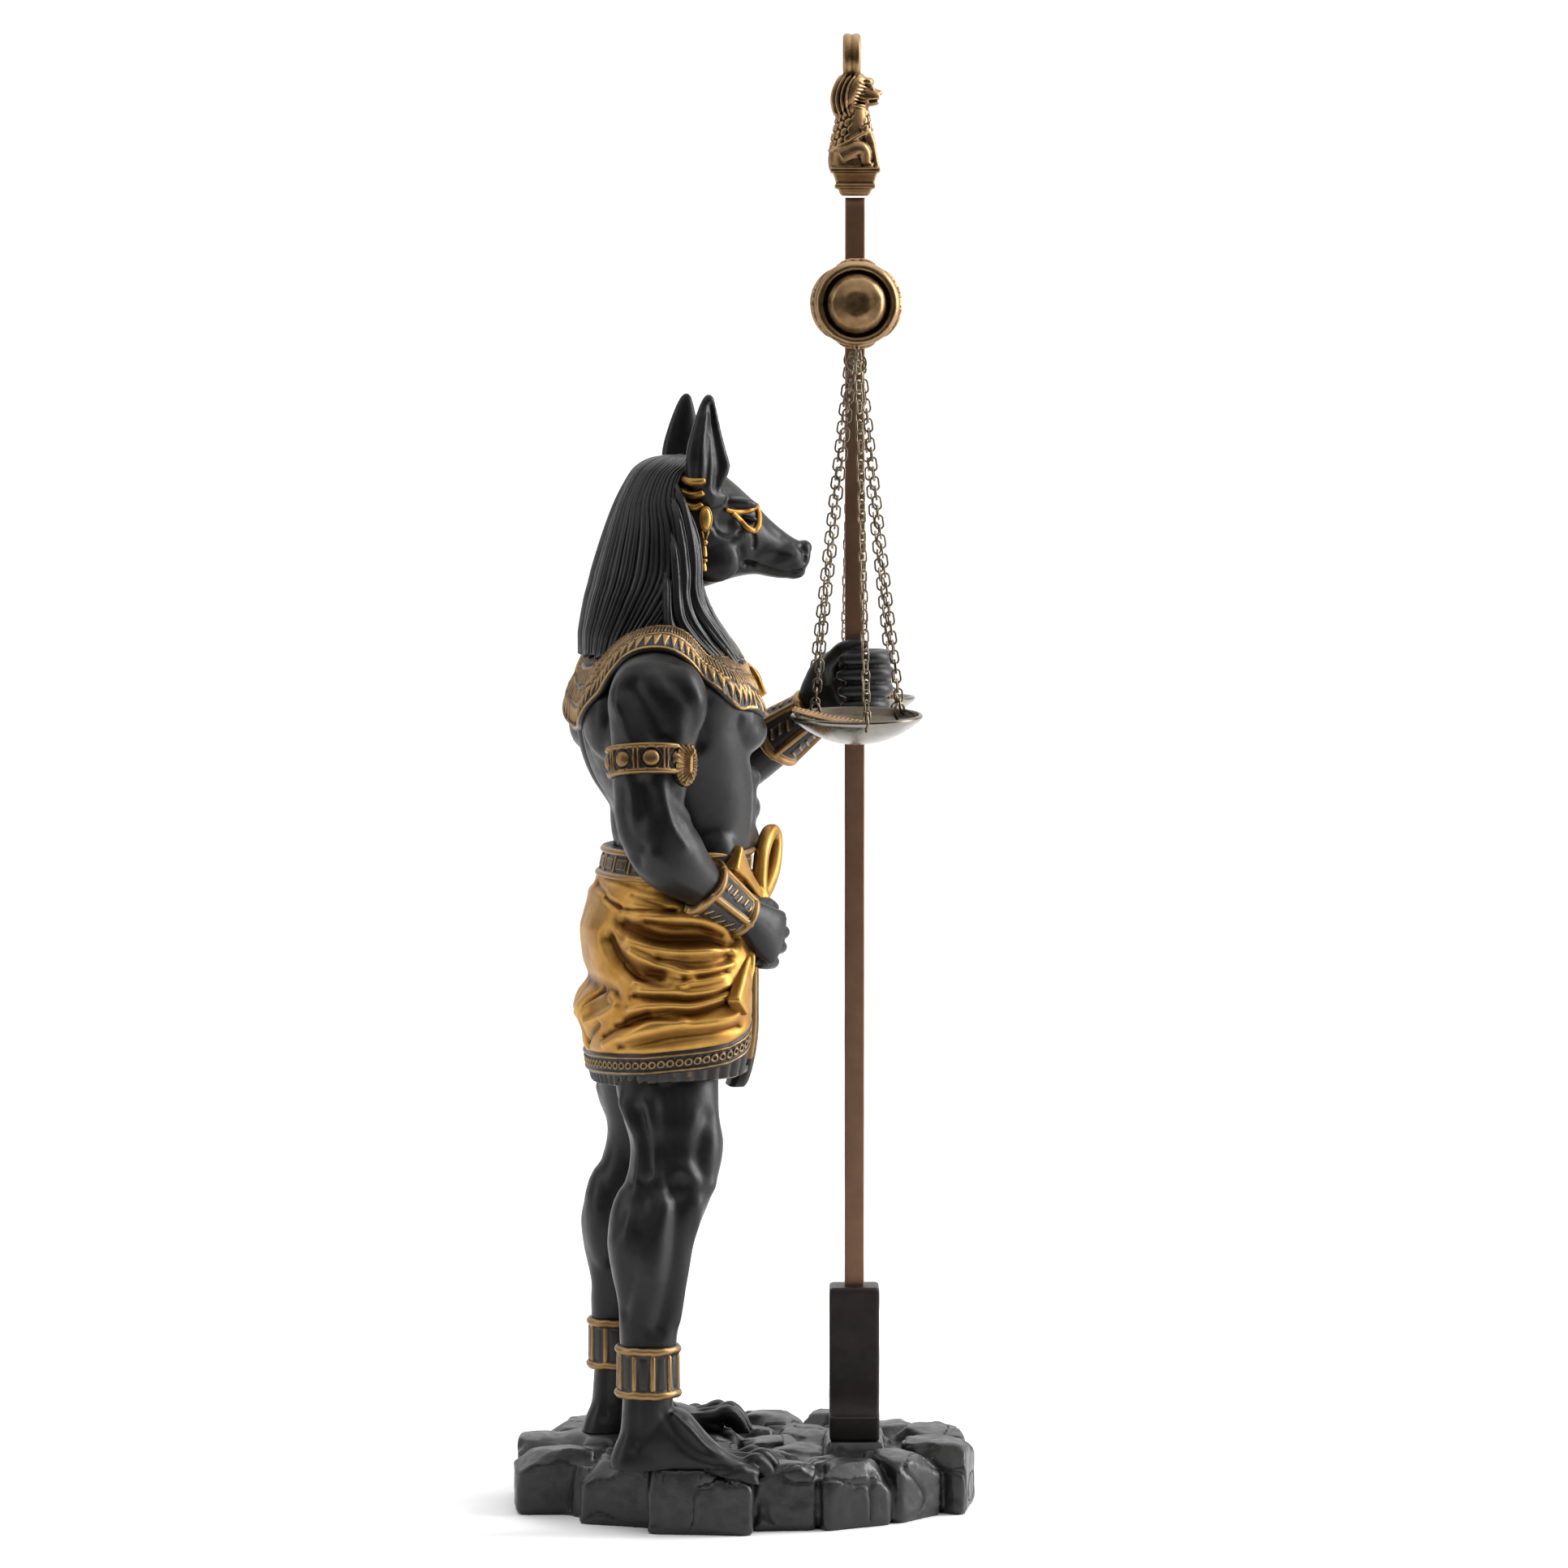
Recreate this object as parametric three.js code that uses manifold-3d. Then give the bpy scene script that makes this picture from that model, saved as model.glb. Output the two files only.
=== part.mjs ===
// A painted resin figurine of Anubis. He stands on a base of rough paving stones and
// holds the tall square rod of a balance. The balance has a cross beam that ends in two
// round bosses, three chains and a shallow dish on each side, and a seated baboon on top.
// Millimetres, +Z up. The figure faces +X and its right side is towards -Y.
// The origin is on the underside of the base, at the middle of its outline.
import * as THREE from 'three';
import { mergeVertices } from 'three/addons/utils/BufferGeometryUtils.js';
import Module from 'manifold-3d';

const wasm = await Module();
wasm.setup();

// Driving dimensions.
const GAP = 0.3;

const BASE_HALF_LENGTH = 47.3;
const BASE_HALF_DEPTH = 40;
const STONE_TOP = 13.4;
const JOINT_LEVEL = 10.6;

const FIGURE_X = -17;
const FIGURE_Y = -13;
const FIGURE_TURN = 10 * Math.PI / 180;
const SOLE_Z = 12;
const HEM_Z = 88;
const BELT_Z = 130.5;
const BELT_TOP_Z = 136;

const ROD_X = 22.4;
const ROD_SIZE = 4;
const ROD_TOP = 267;
const FOOT_BOTTOM = 14;
const FOOT_TOP = 45;
const FOOT_WIDTH = 10.2;
const SOCKET_RADIUS = 3;
const SOCKET_FLOOR = 22;

const BEAM_Z = 245.3;
const BEAM_HALF = 39.5;
const BOSS_RADIUS = 8.4;
const LOBE_RADIUS = 8.8;

const PAN_RIM_Z = 163.6;
const LEFT_PAN_DROP = 0.9;
const PAN_RADIUS = 13.05;
const PAN_DEPTH = 5.2;
const PAN_WALL = 0.8;
const PAN_TILT = 3.6 * Math.PI / 180;
const CHAIN_TOP_Z = 235.2;
const CHAIN_ANGLES = [-81, 43, 134];
const CHAIN_RADIUS = 11.6;
const LINK_PITCH = 1.95;

const { sin, cos, abs, min, max, PI, hypot, exp } = Math;
const rad = (degrees) => degrees * PI / 180;
const V = (x, y, z) => new THREE.Vector3(x, y, z);

// A solid from vertices and triangles, turned inside out if its faces point inwards.
function toSolid(vertices, triangles) {
  const build = (indices) => {
    const mesh = new wasm.Mesh({
      numProp: 3,
      vertProperties: new Float32Array(vertices),
      triVerts: new Uint32Array(indices),
    });
    mesh.merge();
    return new wasm.Manifold(mesh);
  };
  const solid = build(triangles);
  return solid.volume() > 0 ? solid : build(Array.from(triangles).reverse());
}

// A closed body through a stack of rings with equal numbers of points.
function loft(rings) {
  const count = rings[0].length;
  const vertices = [];
  for (const ring of rings) {
    for (const p of ring) vertices.push(p.x, p.y, p.z);
  }
  const middles = [rings[0], rings[rings.length - 1]].map((ring) => {
    const middle = V(0, 0, 0);
    for (const p of ring) middle.addScaledVector(p, 1 / count);
    return middle;
  });
  const first = vertices.length / 3;
  for (const middle of middles) vertices.push(middle.x, middle.y, middle.z);
  const triangles = [];
  const last = (rings.length - 1) * count;
  for (let j = 0; j < count; j++) {
    const k = (j + 1) % count;
    for (let i = 0; i < last; i += count) {
      triangles.push(i + j, i + k, i + count + k);
      triangles.push(i + j, i + count + k, i + count + j);
    }
    triangles.push(first, k, j);
    triangles.push(first + 1, last + j, last + k);
  }
  return toSolid(vertices, triangles);
}

// A ring about centre in the plane of u and v. A power over 2 squares it up.
function ring(centre, u, v, a, b, count, power = 2) {
  const points = [];
  for (let i = 0; i < count; i++) {
    const t = 2 * PI * (i + 0.5) / count;
    const c = Math.sign(cos(t)) * abs(cos(t)) ** (2 / power);
    const s = Math.sign(sin(t)) * abs(sin(t)) ** (2 / power);
    points.push(centre.clone().addScaledVector(u, a * c).addScaledVector(v, b * s));
  }
  return points;
}

// Rows of numbers made denser by a smooth curve through them.
function smoothRows(rows, steps) {
  if (steps < 2) return rows;
  const out = [];
  for (let i = 0; i + 1 < rows.length; i++) {
    const [p0, p1, p2, p3] = [rows[max(i - 1, 0)], rows[i], rows[i + 1],
      rows[min(i + 2, rows.length - 1)]];
    for (let s = 0; s < steps; s++) {
      const t = s / steps;
      out.push(p1.map((_, k) => 0.5 * (2 * p1[k] + (p2[k] - p0[k]) * t
        + (2 * p0[k] - 5 * p1[k] + 4 * p2[k] - p3[k]) * t * t
        + (3 * p1[k] - p0[k] - 3 * p2[k] + p3[k]) * t * t * t)));
    }
  }
  out.push(rows[rows.length - 1]);
  return out;
}

// Upright body: rows of height, centre x, centre y, half depth, half width.
function column(rows, count, steps = 2, power = 2, shape = null) {
  const rings = smoothRows(rows, steps).map(([z, cx, cy, a, b]) => {
    const points = ring(V(cx, cy, z), V(1, 0, 0), V(0, 1, 0), a, b, count, power);
    return shape ? points.map((p) => shape(p, cx, cy)) : points;
  });
  return loft(rings);
}

// Limb: rows of x, y, z, half width along the side, half thickness.
function limb(rows, count, steps = 2, side = V(0, 1, 0), power = 2) {
  const dense = smoothRows(rows, steps);
  const points = dense.map((r) => V(r[0], r[1], r[2]));
  const rings = dense.map((r, i) => {
    const ahead = points[min(i + 1, points.length - 1)].clone()
      .sub(points[max(i - 1, 0)]).normalize();
    const u = side.clone().addScaledVector(ahead, -side.dot(ahead)).normalize();
    const v = new THREE.Vector3().crossVectors(ahead, u);
    return ring(points[i], u, v, r[3], r[4], count, power);
  });
  return loft(rings);
}

function ball(x, y, z, a, b, c, count = 10, stacks = 6) {
  const rows = [];
  for (let i = 0; i <= stacks; i++) {
    const t = rad(-72 + 144 * i / stacks);
    rows.push([z + c * sin(t), x, y, a * cos(t), b * cos(t)]);
  }
  return column(rows, count, 1);
}

// A plate or prism: outline points [u, v] in a plane, pushed along its normal.
function prism(origin, u, v, outline, thickness) {
  const n = new THREE.Vector3().crossVectors(u, v).normalize();
  const at = (h) => outline.map(([a, b]) => origin.clone().addScaledVector(u, a)
    .addScaledVector(v, b).addScaledVector(n, h));
  return loft([at(-thickness / 2), at(thickness / 2)]);
}

// A closed hoop: rings of a small section carried round a closed path.
function hoop(path, outward, radius, depth, count = 6) {
  const vertices = [];
  const triangles = [];
  const steps = path.length;
  path.forEach((p, i) => {
    const ahead = path[(i + 1) % steps].clone().sub(path[(i + steps - 1) % steps]).normalize();
    const u = outward(p, i).clone();
    u.addScaledVector(ahead, -u.dot(ahead)).normalize();
    const v = new THREE.Vector3().crossVectors(ahead, u);
    for (const q of ring(p, u, v, radius, depth, count)) vertices.push(q.x, q.y, q.z);
  });
  for (let i = 0; i < steps; i++) {
    const next = ((i + 1) % steps) * count;
    for (let j = 0; j < count; j++) {
      const k = (j + 1) % count;
      triangles.push(i * count + j, i * count + k, next + k);
      triangles.push(i * count + j, next + k, next + j);
    }
  }
  return toSolid(vertices, triangles);
}

const fuse = (solids) => solids.reduce((a, b) => a.add(b));

function fromGeometry(geometry) {
  geometry.deleteAttribute('normal');
  geometry.deleteAttribute('uv');
  const merged = mergeVertices(geometry, 1e-5);
  return toSolid(merged.attributes.position.array, merged.index.array);
}

// A turned body about a line through x, y, z that runs along Z, or along Y if laid.
function turned(profile, x, y, z, segments, laid = false) {
  const geometry = new THREE.LatheGeometry(profile.map(([r, h]) => new THREE.Vector2(r, h)),
    segments);
  if (!laid) geometry.rotateX(PI / 2);
  geometry.translate(x, y, z);
  return fromGeometry(geometry);
}

function box(x, y, z, dx, dy, dz) {
  const geometry = new THREE.BoxGeometry(dx, dy, dz);
  geometry.translate(x, y, z);
  return fromGeometry(geometry);
}

// The figure is drawn in its own frame: X ahead, Y to its left.
const TORSO = [
  [131, 3.0, 0, 13.6, 18.4],
  [138, 4.2, 0, 13.6, 18.2],
  [143, 3.8, 0, 14.8, 19],
  [150, 2.7, 0, 16.6, 22.2],
  [157, 2.2, 0, 18.2, 26],
  [163, 2.0, 0, 18.6, 27.5],
  [168, 1.6, 0, 17.2, 27],
  [173, 0.8, 0, 14.4, 23.4],
  [177.5, -0.2, 0, 11, 16],
  [182, -0.4, 0, 8.6, 10.5],
  [192, 1.6, 0, 7.6, 8.5],
];

// The upper arm and forearm of each side: x, y, z, half width, half thickness.
const RIGHT_ARM = [
  [-3.6, -16.4, 170.6, 5.6, 5.8],
  [-5.4, -23.8, 168.6, 8.4, 9.2],
  [-6.2, -26.2, 162, 8.3, 9],
  [-7.4, -27.2, 155, 7.2, 7.8],
  [-8.2, -27.8, 149, 6.8, 6.8],
  [-7.6, -28.2, 142.5, 6.6, 7.2],
  [-2.6, -26.6, 136.6, 7.4, 8.6],
  [3.4, -23.6, 131.2, 6.6, 7.6],
  [9.6, -20.4, 126.4, 5, 5.6],
  [15.2, -17.2, 122.2, 3.6, 4.1],
];
const LEFT_ARM = [
  [-4.2, 16.6, 170.4, 5.6, 5.8],
  [-3.4, 24, 168.4, 8.4, 9.2],
  [-1, 28, 162, 8.1, 8.9],
  [3, 31, 155, 7.2, 7.8],
  [7, 33.4, 149.6, 6.8, 7.0],
  [11.6, 33, 147, 7.0, 7.4],
  [17.4, 30, 149.8, 6.8, 7.6],
  [23.4, 26.6, 153.2, 5.8, 6.4],
  [29.6, 22.8, 157.4, 4.6, 5.0],
  [34.6, 18.8, 161.8, 3.6, 4.0],
];

const LEG_SPREAD = 19.5;
const LEG = [
  [20, -5.6, 0.2, 5.6, 4.9],
  [25.9, -5.6, 0.1, 5.6, 4.9],
  [26, -5.6, 0, 6.9, 6.9],
  [27.8, -5.6, 0, 6.9, 6.9],
  [28, -5.6, 0, 6.2, 6.2],
  [36, -5.6, 0, 6.2, 6.2],
  [36.2, -5.6, 0, 6.9, 6.9],
  [37.8, -5.6, 0, 6.8, 6.8],
  [37.9, -5.6, 0, 5.7, 4.9],
  [46.3, -5.2, 0.2, 6.5, 5.6],
  [53, -5.2, 0.6, 7.8, 7],
  [59.3, -4.7, 1.4, 8.8, 8],
  [66, -2.2, 2.2, 9.2, 8],
  [72, 0.1, 3.2, 9.2, 7.4],
  [77.5, 0.9, 4.2, 9.4, 7.4],
  [83, -0.1, 5.2, 9.7, 8.2],
  [90, -0.6, 7.6, 10.4, 8.6],
  [98, -0.2, 9.4, 9.6, 8],
];

function leg(side) {
  const toward = -side;
  const rows = LEG.map(([z, x, inward, a, b]) => [z, x, side * LEG_SPREAD + toward * inward, a, b]);
  const y = side * LEG_SPREAD;
  const foot = limb([
    [-12.2, y, 14.6, 3.6, 2.4],
    [-10.6, y, 16.4, 5.2, 4.3],
    [-6.4, y, 18.4, 5.8, 6.4],
    [-1.4, y + side * 0.4, 18.2, 6.0, 6.3],
    [3.4, y + side * 0.9, 16.8, 6.8, 4.9],
    [8.4, y + side * 1.4, 15.4, 8.2, 3.5],
    [12.4, y + side * 1.6, 14.4, 8.6, 2.6],
    [14, y + side * 1.6, 13.8, 7.6, 1.6],
  ], 10, 1);
  // Four toes with a raised knuckle and a claw that points down and ahead.
  const toes = [-1, 0, 1, 2].map((k) => {
    const across = y + side * (1.6 + (k - 0.5) * 4.1);
    const ahead = 14.6 - 1.5 * (k - 0.6) ** 2;
    return limb([
      [ahead - 5.2, across, 15.2, 1.8, 1.6],
      [ahead - 0.4, across, 15.9, 2.2, 2.3],
      [ahead + 2.4, across, 14.4, 1.7, 1.8],
      [ahead + 5.8, across, 11.8, 0.3, 0.3],
    ], 5, 1);
  });
  const knee = ball(6.4, y + toward * 4.2, 77.4, 4.0, 5, 5.2, 8, 3);
  const shaft = column(rows, 10, 1, 2.1);
  return fuse([shaft, knee, foot, ...toes]);
}

// The kilt: folds fan out from a gathering at the front, below the hand.
const KILT = [
  [HEM_Z, 1.8, 0, 15.4, 21],
  [90.6, 2.0, 0, 16.2, 22],
  [91, 2.2, 0, 17.5, 23.5],
  [94.6, 2.2, 0, 17.8, 23.8],
  [95, 2.2, 0, 17.1, 23.1],
  [101, 2.1, 0, 17.5, 23.7],
  [107, 2.0, 0, 17.6, 24],
  [113, 1.8, 0, 17.2, 24],
  [120, 1.7, 0, 17.2, 23.6],
  [127, 2.1, 0, 16.2, 21.8],
  [BELT_Z - 0.1, 2.9, 0, 14.8, 19.9],
  [BELT_Z, 3.0, 0, 15.4, 20.6],
  [BELT_TOP_Z, 3.7, 0, 14.9, 19.5],
];
const FOLD_COUNT = 15;

function foldDepth(turn, z) {
  const side = abs(turn);
  const across = (side - rad(25)) * 20;
  const up = z - 112;
  const away = hypot(across, up);
  const fan = Math.atan2(up, across);
  const fade = min(1, away / 14) * min(1, max(0, (z - 95.4) / 4)) * min(1, max(0, (130 - z) / 5));
  const wave = sin(FOLD_COUNT * fan + 1.3 * sin(away / 7));
  return 0.75 * fade * wave + 0.9 * fade * exp(-(((z - 104) / 4) ** 2)) * (side > 2.2 ? 1 : 0);
}

function kilt() {
  const shaped = (p, cx, cy) => {
    const turn = Math.atan2((p.y - cy) / 1.35, p.x - cx);
    const out = V(p.x - cx, p.y - cy, 0).normalize();
    let push = foldDepth(turn, p.z);
    if (p.z < 90.5) push += 0.4 * sin(16 * turn);
    return p.clone().addScaledVector(out, push);
  };
  const cloth = column(KILT, 32, 1, 2.2, shaped);
  // The end of the wrap hangs at the front as a narrow pleated panel.
  const panel = limb([
    [17.2, 0, 128, 4, 1.2],
    [18, 0, 112, 4.3, 1.5],
    [17.8, 0, 98, 4.5, 1.6],
    [16.1, 0, 90, 4.5, 1.8],
    [15, 0, 87, 4.2, 1.8],
  ], 8, 1, V(0, 1, 0), 3);
  return fuse([cloth, panel]);
}

// The broad collar lies over chest, shoulders and back.
const COLLAR_STEPS = 24;
function collarPoint(turn, reach) {
  const front = max(0, cos(turn));
  const back = max(0, -cos(turn));
  const flank = abs(sin(turn));
  const outerX = 0.6 + (cos(turn) > 0 ? 21.2 : 18.8) * cos(turn);
  const outerY = 25.5 * sin(turn);
  const outerZ = 174.6 - 12.2 * front ** 1.3 - 15.4 * back ** 1.6 + 0.6 * flank;
  const innerX = 1.2 + 9.4 * cos(turn);
  const innerY = 10.6 * sin(turn);
  const innerZ = 181.5 + 1.5 * back;
  const bulge = 2.6 * reach * (1 - reach) * 4 * (0.55 + 0.45 * abs(cos(turn)));
  const t = reach;
  return V(innerX + (outerX - innerX) * t + bulge * 0.5 * cos(turn),
    innerY + (outerY - innerY) * t,
    innerZ + (outerZ - innerZ) * t ** 1.15 + bulge * 0.75);
}

function collar() {
  const level = (reach, drop, shrink) => {
    const points = [];
    for (let i = 0; i < COLLAR_STEPS; i++) {
      const p = collarPoint(2 * PI * i / COLLAR_STEPS, reach);
      points.push(V(1 + (p.x - 1) * shrink, p.y * shrink, p.z - drop));
    }
    return points;
  };
  return loft([
    level(1, 3.4, 0.7), level(1, 1.5, 0.97), level(1, 0, 1),
    level(0.6, -0.2, 1), level(0, 0, 1),
  ]);
}

// Head: rows of x, top, bottom, half width, seen from the side.
const HEAD = [
  [-5, 209, 192, 5.5],
  [-2, 212.6, 190, 8.6],
  [3, 214.2, 188.4, 10.2],
  [8, 213.6, 188.2, 10.4],
  [12.4, 211.6, 189.4, 9.6],
  [16.2, 208.6, 190.4, 8.2],
  [19.6, 205.4, 190.8, 6.4],
  [22.4, 202, 190.3, 5.3],
  [25.6, 199.4, 189.9, 4.6],
  [28.4, 197.6, 190.6, 4.1],
  [30.2, 197.2, 192, 3.2],
  [31.1, 196.2, 193.8, 1.6],
];

const HEAD_PIVOT_X = 2;
const HEAD_TURN = 4;

function head() {
  const rings = HEAD.map(([x, top, bottom, half]) => ring(
    V(x, 0, (top + bottom) / 2), V(0, 1, 0), V(0, 0, 1), half, (top - bottom) / 2, 12, 2.2));
  const skull = loft(rings);
  const nose = ball(30, 0, 196.2, 1.6, 2.2, 1.5, 6, 3);
  const ears = [-1, 1].map((s) => column([
    [204.8, 7.6, s * 9.6, 1, 1.4],
    [208.4, 7.0, s * 10.2, 3.4, 2.6],
    [213, 6.9, s * 10.6, 4.6, 2.9],
    [217.4, 6.7, s * 10.6, 3.9, 2.6],
    [222.6, 7.1, s * 10.2, 2.3, 1.9],
    [227.1, 7.4, s * 9.6, 0.5, 0.5],
  ], 8, 1));
  return fuse([skull, nose, ...ears]).translate([-HEAD_PIVOT_X, 0, 0])
    .rotate([0, 0, HEAD_TURN]).translate([HEAD_PIVOT_X, 0, 0]);
}

// The wig: long locks from the crown over the back, and two lappets on the chest.
const WIG = [
  [175.2, -0.6, 0, 15.2, 19.4],
  [180, -1.4, 0, 14.6, 18.6],
  [186, -2.2, 0, 12.6, 17],
  [193, -1.6, 0, 11.6, 15.2],
  [200, -0.6, 0, 10.4, 13.8],
  [206, 0.6, 0, 9.4, 12],
  [211, 1.9, 0, 8.2, 9.4],
  [214.6, 3, 0, 4.8, 5],
];
const LOCKS = 16;

function wig() {
  const ribbed = (p, cx, cy) => {
    const turn = Math.atan2(p.y - cy, p.x - cx);
    const fade = min(1, max(0, (214.6 - p.z) / 8));
    const out = V(p.x - cx, p.y - cy, 0).normalize();
    return p.clone().addScaledVector(out, 0.4 * fade * cos(LOCKS * turn));
  };
  let hair = column(WIG, 32, 1, 2.1, ribbed);
  // The face and throat are left open ahead of the ears.
  const face = column([
    [170, 20, 0, 10.4, 30],
    [188, 20, 0, 11.6, 30],
    [206, 20, 0, 11.6, 30],
    [220, 20, 0, 14, 30],
  ], 8, 1, 9);
  hair = hair.subtract(face);
  const lappets = [-1, 1].map((s) => limb([
    [2.6, s * 12, 206, 3.4, 2.2],
    [2.4, s * 12.8, 198, 3.8, 2.4],
    [2.2, s * 13.2, 190, 4.0, 2.6],
    [3.2, s * 13.2, 184.5, 4.4, 2.8],
    [6.6, s * 12.2, 179, 4.6, 2.6],
    [10.6, s * 10.8, 175, 4.0, 2.2],
    [13.8, s * 9.6, 171.8, 2.6, 1.5],
  ], 7, 1, V(0.86, s * -0.3, 0.4)));
  return fuse([hair, ...lappets]);
}

// A cuff or armlet round a limb, flared from one radius to the other.
function sleeve(from, to, r0, r1, rim, count = 12) {
  const start = V(...from);
  const end = V(...to);
  const at = (t) => start.clone().lerp(end, t);
  const row = (t, grow) => {
    const p = at(t);
    const r = r0 + (r1 - r0) * t + grow;
    return [p.x, p.y, p.z, r, r * 1.04];
  };
  return limb([row(0, rim), row(0.12, rim), row(0.16, 0), row(0.84, 0), row(0.88, rim),
    row(1, rim)], count, 1, V(0.3, 1, 0.2));
}

// The ankh: loop, two flaring arms and a flaring stem, lying aslant on the belly.
const ANKH_CENTRE = V(18.9, -8.4, 125.6);
const ANKH_UP = V(0.269, 0.559, 0.783).normalize();
const ANKH_ARM = V(-0.599, -0.543, 0.593);
ANKH_ARM.addScaledVector(ANKH_UP, -ANKH_ARM.dot(ANKH_UP)).normalize();
const ANKH_THICK = 3;

function ankh() {
  const flare = (along, across, length, w0, w1) => prism(ANKH_CENTRE, along, across,
    [[-1.4, -w0], [length * 0.5, -w0], [length, -w1], [length, w1], [length * 0.5, w0],
      [-1.4, w0]], ANKH_THICK);
  const path = [];
  for (let i = 0; i < 14; i++) {
    const t = 2 * PI * i / 14;
    const narrow = 3.1 * (1 - 0.32 * max(0, -cos(t)));
    path.push(ANKH_CENTRE.clone().addScaledVector(ANKH_UP, 8.9 + 7.6 * cos(t))
      .addScaledVector(ANKH_ARM, narrow * sin(t)));
  }
  const middle = ANKH_CENTRE.clone().addScaledVector(ANKH_UP, 8.9);
  const loop = hoop(path, (p) => p.clone().sub(middle), 1.15, 1.5, 5);
  return fuse([
    loop,
    flare(ANKH_UP.clone().negate(), ANKH_ARM, 26, 1.5, 2.9),
    flare(ANKH_ARM, ANKH_UP, 12.3, 1.4, 2.7),
    flare(ANKH_ARM.clone().negate(), ANKH_UP, 9.6, 1.4, 2.4),
  ]);
}

function rightFist() {
  const palm = limb([
    [13.6, -18, 123.2, 3.4, 4],
    [16.6, -16.2, 121.2, 4.4, 5.2],
    [20, -14, 118.8, 4.6, 5.8],
    [21.8, -11.6, 117.2, 3.7, 5.2],
  ], 9, 1, V(0.4, -0.8, 0), 2.3);
  const fingers = [0, 1, 2, 3].map((k) => {
    const z = 122.6 - 3.3 * k;
    const back = 1.1 * abs(k - 1.1);
    return limb([
      [18.8 - back, -13, z - 1.2, 1.9, 1.9],
      [22 - back, -10.4, z - 0.6, 2, 2],
      [21.6 - back, -6, z, 1.8, 1.8],
      [17.8 - back, -4.6, z + 0.2, 1.3, 1.3],
    ], 5, 1, V(0, 0, 1));
  });
  const thumb = limb([
    [16.6, -13, 123.6, 1.9, 1.9],
    [19.8, -9.8, 124.6, 2, 1.9],
    [21.6, -6.6, 124.4, 1.6, 1.5],
  ], 6, 1, V(0, 0, 1));
  return fuse([palm, ...fingers, thumb]);
}

function leftFist(rodX, rodY) {
  const palm = limb([
    [34, 19.6, 161.2, 3.4, 4],
    [36.4, 16.6, 165, 4.2, 5.6],
    [38.6, 13.6, 168, 4.4, 7],
    [42.6, 11.8, 169, 3.8, 7],
    [46, 10.6, 169, 2.6, 6.2],
  ], 9, 1, V(0.7, 0.7, 0), 2.4);
  const fingers = [0, 1, 2, 3].map((k) => {
    const z = 174.4 - 3.2 * k;
    const reach = 0.5 * abs(k - 1);
    return limb([
      [rodX + 4.4, rodY + 5, z, 1.8, 1.8],
      [rodX + 6.3 - reach, rodY + 1.2, z, 1.95, 1.95],
      [rodX + 4.2 - reach, rodY - 3.6, z, 1.9, 1.9],
      [rodX - 3.6, rodY - 4, z - 0.4, 1.5, 1.5],
    ], 5, 1, V(0, 0, 1));
  });
  const thumb = limb([
    [rodX - 3.8, rodY + 7, 168.4, 2.2, 2.2],
    [rodX - 4.9, rodY + 2.2, 171.6, 2.1, 2.1],
    [rodX - 3, rodY - 2.4, 173.8, 1.9, 1.8],
    [rodX + 1.6, rodY - 3.6, 175.6, 1.4, 1.3],
  ], 6, 1, V(0, 0, 1));
  return fuse([palm, ...fingers, thumb]);
}

function figure() {
  const c = cos(FIGURE_TURN);
  const s = sin(FIGURE_TURN);
  const rodX = (ROD_X - FIGURE_X) * c - FIGURE_Y * s;
  const rodY = -(ROD_X - FIGURE_X) * s - FIGURE_Y * c;
  const parts = [
    column(TORSO, 16, 1, 2.25),
    // Chest muscles.
    ...[-1, 1].map((k) => ball(13.2, k * 10.2, 160.4, 7.4, 9.6, 6.6, 10, 3)),
    kilt(), collar(), head(), wig(),
    leg(-1), leg(1),
    limb(RIGHT_ARM, 9, 1), limb(LEFT_ARM, 9, 1),
    column([[152.8, -7.4, -27.4, 8.6, 8], [158.8, -6.8, -26.7, 9.3, 8.7]], 14, 1),
    ball(1.2, -29.4, 155.4, 2.2, 3.4, 4.6, 8, 4),
    sleeve([5.4, -22.7, 130.2], [15, -17.2, 122.4], 6.6, 4.5, 0.6),
    sleeve([27.6, 24, 156], [35, 18.4, 162], 6.4, 4.5, 0.6),
    ankh(), rightFist(), leftFist(rodX, rodY),
    // The pendant on the chest hangs from the collar.
    prism(V(18.8, 0, 170.6), V(0, 1, 0), V(-0.46, 0, 0.88),
      [[-2, -3.8], [2, -3.8], [3.9, 1.4], [3, 3.6], [-3, 3.6], [-3.9, 1.4]], 1.6),
  ];
  const solid = fuse(parts).rotate([0, 0, FIGURE_TURN * 180 / PI])
    .translate([FIGURE_X, FIGURE_Y, 0]);
  const sole = box(FIGURE_X, FIGURE_Y, SOLE_Z - 5, 120, 120, 10);
  const grip = box(ROD_X, 0, 150, ROD_SIZE + 2 * GAP, ROD_SIZE + 2 * GAP, 240);
  return solid.subtract(sole).subtract(grip);
}

// The paving base.
// Stones of the rim: direction from the middle in degrees, distance of the outer face,
// the direction that the face looks in, and how far out the near side of the stone goes.
const RIM_STONES = [
  [174, 46.8, 180], [197, 48.6, 185, 15.4], [227, 38.4, 250], [256, 39.6, 264], [285, 35, 276],
  [310, 38.6, 300], [334, 41.6, 322], [354, 46.6, 352], [14, 46, 10], [35, 43.6, 32],
  [57, 41, 54], [80, 39, 82], [103, 38.6, 98], [127, 39.6, 124], [152, 44.4, 150],
];
const hash = (k) => {
  const s = sin(k * 127.1 + 11.7) * 43758.5453;
  return s - Math.floor(s);
};

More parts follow.
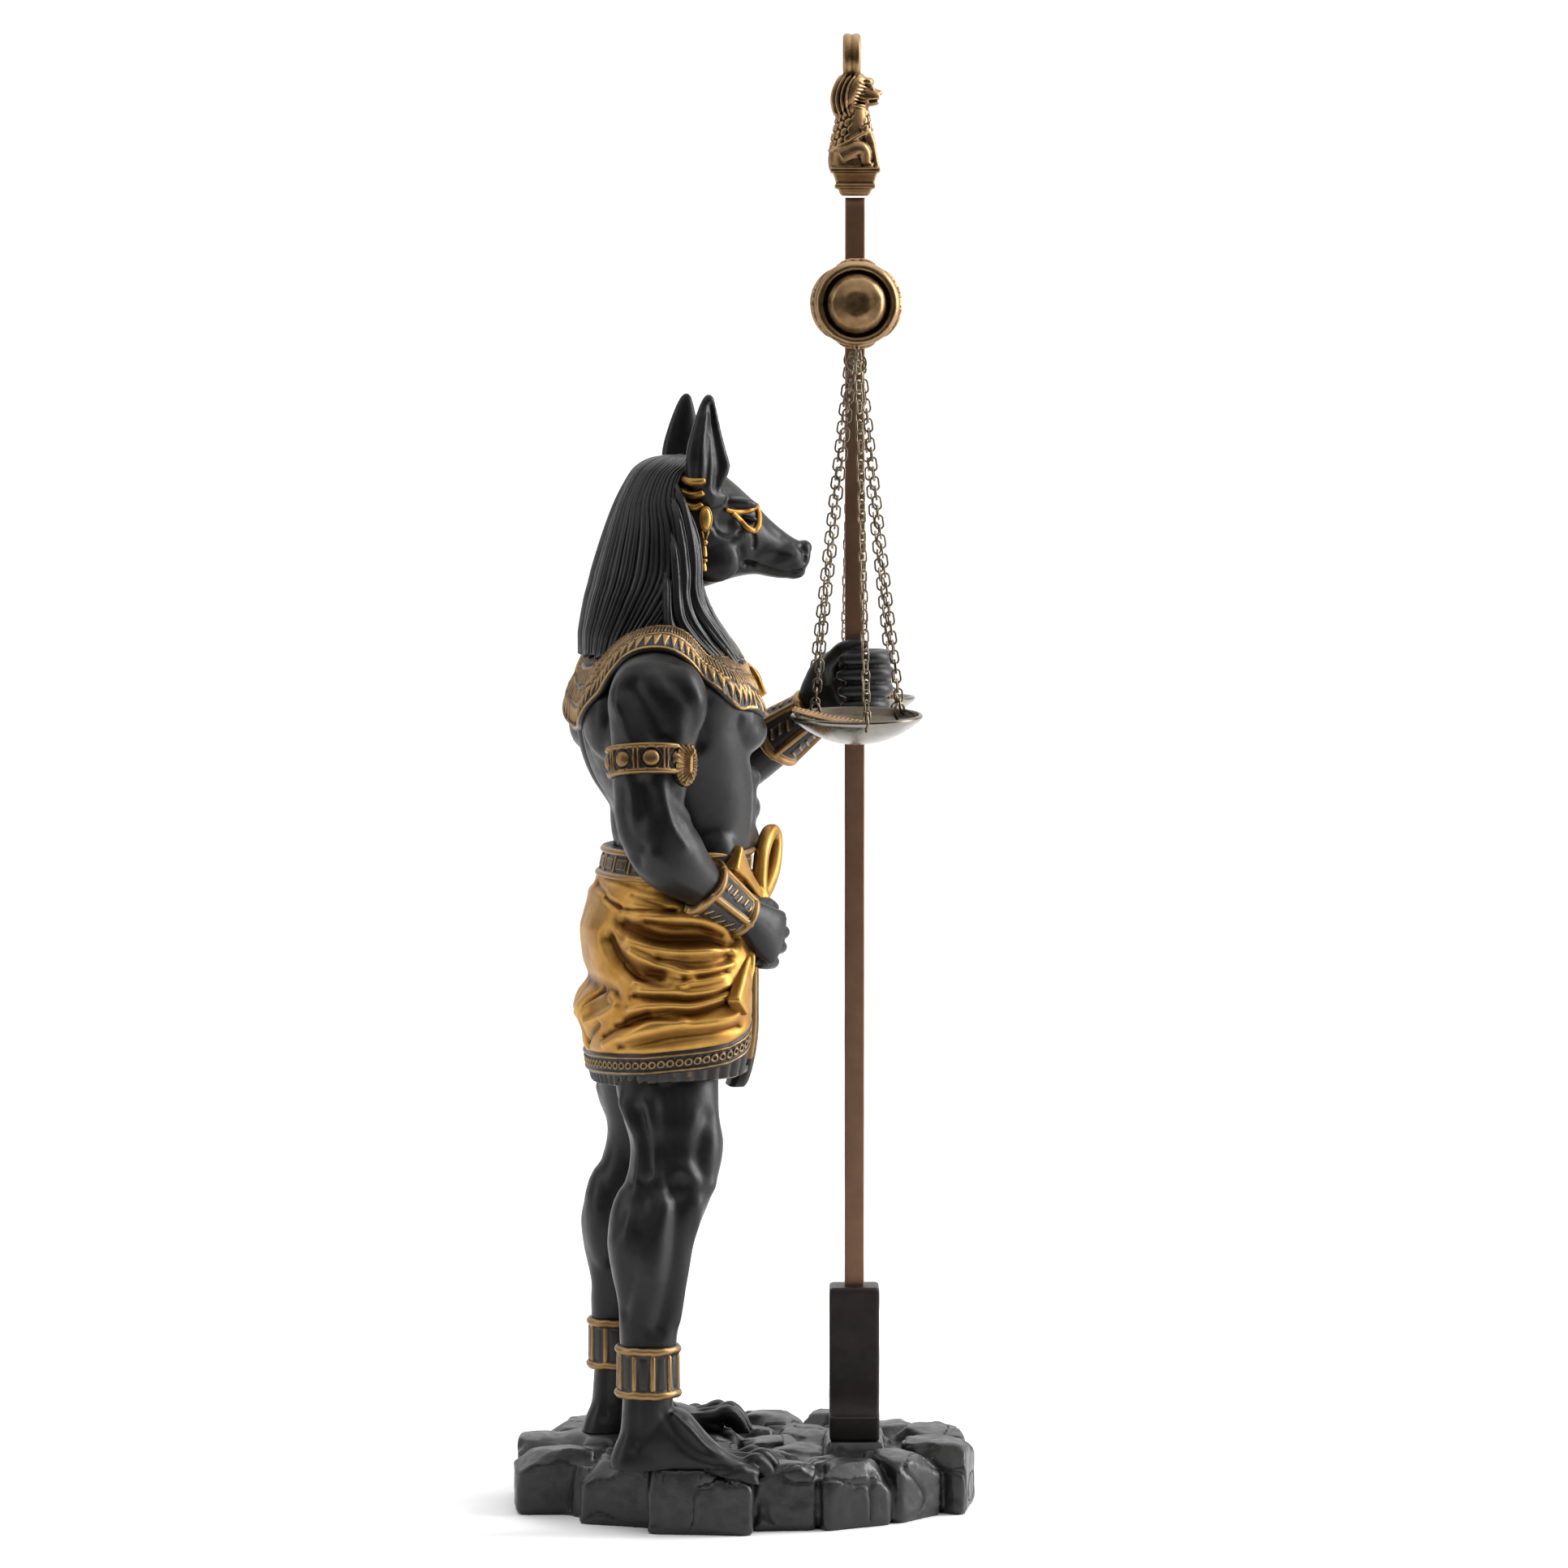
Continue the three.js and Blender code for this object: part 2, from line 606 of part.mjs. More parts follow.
function stoneSeeds() {
  const seeds = RIM_STONES.map(([turn, reach, face, near], i) => ({
    x: (reach - 7.5) * cos(rad(turn)),
    y: (reach - 7.5) * sin(rad(turn)),
    face: rad(face),
    reach: reach * cos(rad(turn - face)),
    near: near ?? null,
    top: STONE_TOP - 0.6 + 1.4 * hash(i),
  }));
  const rings = [[11, 25, 0.3], [5, 11, 0.9]];
  for (const [count, distance, start] of rings) {
    for (let i = 0; i < count; i++) {
      const turn = start + 2 * PI * (i + 0.35 * hash(i + count)) / count;
      const away = distance + 3 * (hash(3 * i + count) - 0.5);
      seeds.push({
        x: away * cos(turn),
        y: away * sin(turn) * BASE_HALF_DEPTH / BASE_HALF_LENGTH,
        face: null,
        reach: 0,
        near: null,
        top: STONE_TOP - 1 + 1.2 * hash(5 * i + count),
      });
    }
  }
  return seeds;
}

// What is left of a flat polygon on the near side of a line.
function clip(polygon, nx, ny, limit) {
  const out = [];
  polygon.forEach((p, i) => {
    const q = polygon[(i + 1) % polygon.length];
    const a = p[0] * nx + p[1] * ny - limit;
    const b = q[0] * nx + q[1] * ny - limit;
    if (a <= 0) out.push(p);
    if (a * b < 0) {
      const t = a / (a - b);
      out.push([p[0] + (q[0] - p[0]) * t, p[1] + (q[1] - p[1]) * t]);
    }
  });
  return out;
}

function outline(halfLength, halfDepth, count) {
  const points = [];
  for (let i = 0; i < count; i++) {
    const t = 2 * PI * i / count;
    points.push([halfLength * cos(t), halfDepth * sin(t)]);
  }
  return points;
}

function stoneCell(seeds, i) {
  const me = seeds[i];
  let cell = outline(BASE_HALF_LENGTH + 2.4, BASE_HALF_DEPTH + 1.4, 40);
  if (me.face !== null) cell = clip(cell, cos(me.face), sin(me.face), me.reach);
  if (me.near !== null) cell = clip(cell, 0, -1, me.near);
  seeds.forEach((other, j) => {
    if (j === i) return;
    const nx = other.x - me.x;
    const ny = other.y - me.y;
    const apart = hypot(nx, ny);
    const middle = ((other.x + me.x) * nx + (other.y + me.y) * ny) / 2 / apart;
    cell = clip(cell, nx / apart, ny / apart, middle - 0.25);
  });
  return cell;
}

// The same polygon with even corners: points at equal angles about its middle.
function evened(cell, count) {
  const cx = cell.reduce((sum, p) => sum + p[0], 0) / cell.length;
  const cy = cell.reduce((sum, p) => sum + p[1], 0) / cell.length;
  const points = [];
  for (let i = 0; i < count; i++) {
    const t = 2 * PI * i / count;
    let away = 1e9;
    cell.forEach((p, k) => {
      const q = cell[(k + 1) % cell.length];
      const ex = q[0] - p[0];
      const ey = q[1] - p[1];
      const cross = cos(t) * ey - sin(t) * ex;
      if (abs(cross) < 1e-9) return;
      const r = ((p[0] - cx) * ey - (p[1] - cy) * ex) / cross;
      const along = ((p[0] - cx) * sin(t) - (p[1] - cy) * cos(t)) / cross;
      if (r > 0 && along >= -1e-6 && along <= 1 + 1e-6) away = min(away, r);
    });
    points.push([cx, cy, away, t]);
  }
  return points;
}

function stone(seeds, i) {
  const even = evened(stoneCell(seeds, i), seeds[i].face === null ? 6 : 7);
  const top = seeds[i].top;
  const level = (z, inset, tilt) => even.map(([cx, cy, away, t], k) => {
    const r = max(1, away - inset - 0.5 * hash(i * 7 + k));
    return V(cx + r * cos(t), cy + r * sin(t),
      z + tilt * 0.06 * (r * cos(t - 6 * hash(i + 40))));
  });
  return loft([level(0, 0.3, 0), level(top - 2, 0.4, 0.8), level(top, 2.1, 1)]);
}

function rockBase() {
  const seeds = stoneSeeds();
  const stones = seeds.map((_, i) => stone(seeds, i));
  const bed = column([
    [0, 0, 3, BASE_HALF_LENGTH - 5, BASE_HALF_DEPTH - 5.5],
    [JOINT_LEVEL, 0, 3, BASE_HALF_LENGTH - 5.5, BASE_HALF_DEPTH - 6],
  ], 28, 1);
  return fuse([bed, ...stones]);
}

// Beds cut in the stones for the two soles and for the foot of the balance.
function beds() {
  const soles = [-1, 1].map((side) => {
    const y = side * LEG_SPREAD;
    return limb([
      [-13.4, y, 17, 4, 5.4],
      [-10.6, y, 17, 6.4, 5.4],
      [3.4, y + side * 0.9, 17, 7.8, 5.4],
      [12.4, y + side * 1.6, 17, 9.6, 5.4],
      [18.6, y + side * 1.6, 17, 9, 5.4],
      [21.6, y + side * 1.6, 17, 6, 5.4],
    ], 16, 1, V(0, 1, 0), 6).rotate([0, 0, FIGURE_TURN * 180 / PI])
      .translate([FIGURE_X, FIGURE_Y, 0]);
  });
  return fuse([...soles, box(ROD_X, 0, FOOT_BOTTOM - GAP + 5, FOOT_WIDTH + 1, 18.4, 10)]);
}

// The balance.
function scaleFoot() {
  const half = 5;
  const toe = 8.6;
  const right = [[toe, FOOT_BOTTOM], [toe, FOOT_BOTTOM + 4.9]];
  for (let i = 1; i <= 5; i++) {
    const t = rad(90 * i / 5);
    right.push([half + (toe - half) * (1 - sin(t)), FOOT_BOTTOM + 4.9 + 8 * (1 - cos(t))]);
  }
  right.push([half, FOOT_TOP - 0.4], [half - 0.4, FOOT_TOP]);
  const outlinePoints = [...right, ...right.map(([y, z]) => [-y, z]).reverse()];
  const body = prism(V(ROD_X, 0, 0), V(0, 1, 0), V(0, 0, 1), outlinePoints, FOOT_WIDTH);
  const socket = turned([[0, SOCKET_FLOOR], [SOCKET_RADIUS, SOCKET_FLOOR],
    [SOCKET_RADIUS, FOOT_TOP + 2], [0, FOOT_TOP + 2]], ROD_X, 0, 0, 24);
  return body.subtract(socket);
}

function scaleRod() {
  const h = ROD_SIZE / 2;
  const c = 0.3;
  const corners = [[h, -h + c], [h, h - c], [h - c, h], [-h + c, h], [-h, h - c], [-h, -h + c],
    [-h + c, -h], [h - c, -h]];
  const at = (z) => corners.map(([x, y]) => V(ROD_X + x, y, z));
  return loft([at(SOCKET_FLOOR + GAP), at(ROD_TOP - GAP)]);
}

function scaleBeam() {
  const half = [
    [0, 0], [3.1, 0], [3.1, 24], [4.4, 25], [4.4, 26.6], [3.6, 27.6], [4.6, 32],
    [7.2, 35.6], [BOSS_RADIUS, 37.6], [BOSS_RADIUS, 39.6], [6.4, 40.2],
    [4.6, 41.8], [0, 43],
  ];
  const arm = (side) => {
    const body = turned(half.map(([r, y]) => [r, side * y]), ROD_X, 0, BEAM_Z, 12, true);
    const lobes = [0, 1, 2, 3].map((k) => {
      const outlinePoints = [[2, 0]];
      for (let i = 0; i <= 2; i++) {
        const t = rad(-32 + 64 * i / 2);
        outlinePoints.push([LOBE_RADIUS * cos(t), LOBE_RADIUS * sin(t)]);
      }
      const u = V(cos(rad(90 * k)), 0, sin(rad(90 * k)));
      const v = V(-sin(rad(90 * k)), 0, cos(rad(90 * k)));
      return prism(V(ROD_X, side * 37.2, BEAM_Z), u, v, outlinePoints, 1.8);
    });
    const eye = box(ROD_X, side * BEAM_HALF, BEAM_Z - LOBE_RADIUS - 0.1, 2.6, 1.2, 1.6);
    return fuse([body, ...lobes, eye]);
  };
  const hub = turned([[0, -5.2], [5.6, -5.2], [6.2, -4.2], [6.2, 4.2], [5.6, 5.2], [0, 5.2]],
    ROD_X, 0, BEAM_Z, 16);
  const hole = box(ROD_X, 0, BEAM_Z, ROD_SIZE + 2 * GAP, ROD_SIZE + 2 * GAP, 40);
  return fuse([arm(-1), arm(1), hub]).subtract(hole);
}

// A baboon under a moon disc sits on a small square pedestal.
function finial() {
  const square = (rows) => loft(rows.map(([z, a]) => [[a, -a], [a, a], [-a, a], [-a, -a]]
    .map(([x, y]) => V(ROD_X + x, y, z))));
  const x = ROD_X;
  const pedestal = square([[ROD_TOP, 2.8], [268.2, 3.2], [268.3, 4.1], [269.2, 4.1], [269.3, 3.7],
    [271, 4.4], [271.1, 5.1], [272.6, 5.1]]);
  const seat = column([
    [272, x - 0.2, 0, 5.1, 4.8],
    [275.5, x - 0.4, 0, 5.1, 5.0],
    [279, x - 0.45, 0, 4.7, 4.9],
    [282.6, x - 0.7, 0, 4.1, 4.2],
    [286.4, x - 0.6, 0, 3.8, 3.4],
  ], 10, 1);
  const mane = column([
    [282.6, x - 2.4, 0, 2.2, 3],
    [284.6, x - 1.8, 0, 3.4, 3.8],
    [287.6, x - 1.2, 0, 4, 4.1],
    [290.2, x - 0.5, 0, 3.8, 3.4],
    [291.8, x - 0.5, 0, 2.2, 2.2],
  ], 10, 1);
  const muzzle = limb([
    [x, 0, 287.6, 3, 3],
    [x + 3.2, 0, 287.2, 2.4, 2.4],
    [x + 4.6, 0, 287, 1.9, 1.8],
    [x + 5.2, 0, 286.9, 1.1, 1.1],
  ], 8, 1);
  const knees = [-1, 1].map((s) => limb([
    [x - 3, s * 3.4, 275, 2, 2],
    [x + 2, s * 3.6, 276.2, 1.8, 1.8],
    [x + 4.2, s * 3.2, 272.8, 1.1, 1.1],
  ], 6, 1));
  const arms = [-1, 1].map((s) => limb([
    [x + 1.4, s * 3.2, 282, 1.5, 1.5],
    [x + 3.2, s * 2.8, 278.4, 1.1, 1.1],
    [x + 4.3, s * 2, 272.8, 0.9, 0.9],
  ], 5, 1));
  // The moon disc is turned about the figure's forward line, so it shows its edge.
  const disc = turned([[0, -1.5], [3.2, -2], [4.4, -1.8], [4.7, 0], [4.4, 1.8], [3.2, 2],
    [0, 1.5]], 0, 0, 0, 16).rotate([0, 90, 0]).translate([x - 0.6, 0, 295.3]);
  return fuse([pedestal, seat, mane, muzzle, ...knees, ...arms, disc]);
}

// Dishes, chains, feather and heart.
const SIDES = { right: -1, left: 1 };

const DISH_STEPS = 3;

function dishHeight(r) {
  return -PAN_DEPTH * (1 - (r / PAN_RADIUS) ** 2.2);
}

const rimHeight = (side) => PAN_RIM_Z - (side > 0 ? LEFT_PAN_DROP : 0);

function pan(side) {
  const outer = [];
  const inner = [];
  for (let i = 0; i <= DISH_STEPS; i++) {
    const r = PAN_RADIUS * i / DISH_STEPS;
    outer.push([r, dishHeight(r)]);
    inner.push([r, dishHeight(r) + PAN_WALL]);
  }
  const tilt = side < 0 ? PAN_TILT * 180 / PI : 0;
  return turned([...outer, ...inner.reverse()], 0, 0, 0, 18).rotate([tilt, 0, 0])
    .translate([ROD_X, side * BEAM_HALF, rimHeight(side)]);
}

function panPoint(side, x, y, up) {
  const tilt = side < 0 ? PAN_TILT : 0;
  return V(ROD_X + x, side * BEAM_HALF + y * cos(tilt) - up * sin(tilt),
    rimHeight(side) + y * sin(tilt) + up * cos(tilt));
}

// A chain seen as one body: its section turns a quarter at every link.
function chain(side, index) {
  const turn = rad(side < 0 ? CHAIN_ANGLES[index] : CHAIN_ANGLES[index] + 180);
  const x = CHAIN_RADIUS * cos(turn);
  const y = CHAIN_RADIUS * sin(turn);
  const foot = panPoint(side, x, y, PAN_WALL + GAP + 0.5 + dishHeight(CHAIN_RADIUS));
  const head = V(ROD_X + 1.25 * cos(turn), side * BEAM_HALF + 1.25 * sin(turn), CHAIN_TOP_Z);
  const length = head.distanceTo(foot);
  const along = head.clone().sub(foot).normalize();
  const across = V(cos(turn), sin(turn), 0);
  across.addScaledVector(along, -across.dot(along)).normalize();
  const other = new THREE.Vector3().crossVectors(along, across);
  const links = 2 * Math.round(length / LINK_PITCH / 6);
  const rings = [];
  for (let i = 0; i <= links; i++) {
    const wide = i % 2 === 0 ? 0.72 : 0.34;
    const slim = i % 2 === 0 ? 0.34 : 0.72;
    rings.push(ring(foot.clone().addScaledVector(along, length * i / links), across, other,
      wide, slim, 4));
  }
  return loft(rings);
}

function feather() {
  const lift = 0.5;
  const rows = [];
  for (let i = 0; i <= 6; i++) {
    const t = i / 6;
    const x = -12.3 + 20.3 * t;
    const up = 1.5 * (1 - t) ** 2 - 2.4 * t * (1 - 0.25 * t) + lift;
    const p = panPoint(-1, x, -1.4 - 1.6 * t, up);
    const wide = 0.6 + 2.6 * sin(PI * min(1, 0.18 + 0.8 * t)) ** 0.8;
    rows.push([p.x, p.y, p.z, wide, 0.4]);
  }
  return limb(rows, 8, 1);
}

function heart() {
  const floor = rimHeight(1) - PAN_DEPTH + PAN_WALL + GAP + 0.25;
  return turned([[0, 0], [1.5, 0], [3, 1.6], [3.4, 3.2], [2.6, 4.8], [1.5, 5.4], [1.3, 6],
    [1.9, 6.6], [1.9, 7], [0, 7.2]], ROD_X + 4.6, BEAM_HALF - 2, floor + 1.2, 10);
}

const LOOKS = {
  resin: new THREE.MeshStandardMaterial({ color: 0x232324, roughness: 0.5, metalness: 0 }),
  stone: new THREE.MeshStandardMaterial({ color: 0x2b2b2c, roughness: 0.6, metalness: 0 }),
  copper: new THREE.MeshStandardMaterial({ color: 0x7b5b45, roughness: 0.5, metalness: 0.5 }),
  bronze: new THREE.MeshStandardMaterial({ color: 0x7d5a2b, roughness: 0.45, metalness: 0.8 }),
  dark: new THREE.MeshStandardMaterial({ color: 0x3b2c22, roughness: 0.5, metalness: 0.5 }),
  dish: new THREE.MeshStandardMaterial({ color: 0xb9a98c, roughness: 0.25, metalness: 1 }),
  chain: new THREE.MeshStandardMaterial({ color: 0x7a6f5a, roughness: 0.4, metalness: 1 }),
  gold: new THREE.MeshStandardMaterial({ color: 0xb98a3a, roughness: 0.35, metalness: 0.9 }),
};

const group = new THREE.Group();

function place(name, solid, material) {
  const { vertProperties, triVerts, numProp } = solid.getMesh();
  const positions = new Float32Array(vertProperties.length / numProp * 3);
  for (let i = 0; i < positions.length / 3; i++) {
    for (let k = 0; k < 3; k++) positions[3 * i + k] = vertProperties[i * numProp + k];
  }
  const geometry = new THREE.BufferGeometry();
  geometry.setAttribute('position', new THREE.BufferAttribute(positions, 3));
  geometry.setIndex(new THREE.BufferAttribute(new Uint32Array(triVerts), 1));
  geometry.computeVertexNormals();
  const mesh = new THREE.Mesh(geometry, material);
  mesh.name = name;
  group.add(mesh);
}

place('rock_base', rockBase().subtract(beds()), LOOKS.stone);
place('figure', figure(), LOOKS.resin);
place('scale_foot', scaleFoot(), LOOKS.dark);
place('scale_rod', scaleRod(), LOOKS.copper);
place('scale_beam', scaleBeam(), LOOKS.bronze);
place('finial', finial(), LOOKS.bronze);
for (const [name, side] of Object.entries(SIDES)) {
  place(`pan_${name}`, pan(side), LOOKS.dish);
  [0, 1, 2].forEach((index) => place(`chain_${name}_${index + 1}`, chain(side, index),
    LOOKS.chain));
}
place('feather', feather(), LOOKS.bronze);
place('heart', heart(), LOOKS.gold);

export default group;
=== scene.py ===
"""The visual model of the statue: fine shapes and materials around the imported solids.
Lengths are in millimetres until make() turns them into metres. The figure is drawn in its
own frame, X ahead and Y to its left, and fig() puts it in its place on the base."""

import math

import bpy
import numpy as np
from mathutils import Matrix, Vector
from mathutils.bvhtree import BVHTree


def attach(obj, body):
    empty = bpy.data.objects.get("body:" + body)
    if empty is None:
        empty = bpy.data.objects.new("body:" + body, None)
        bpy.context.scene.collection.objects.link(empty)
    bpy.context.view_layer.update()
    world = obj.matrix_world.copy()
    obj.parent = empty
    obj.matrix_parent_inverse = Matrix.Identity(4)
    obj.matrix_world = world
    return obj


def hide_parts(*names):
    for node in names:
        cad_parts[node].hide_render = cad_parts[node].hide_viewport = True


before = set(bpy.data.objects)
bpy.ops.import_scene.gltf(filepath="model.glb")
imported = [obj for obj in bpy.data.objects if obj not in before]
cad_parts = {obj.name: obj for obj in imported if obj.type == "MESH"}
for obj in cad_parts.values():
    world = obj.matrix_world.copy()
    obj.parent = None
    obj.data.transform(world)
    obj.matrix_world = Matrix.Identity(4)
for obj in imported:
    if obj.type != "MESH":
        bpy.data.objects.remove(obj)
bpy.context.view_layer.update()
pi = math.pi
rad = math.radians

# The figure's place on the base and its turn.
FIGURE = (-17.0, -13.0)
COS_TURN = math.cos(rad(10))
SIN_TURN = math.sin(rad(10))
ROD_X = 22.4
BEAM_Z = 245.3
BEAM_HALF = 39.5
PAN_RIM_Z = 163.6
LEFT_PAN_DROP = 0.9
PAN_RADIUS = 13.05
PAN_DEPTH = 5.2
PAN_WALL = 0.8
PAN_TILT = rad(3.6)
CHAIN_TOP_Z = 235.2
CHAIN_RADIUS = 11.6
CHAIN_ANGLES = [-81, 43, 134]
LINK_PITCH = 1.95
LEG_SPREAD = 19.5
# Height of the underside of the right and the left foot.
SOLE = {-1: 13.0, 1: 14.2}
FINE = 1.0


# Arrays and shapes. A part is its points and a list of face arrays.
def arr(*rows):
    return np.array(rows, float)


def unit(v):
    v = np.asarray(v, float)
    return v / np.maximum(np.linalg.norm(v, axis=-1, keepdims=True), 1e-12)


def turns(count, offset=0.0):
    """The directions of count points round a ring."""
    return 2 * pi * (np.arange(count) + offset) / count


def square_to(v, n):
    """The unit vector nearest to v at right angles to n. Both may be lists of vectors."""
    v = np.asarray(v, float)
    along = v @ n if v.ndim == 1 else np.sum(v * n, -1, keepdims=True)
    return unit(v - n * along)


def bell(x, width):
    return np.exp(-((x / width) ** 2))


def bead(x, half):
    """The height of a round rib whose half width is half."""
    return np.sqrt(np.clip(1 - (x / half) ** 2, 0, 1))


def powered(c, power):
    return np.sign(c) * np.abs(c) ** power


def smoothstep(a, b, x):
    t = np.clip((x - a) / (b - a), 0, 1)
    return t * t * (3 - 2 * t)


def fig(p):
    """A point of the figure's own frame, put in its place on the base."""
    p = np.asarray(p, float)
    q = p.copy()
    q[..., 0] = FIGURE[0] + p[..., 0] * COS_TURN - p[..., 1] * SIN_TURN
    q[..., 1] = FIGURE[1] + p[..., 0] * SIN_TURN + p[..., 1] * COS_TURN
    return q


def to_figure(x, y):
    """A place on the base, in the figure's own frame."""
    x, y = x - FIGURE[0], y - FIGURE[1]
    return x * COS_TURN + y * SIN_TURN, -x * SIN_TURN + y * COS_TURN


def spline(rows, steps):
    """A smooth curve through all the rows, with so many steps between two of them."""
    rows = np.asarray(rows, float)
    last = len(rows) - 1
    out = []
    for i in range(last):
        p0, p1, p2, p3 = rows[max(i - 1, 0)], rows[i], rows[i + 1], rows[min(i + 2, last)]
        for s in range(steps):
            t = s / steps
            squared = (2 * p0 - 5 * p1 + 4 * p2 - p3) * t * t
            cubed = (3 * p1 - p0 - 3 * p2 + p3) * t**3
            out.append(0.5 * (2 * p1 + (p2 - p0) * t + squared + cubed))
    out.append(rows[-1])
    return np.array(out)


def grid(points, wrap_u=False, wrap_v=False, cap=False):
    """Faces over a table of points [n, m, 3]. cap closes the first and last row."""
    n, m = points.shape[:2]
    i = np.arange(n if wrap_u else n - 1)
    j = np.arange(m if wrap_v else m - 1)
    a, b = np.meshgrid(i, j, indexing="ij")
    a2, b2 = (a + 1) % n, (b + 1) % m
    quads = np.stack([a * m + b, a * m + b2, a2 * m + b2, a2 * m + b], -1).reshape(-1, 4)
    v = points.reshape(-1, 3)
    faces = [quads]
    if cap:
        ends = np.stack([points[0].mean(0), points[-1].mean(0)])
        k = len(v)
        v = np.concatenate([v, ends])
        r = np.arange(m)
        r2 = (r + 1) % m
        last = (n - 1) * m
        faces.append(np.stack([np.full(m, k), r2, r], -1))
        faces.append(np.stack([np.full(m, k + 1), last + r, last + r2], -1))
    return v, faces


def join(parts):
    v, faces, start = [], [], 0
    for pv, pf in parts:
        v.append(pv)
        faces += [f + start for f in pf]
        start += len(pv)
    return np.concatenate(v), faces


def ring(centre, u, v, a, b, count, power=2.0):
    t = turns(count, 0.5)
    c, s = powered(np.cos(t), 2 / power), powered(np.sin(t), 2 / power)
    return np.asarray(centre) + np.outer(a * c, u) + np.outer(b * s, v)


def column(rows, count=48, steps=6, power=2.0):
    """A body of level ovals, from rows of height, place and two half widths."""
    rings = [
        ring((x, y, z), (1, 0, 0), (0, 1, 0), a, b, count, power)
        for z, x, y, a, b in spline(rows, steps)
    ]
    return grid(np.stack(rings), wrap_v=True, cap=True)


def limb(rows, count=24, steps=5, side=(0, 1, 0), power=2.0):
    """A body of ovals square to a curve, from rows of point and two half widths."""
    dense = spline(rows, steps)
    ahead = unit(np.gradient(dense[:, :3], axis=0))
    rings = []
    for n, row in zip(ahead, dense):
        u = square_to(side, n)
        rings.append(ring(row[:3], u, np.cross(n, u), row[3], row[4], count, power))
    return grid(np.stack(rings), wrap_v=True, cap=True)


def blob(centre, radii, ahead=(1, 0, 0), up=(0, 0, 1), count=20):
    """An ellipsoid. Its first radius lies along ahead and its third near up."""
    a = unit(ahead)
    c = square_to(up, a)
    b = np.cross(c, a)
    t = np.linspace(-pi / 2 * 0.98, pi / 2 * 0.98, count // 2 + 2)
    s = turns(count)
    pts = (
        np.asarray(centre, float)
        + np.einsum("i,j,k->ijk", np.cos(t), np.cos(s), a * radii[0])
        + np.einsum("i,j,k->ijk", np.cos(t), np.sin(s), b * radii[1])
        + np.einsum("i,j,k->ijk", np.sin(t), np.ones(count), c * radii[2])
    )
    return grid(pts, wrap_v=True, cap=True)


def tube(path, radius, count=8, closed=False, flat=1.0, up=None):
    """A round or flattened bar along a path. radius may change along it."""
    p = np.asarray(path, float)
    r = np.broadcast_to(np.asarray(radius, float), (len(p),))[:, None, None]
    if closed:
        ahead = unit(np.roll(p, -1, 0) - np.roll(p, 1, 0))
    else:
        ahead = unit(np.gradient(p, axis=0))
    if up is None:
        ups = np.zeros(p.shape)
        w = arr(0, 0, 1) if abs(ahead[0][2]) < 0.9 else arr(1, 0, 0)
        for i, n in enumerate(ahead):
            w = square_to(w, n)
            ups[i] = w
    else:
        ups = square_to(np.broadcast_to(np.asarray(up, float), p.shape), ahead)
    side = np.cross(ahead, ups)
    t = turns(count)[None, :, None]
    pts = p[:, None] + r * np.cos(t) * side[:, None] + r * flat * np.sin(t) * ups[:, None]
    return grid(pts, wrap_u=closed, wrap_v=True, cap=not closed)


def lathe(profile, count=64):
    """A body turned about Z from radius and height pairs that start and end on the axis."""
    profile = np.asarray(profile, float)
    t = turns(count)
    r = np.maximum(profile[:, 0], 1e-4)
    z = np.repeat(profile[:, 1:2], count, 1)
    pts = np.stack([np.outer(r, np.cos(t)), np.outer(r, np.sin(t)), z], -1)
    return grid(pts[::-1], wrap_v=True, cap=True)


def rotated(part, axis, angle):
    c, s = math.cos(angle), math.sin(angle)
    i, j = [(1, 2), (2, 0), (0, 1)][axis]
    v = part[0].copy()
    v[:, i] = part[0][:, i] * c - part[0][:, j] * s
    v[:, j] = part[0][:, i] * s + part[0][:, j] * c
    return v, part[1]


def moved(part, offset):
    return part[0] + np.asarray(offset, float), part[1]


def rounded(profile, radius, steps=4):
    """A profile with its inner corners cut round."""
    p = np.asarray(profile, float)
    out = [p[0]]
    for i in range(1, len(p) - 1):
        a, b, c = p[i - 1], p[i], p[i + 1]
        r = min(radius, np.linalg.norm(a - b) * 0.45, np.linalg.norm(c - b) * 0.45)
        s, e = b + unit(a - b) * r, b + unit(c - b) * r
        for k in range(steps + 1):
            t = k / steps
            out.append((1 - t) ** 2 * s + 2 * t * (1 - t) * b + t * t * e)
    out.append(p[-1])
    return np.array(out)


def bpy_mesh(name, part):
    v, faces = part
    me = bpy.data.meshes.new(name)
    loops = np.concatenate([f.reshape(-1) for f in faces]).astype(np.int32)
    sizes = np.concatenate([np.full(len(f), f.shape[1]) for f in faces])
    starts = np.concatenate([[0], np.cumsum(sizes)[:-1]]).astype(np.int32)
    me.vertices.add(len(v))
    me.vertices.foreach_set("co", v.astype(np.float32).reshape(-1))
    me.loops.add(len(loops))
    me.loops.foreach_set("vertex_index", loops)
    me.polygons.add(len(sizes))
    me.polygons.foreach_set("loop_start", starts)
    me.update(calc_edges=True)
    return me


def linked(name, data):
    ob = bpy.data.objects.new(name, data)
    bpy.context.collection.objects.link(ob)
    return ob


def evaluated(ob):
    return ob.evaluated_get(bpy.context.evaluated_depsgraph_get())


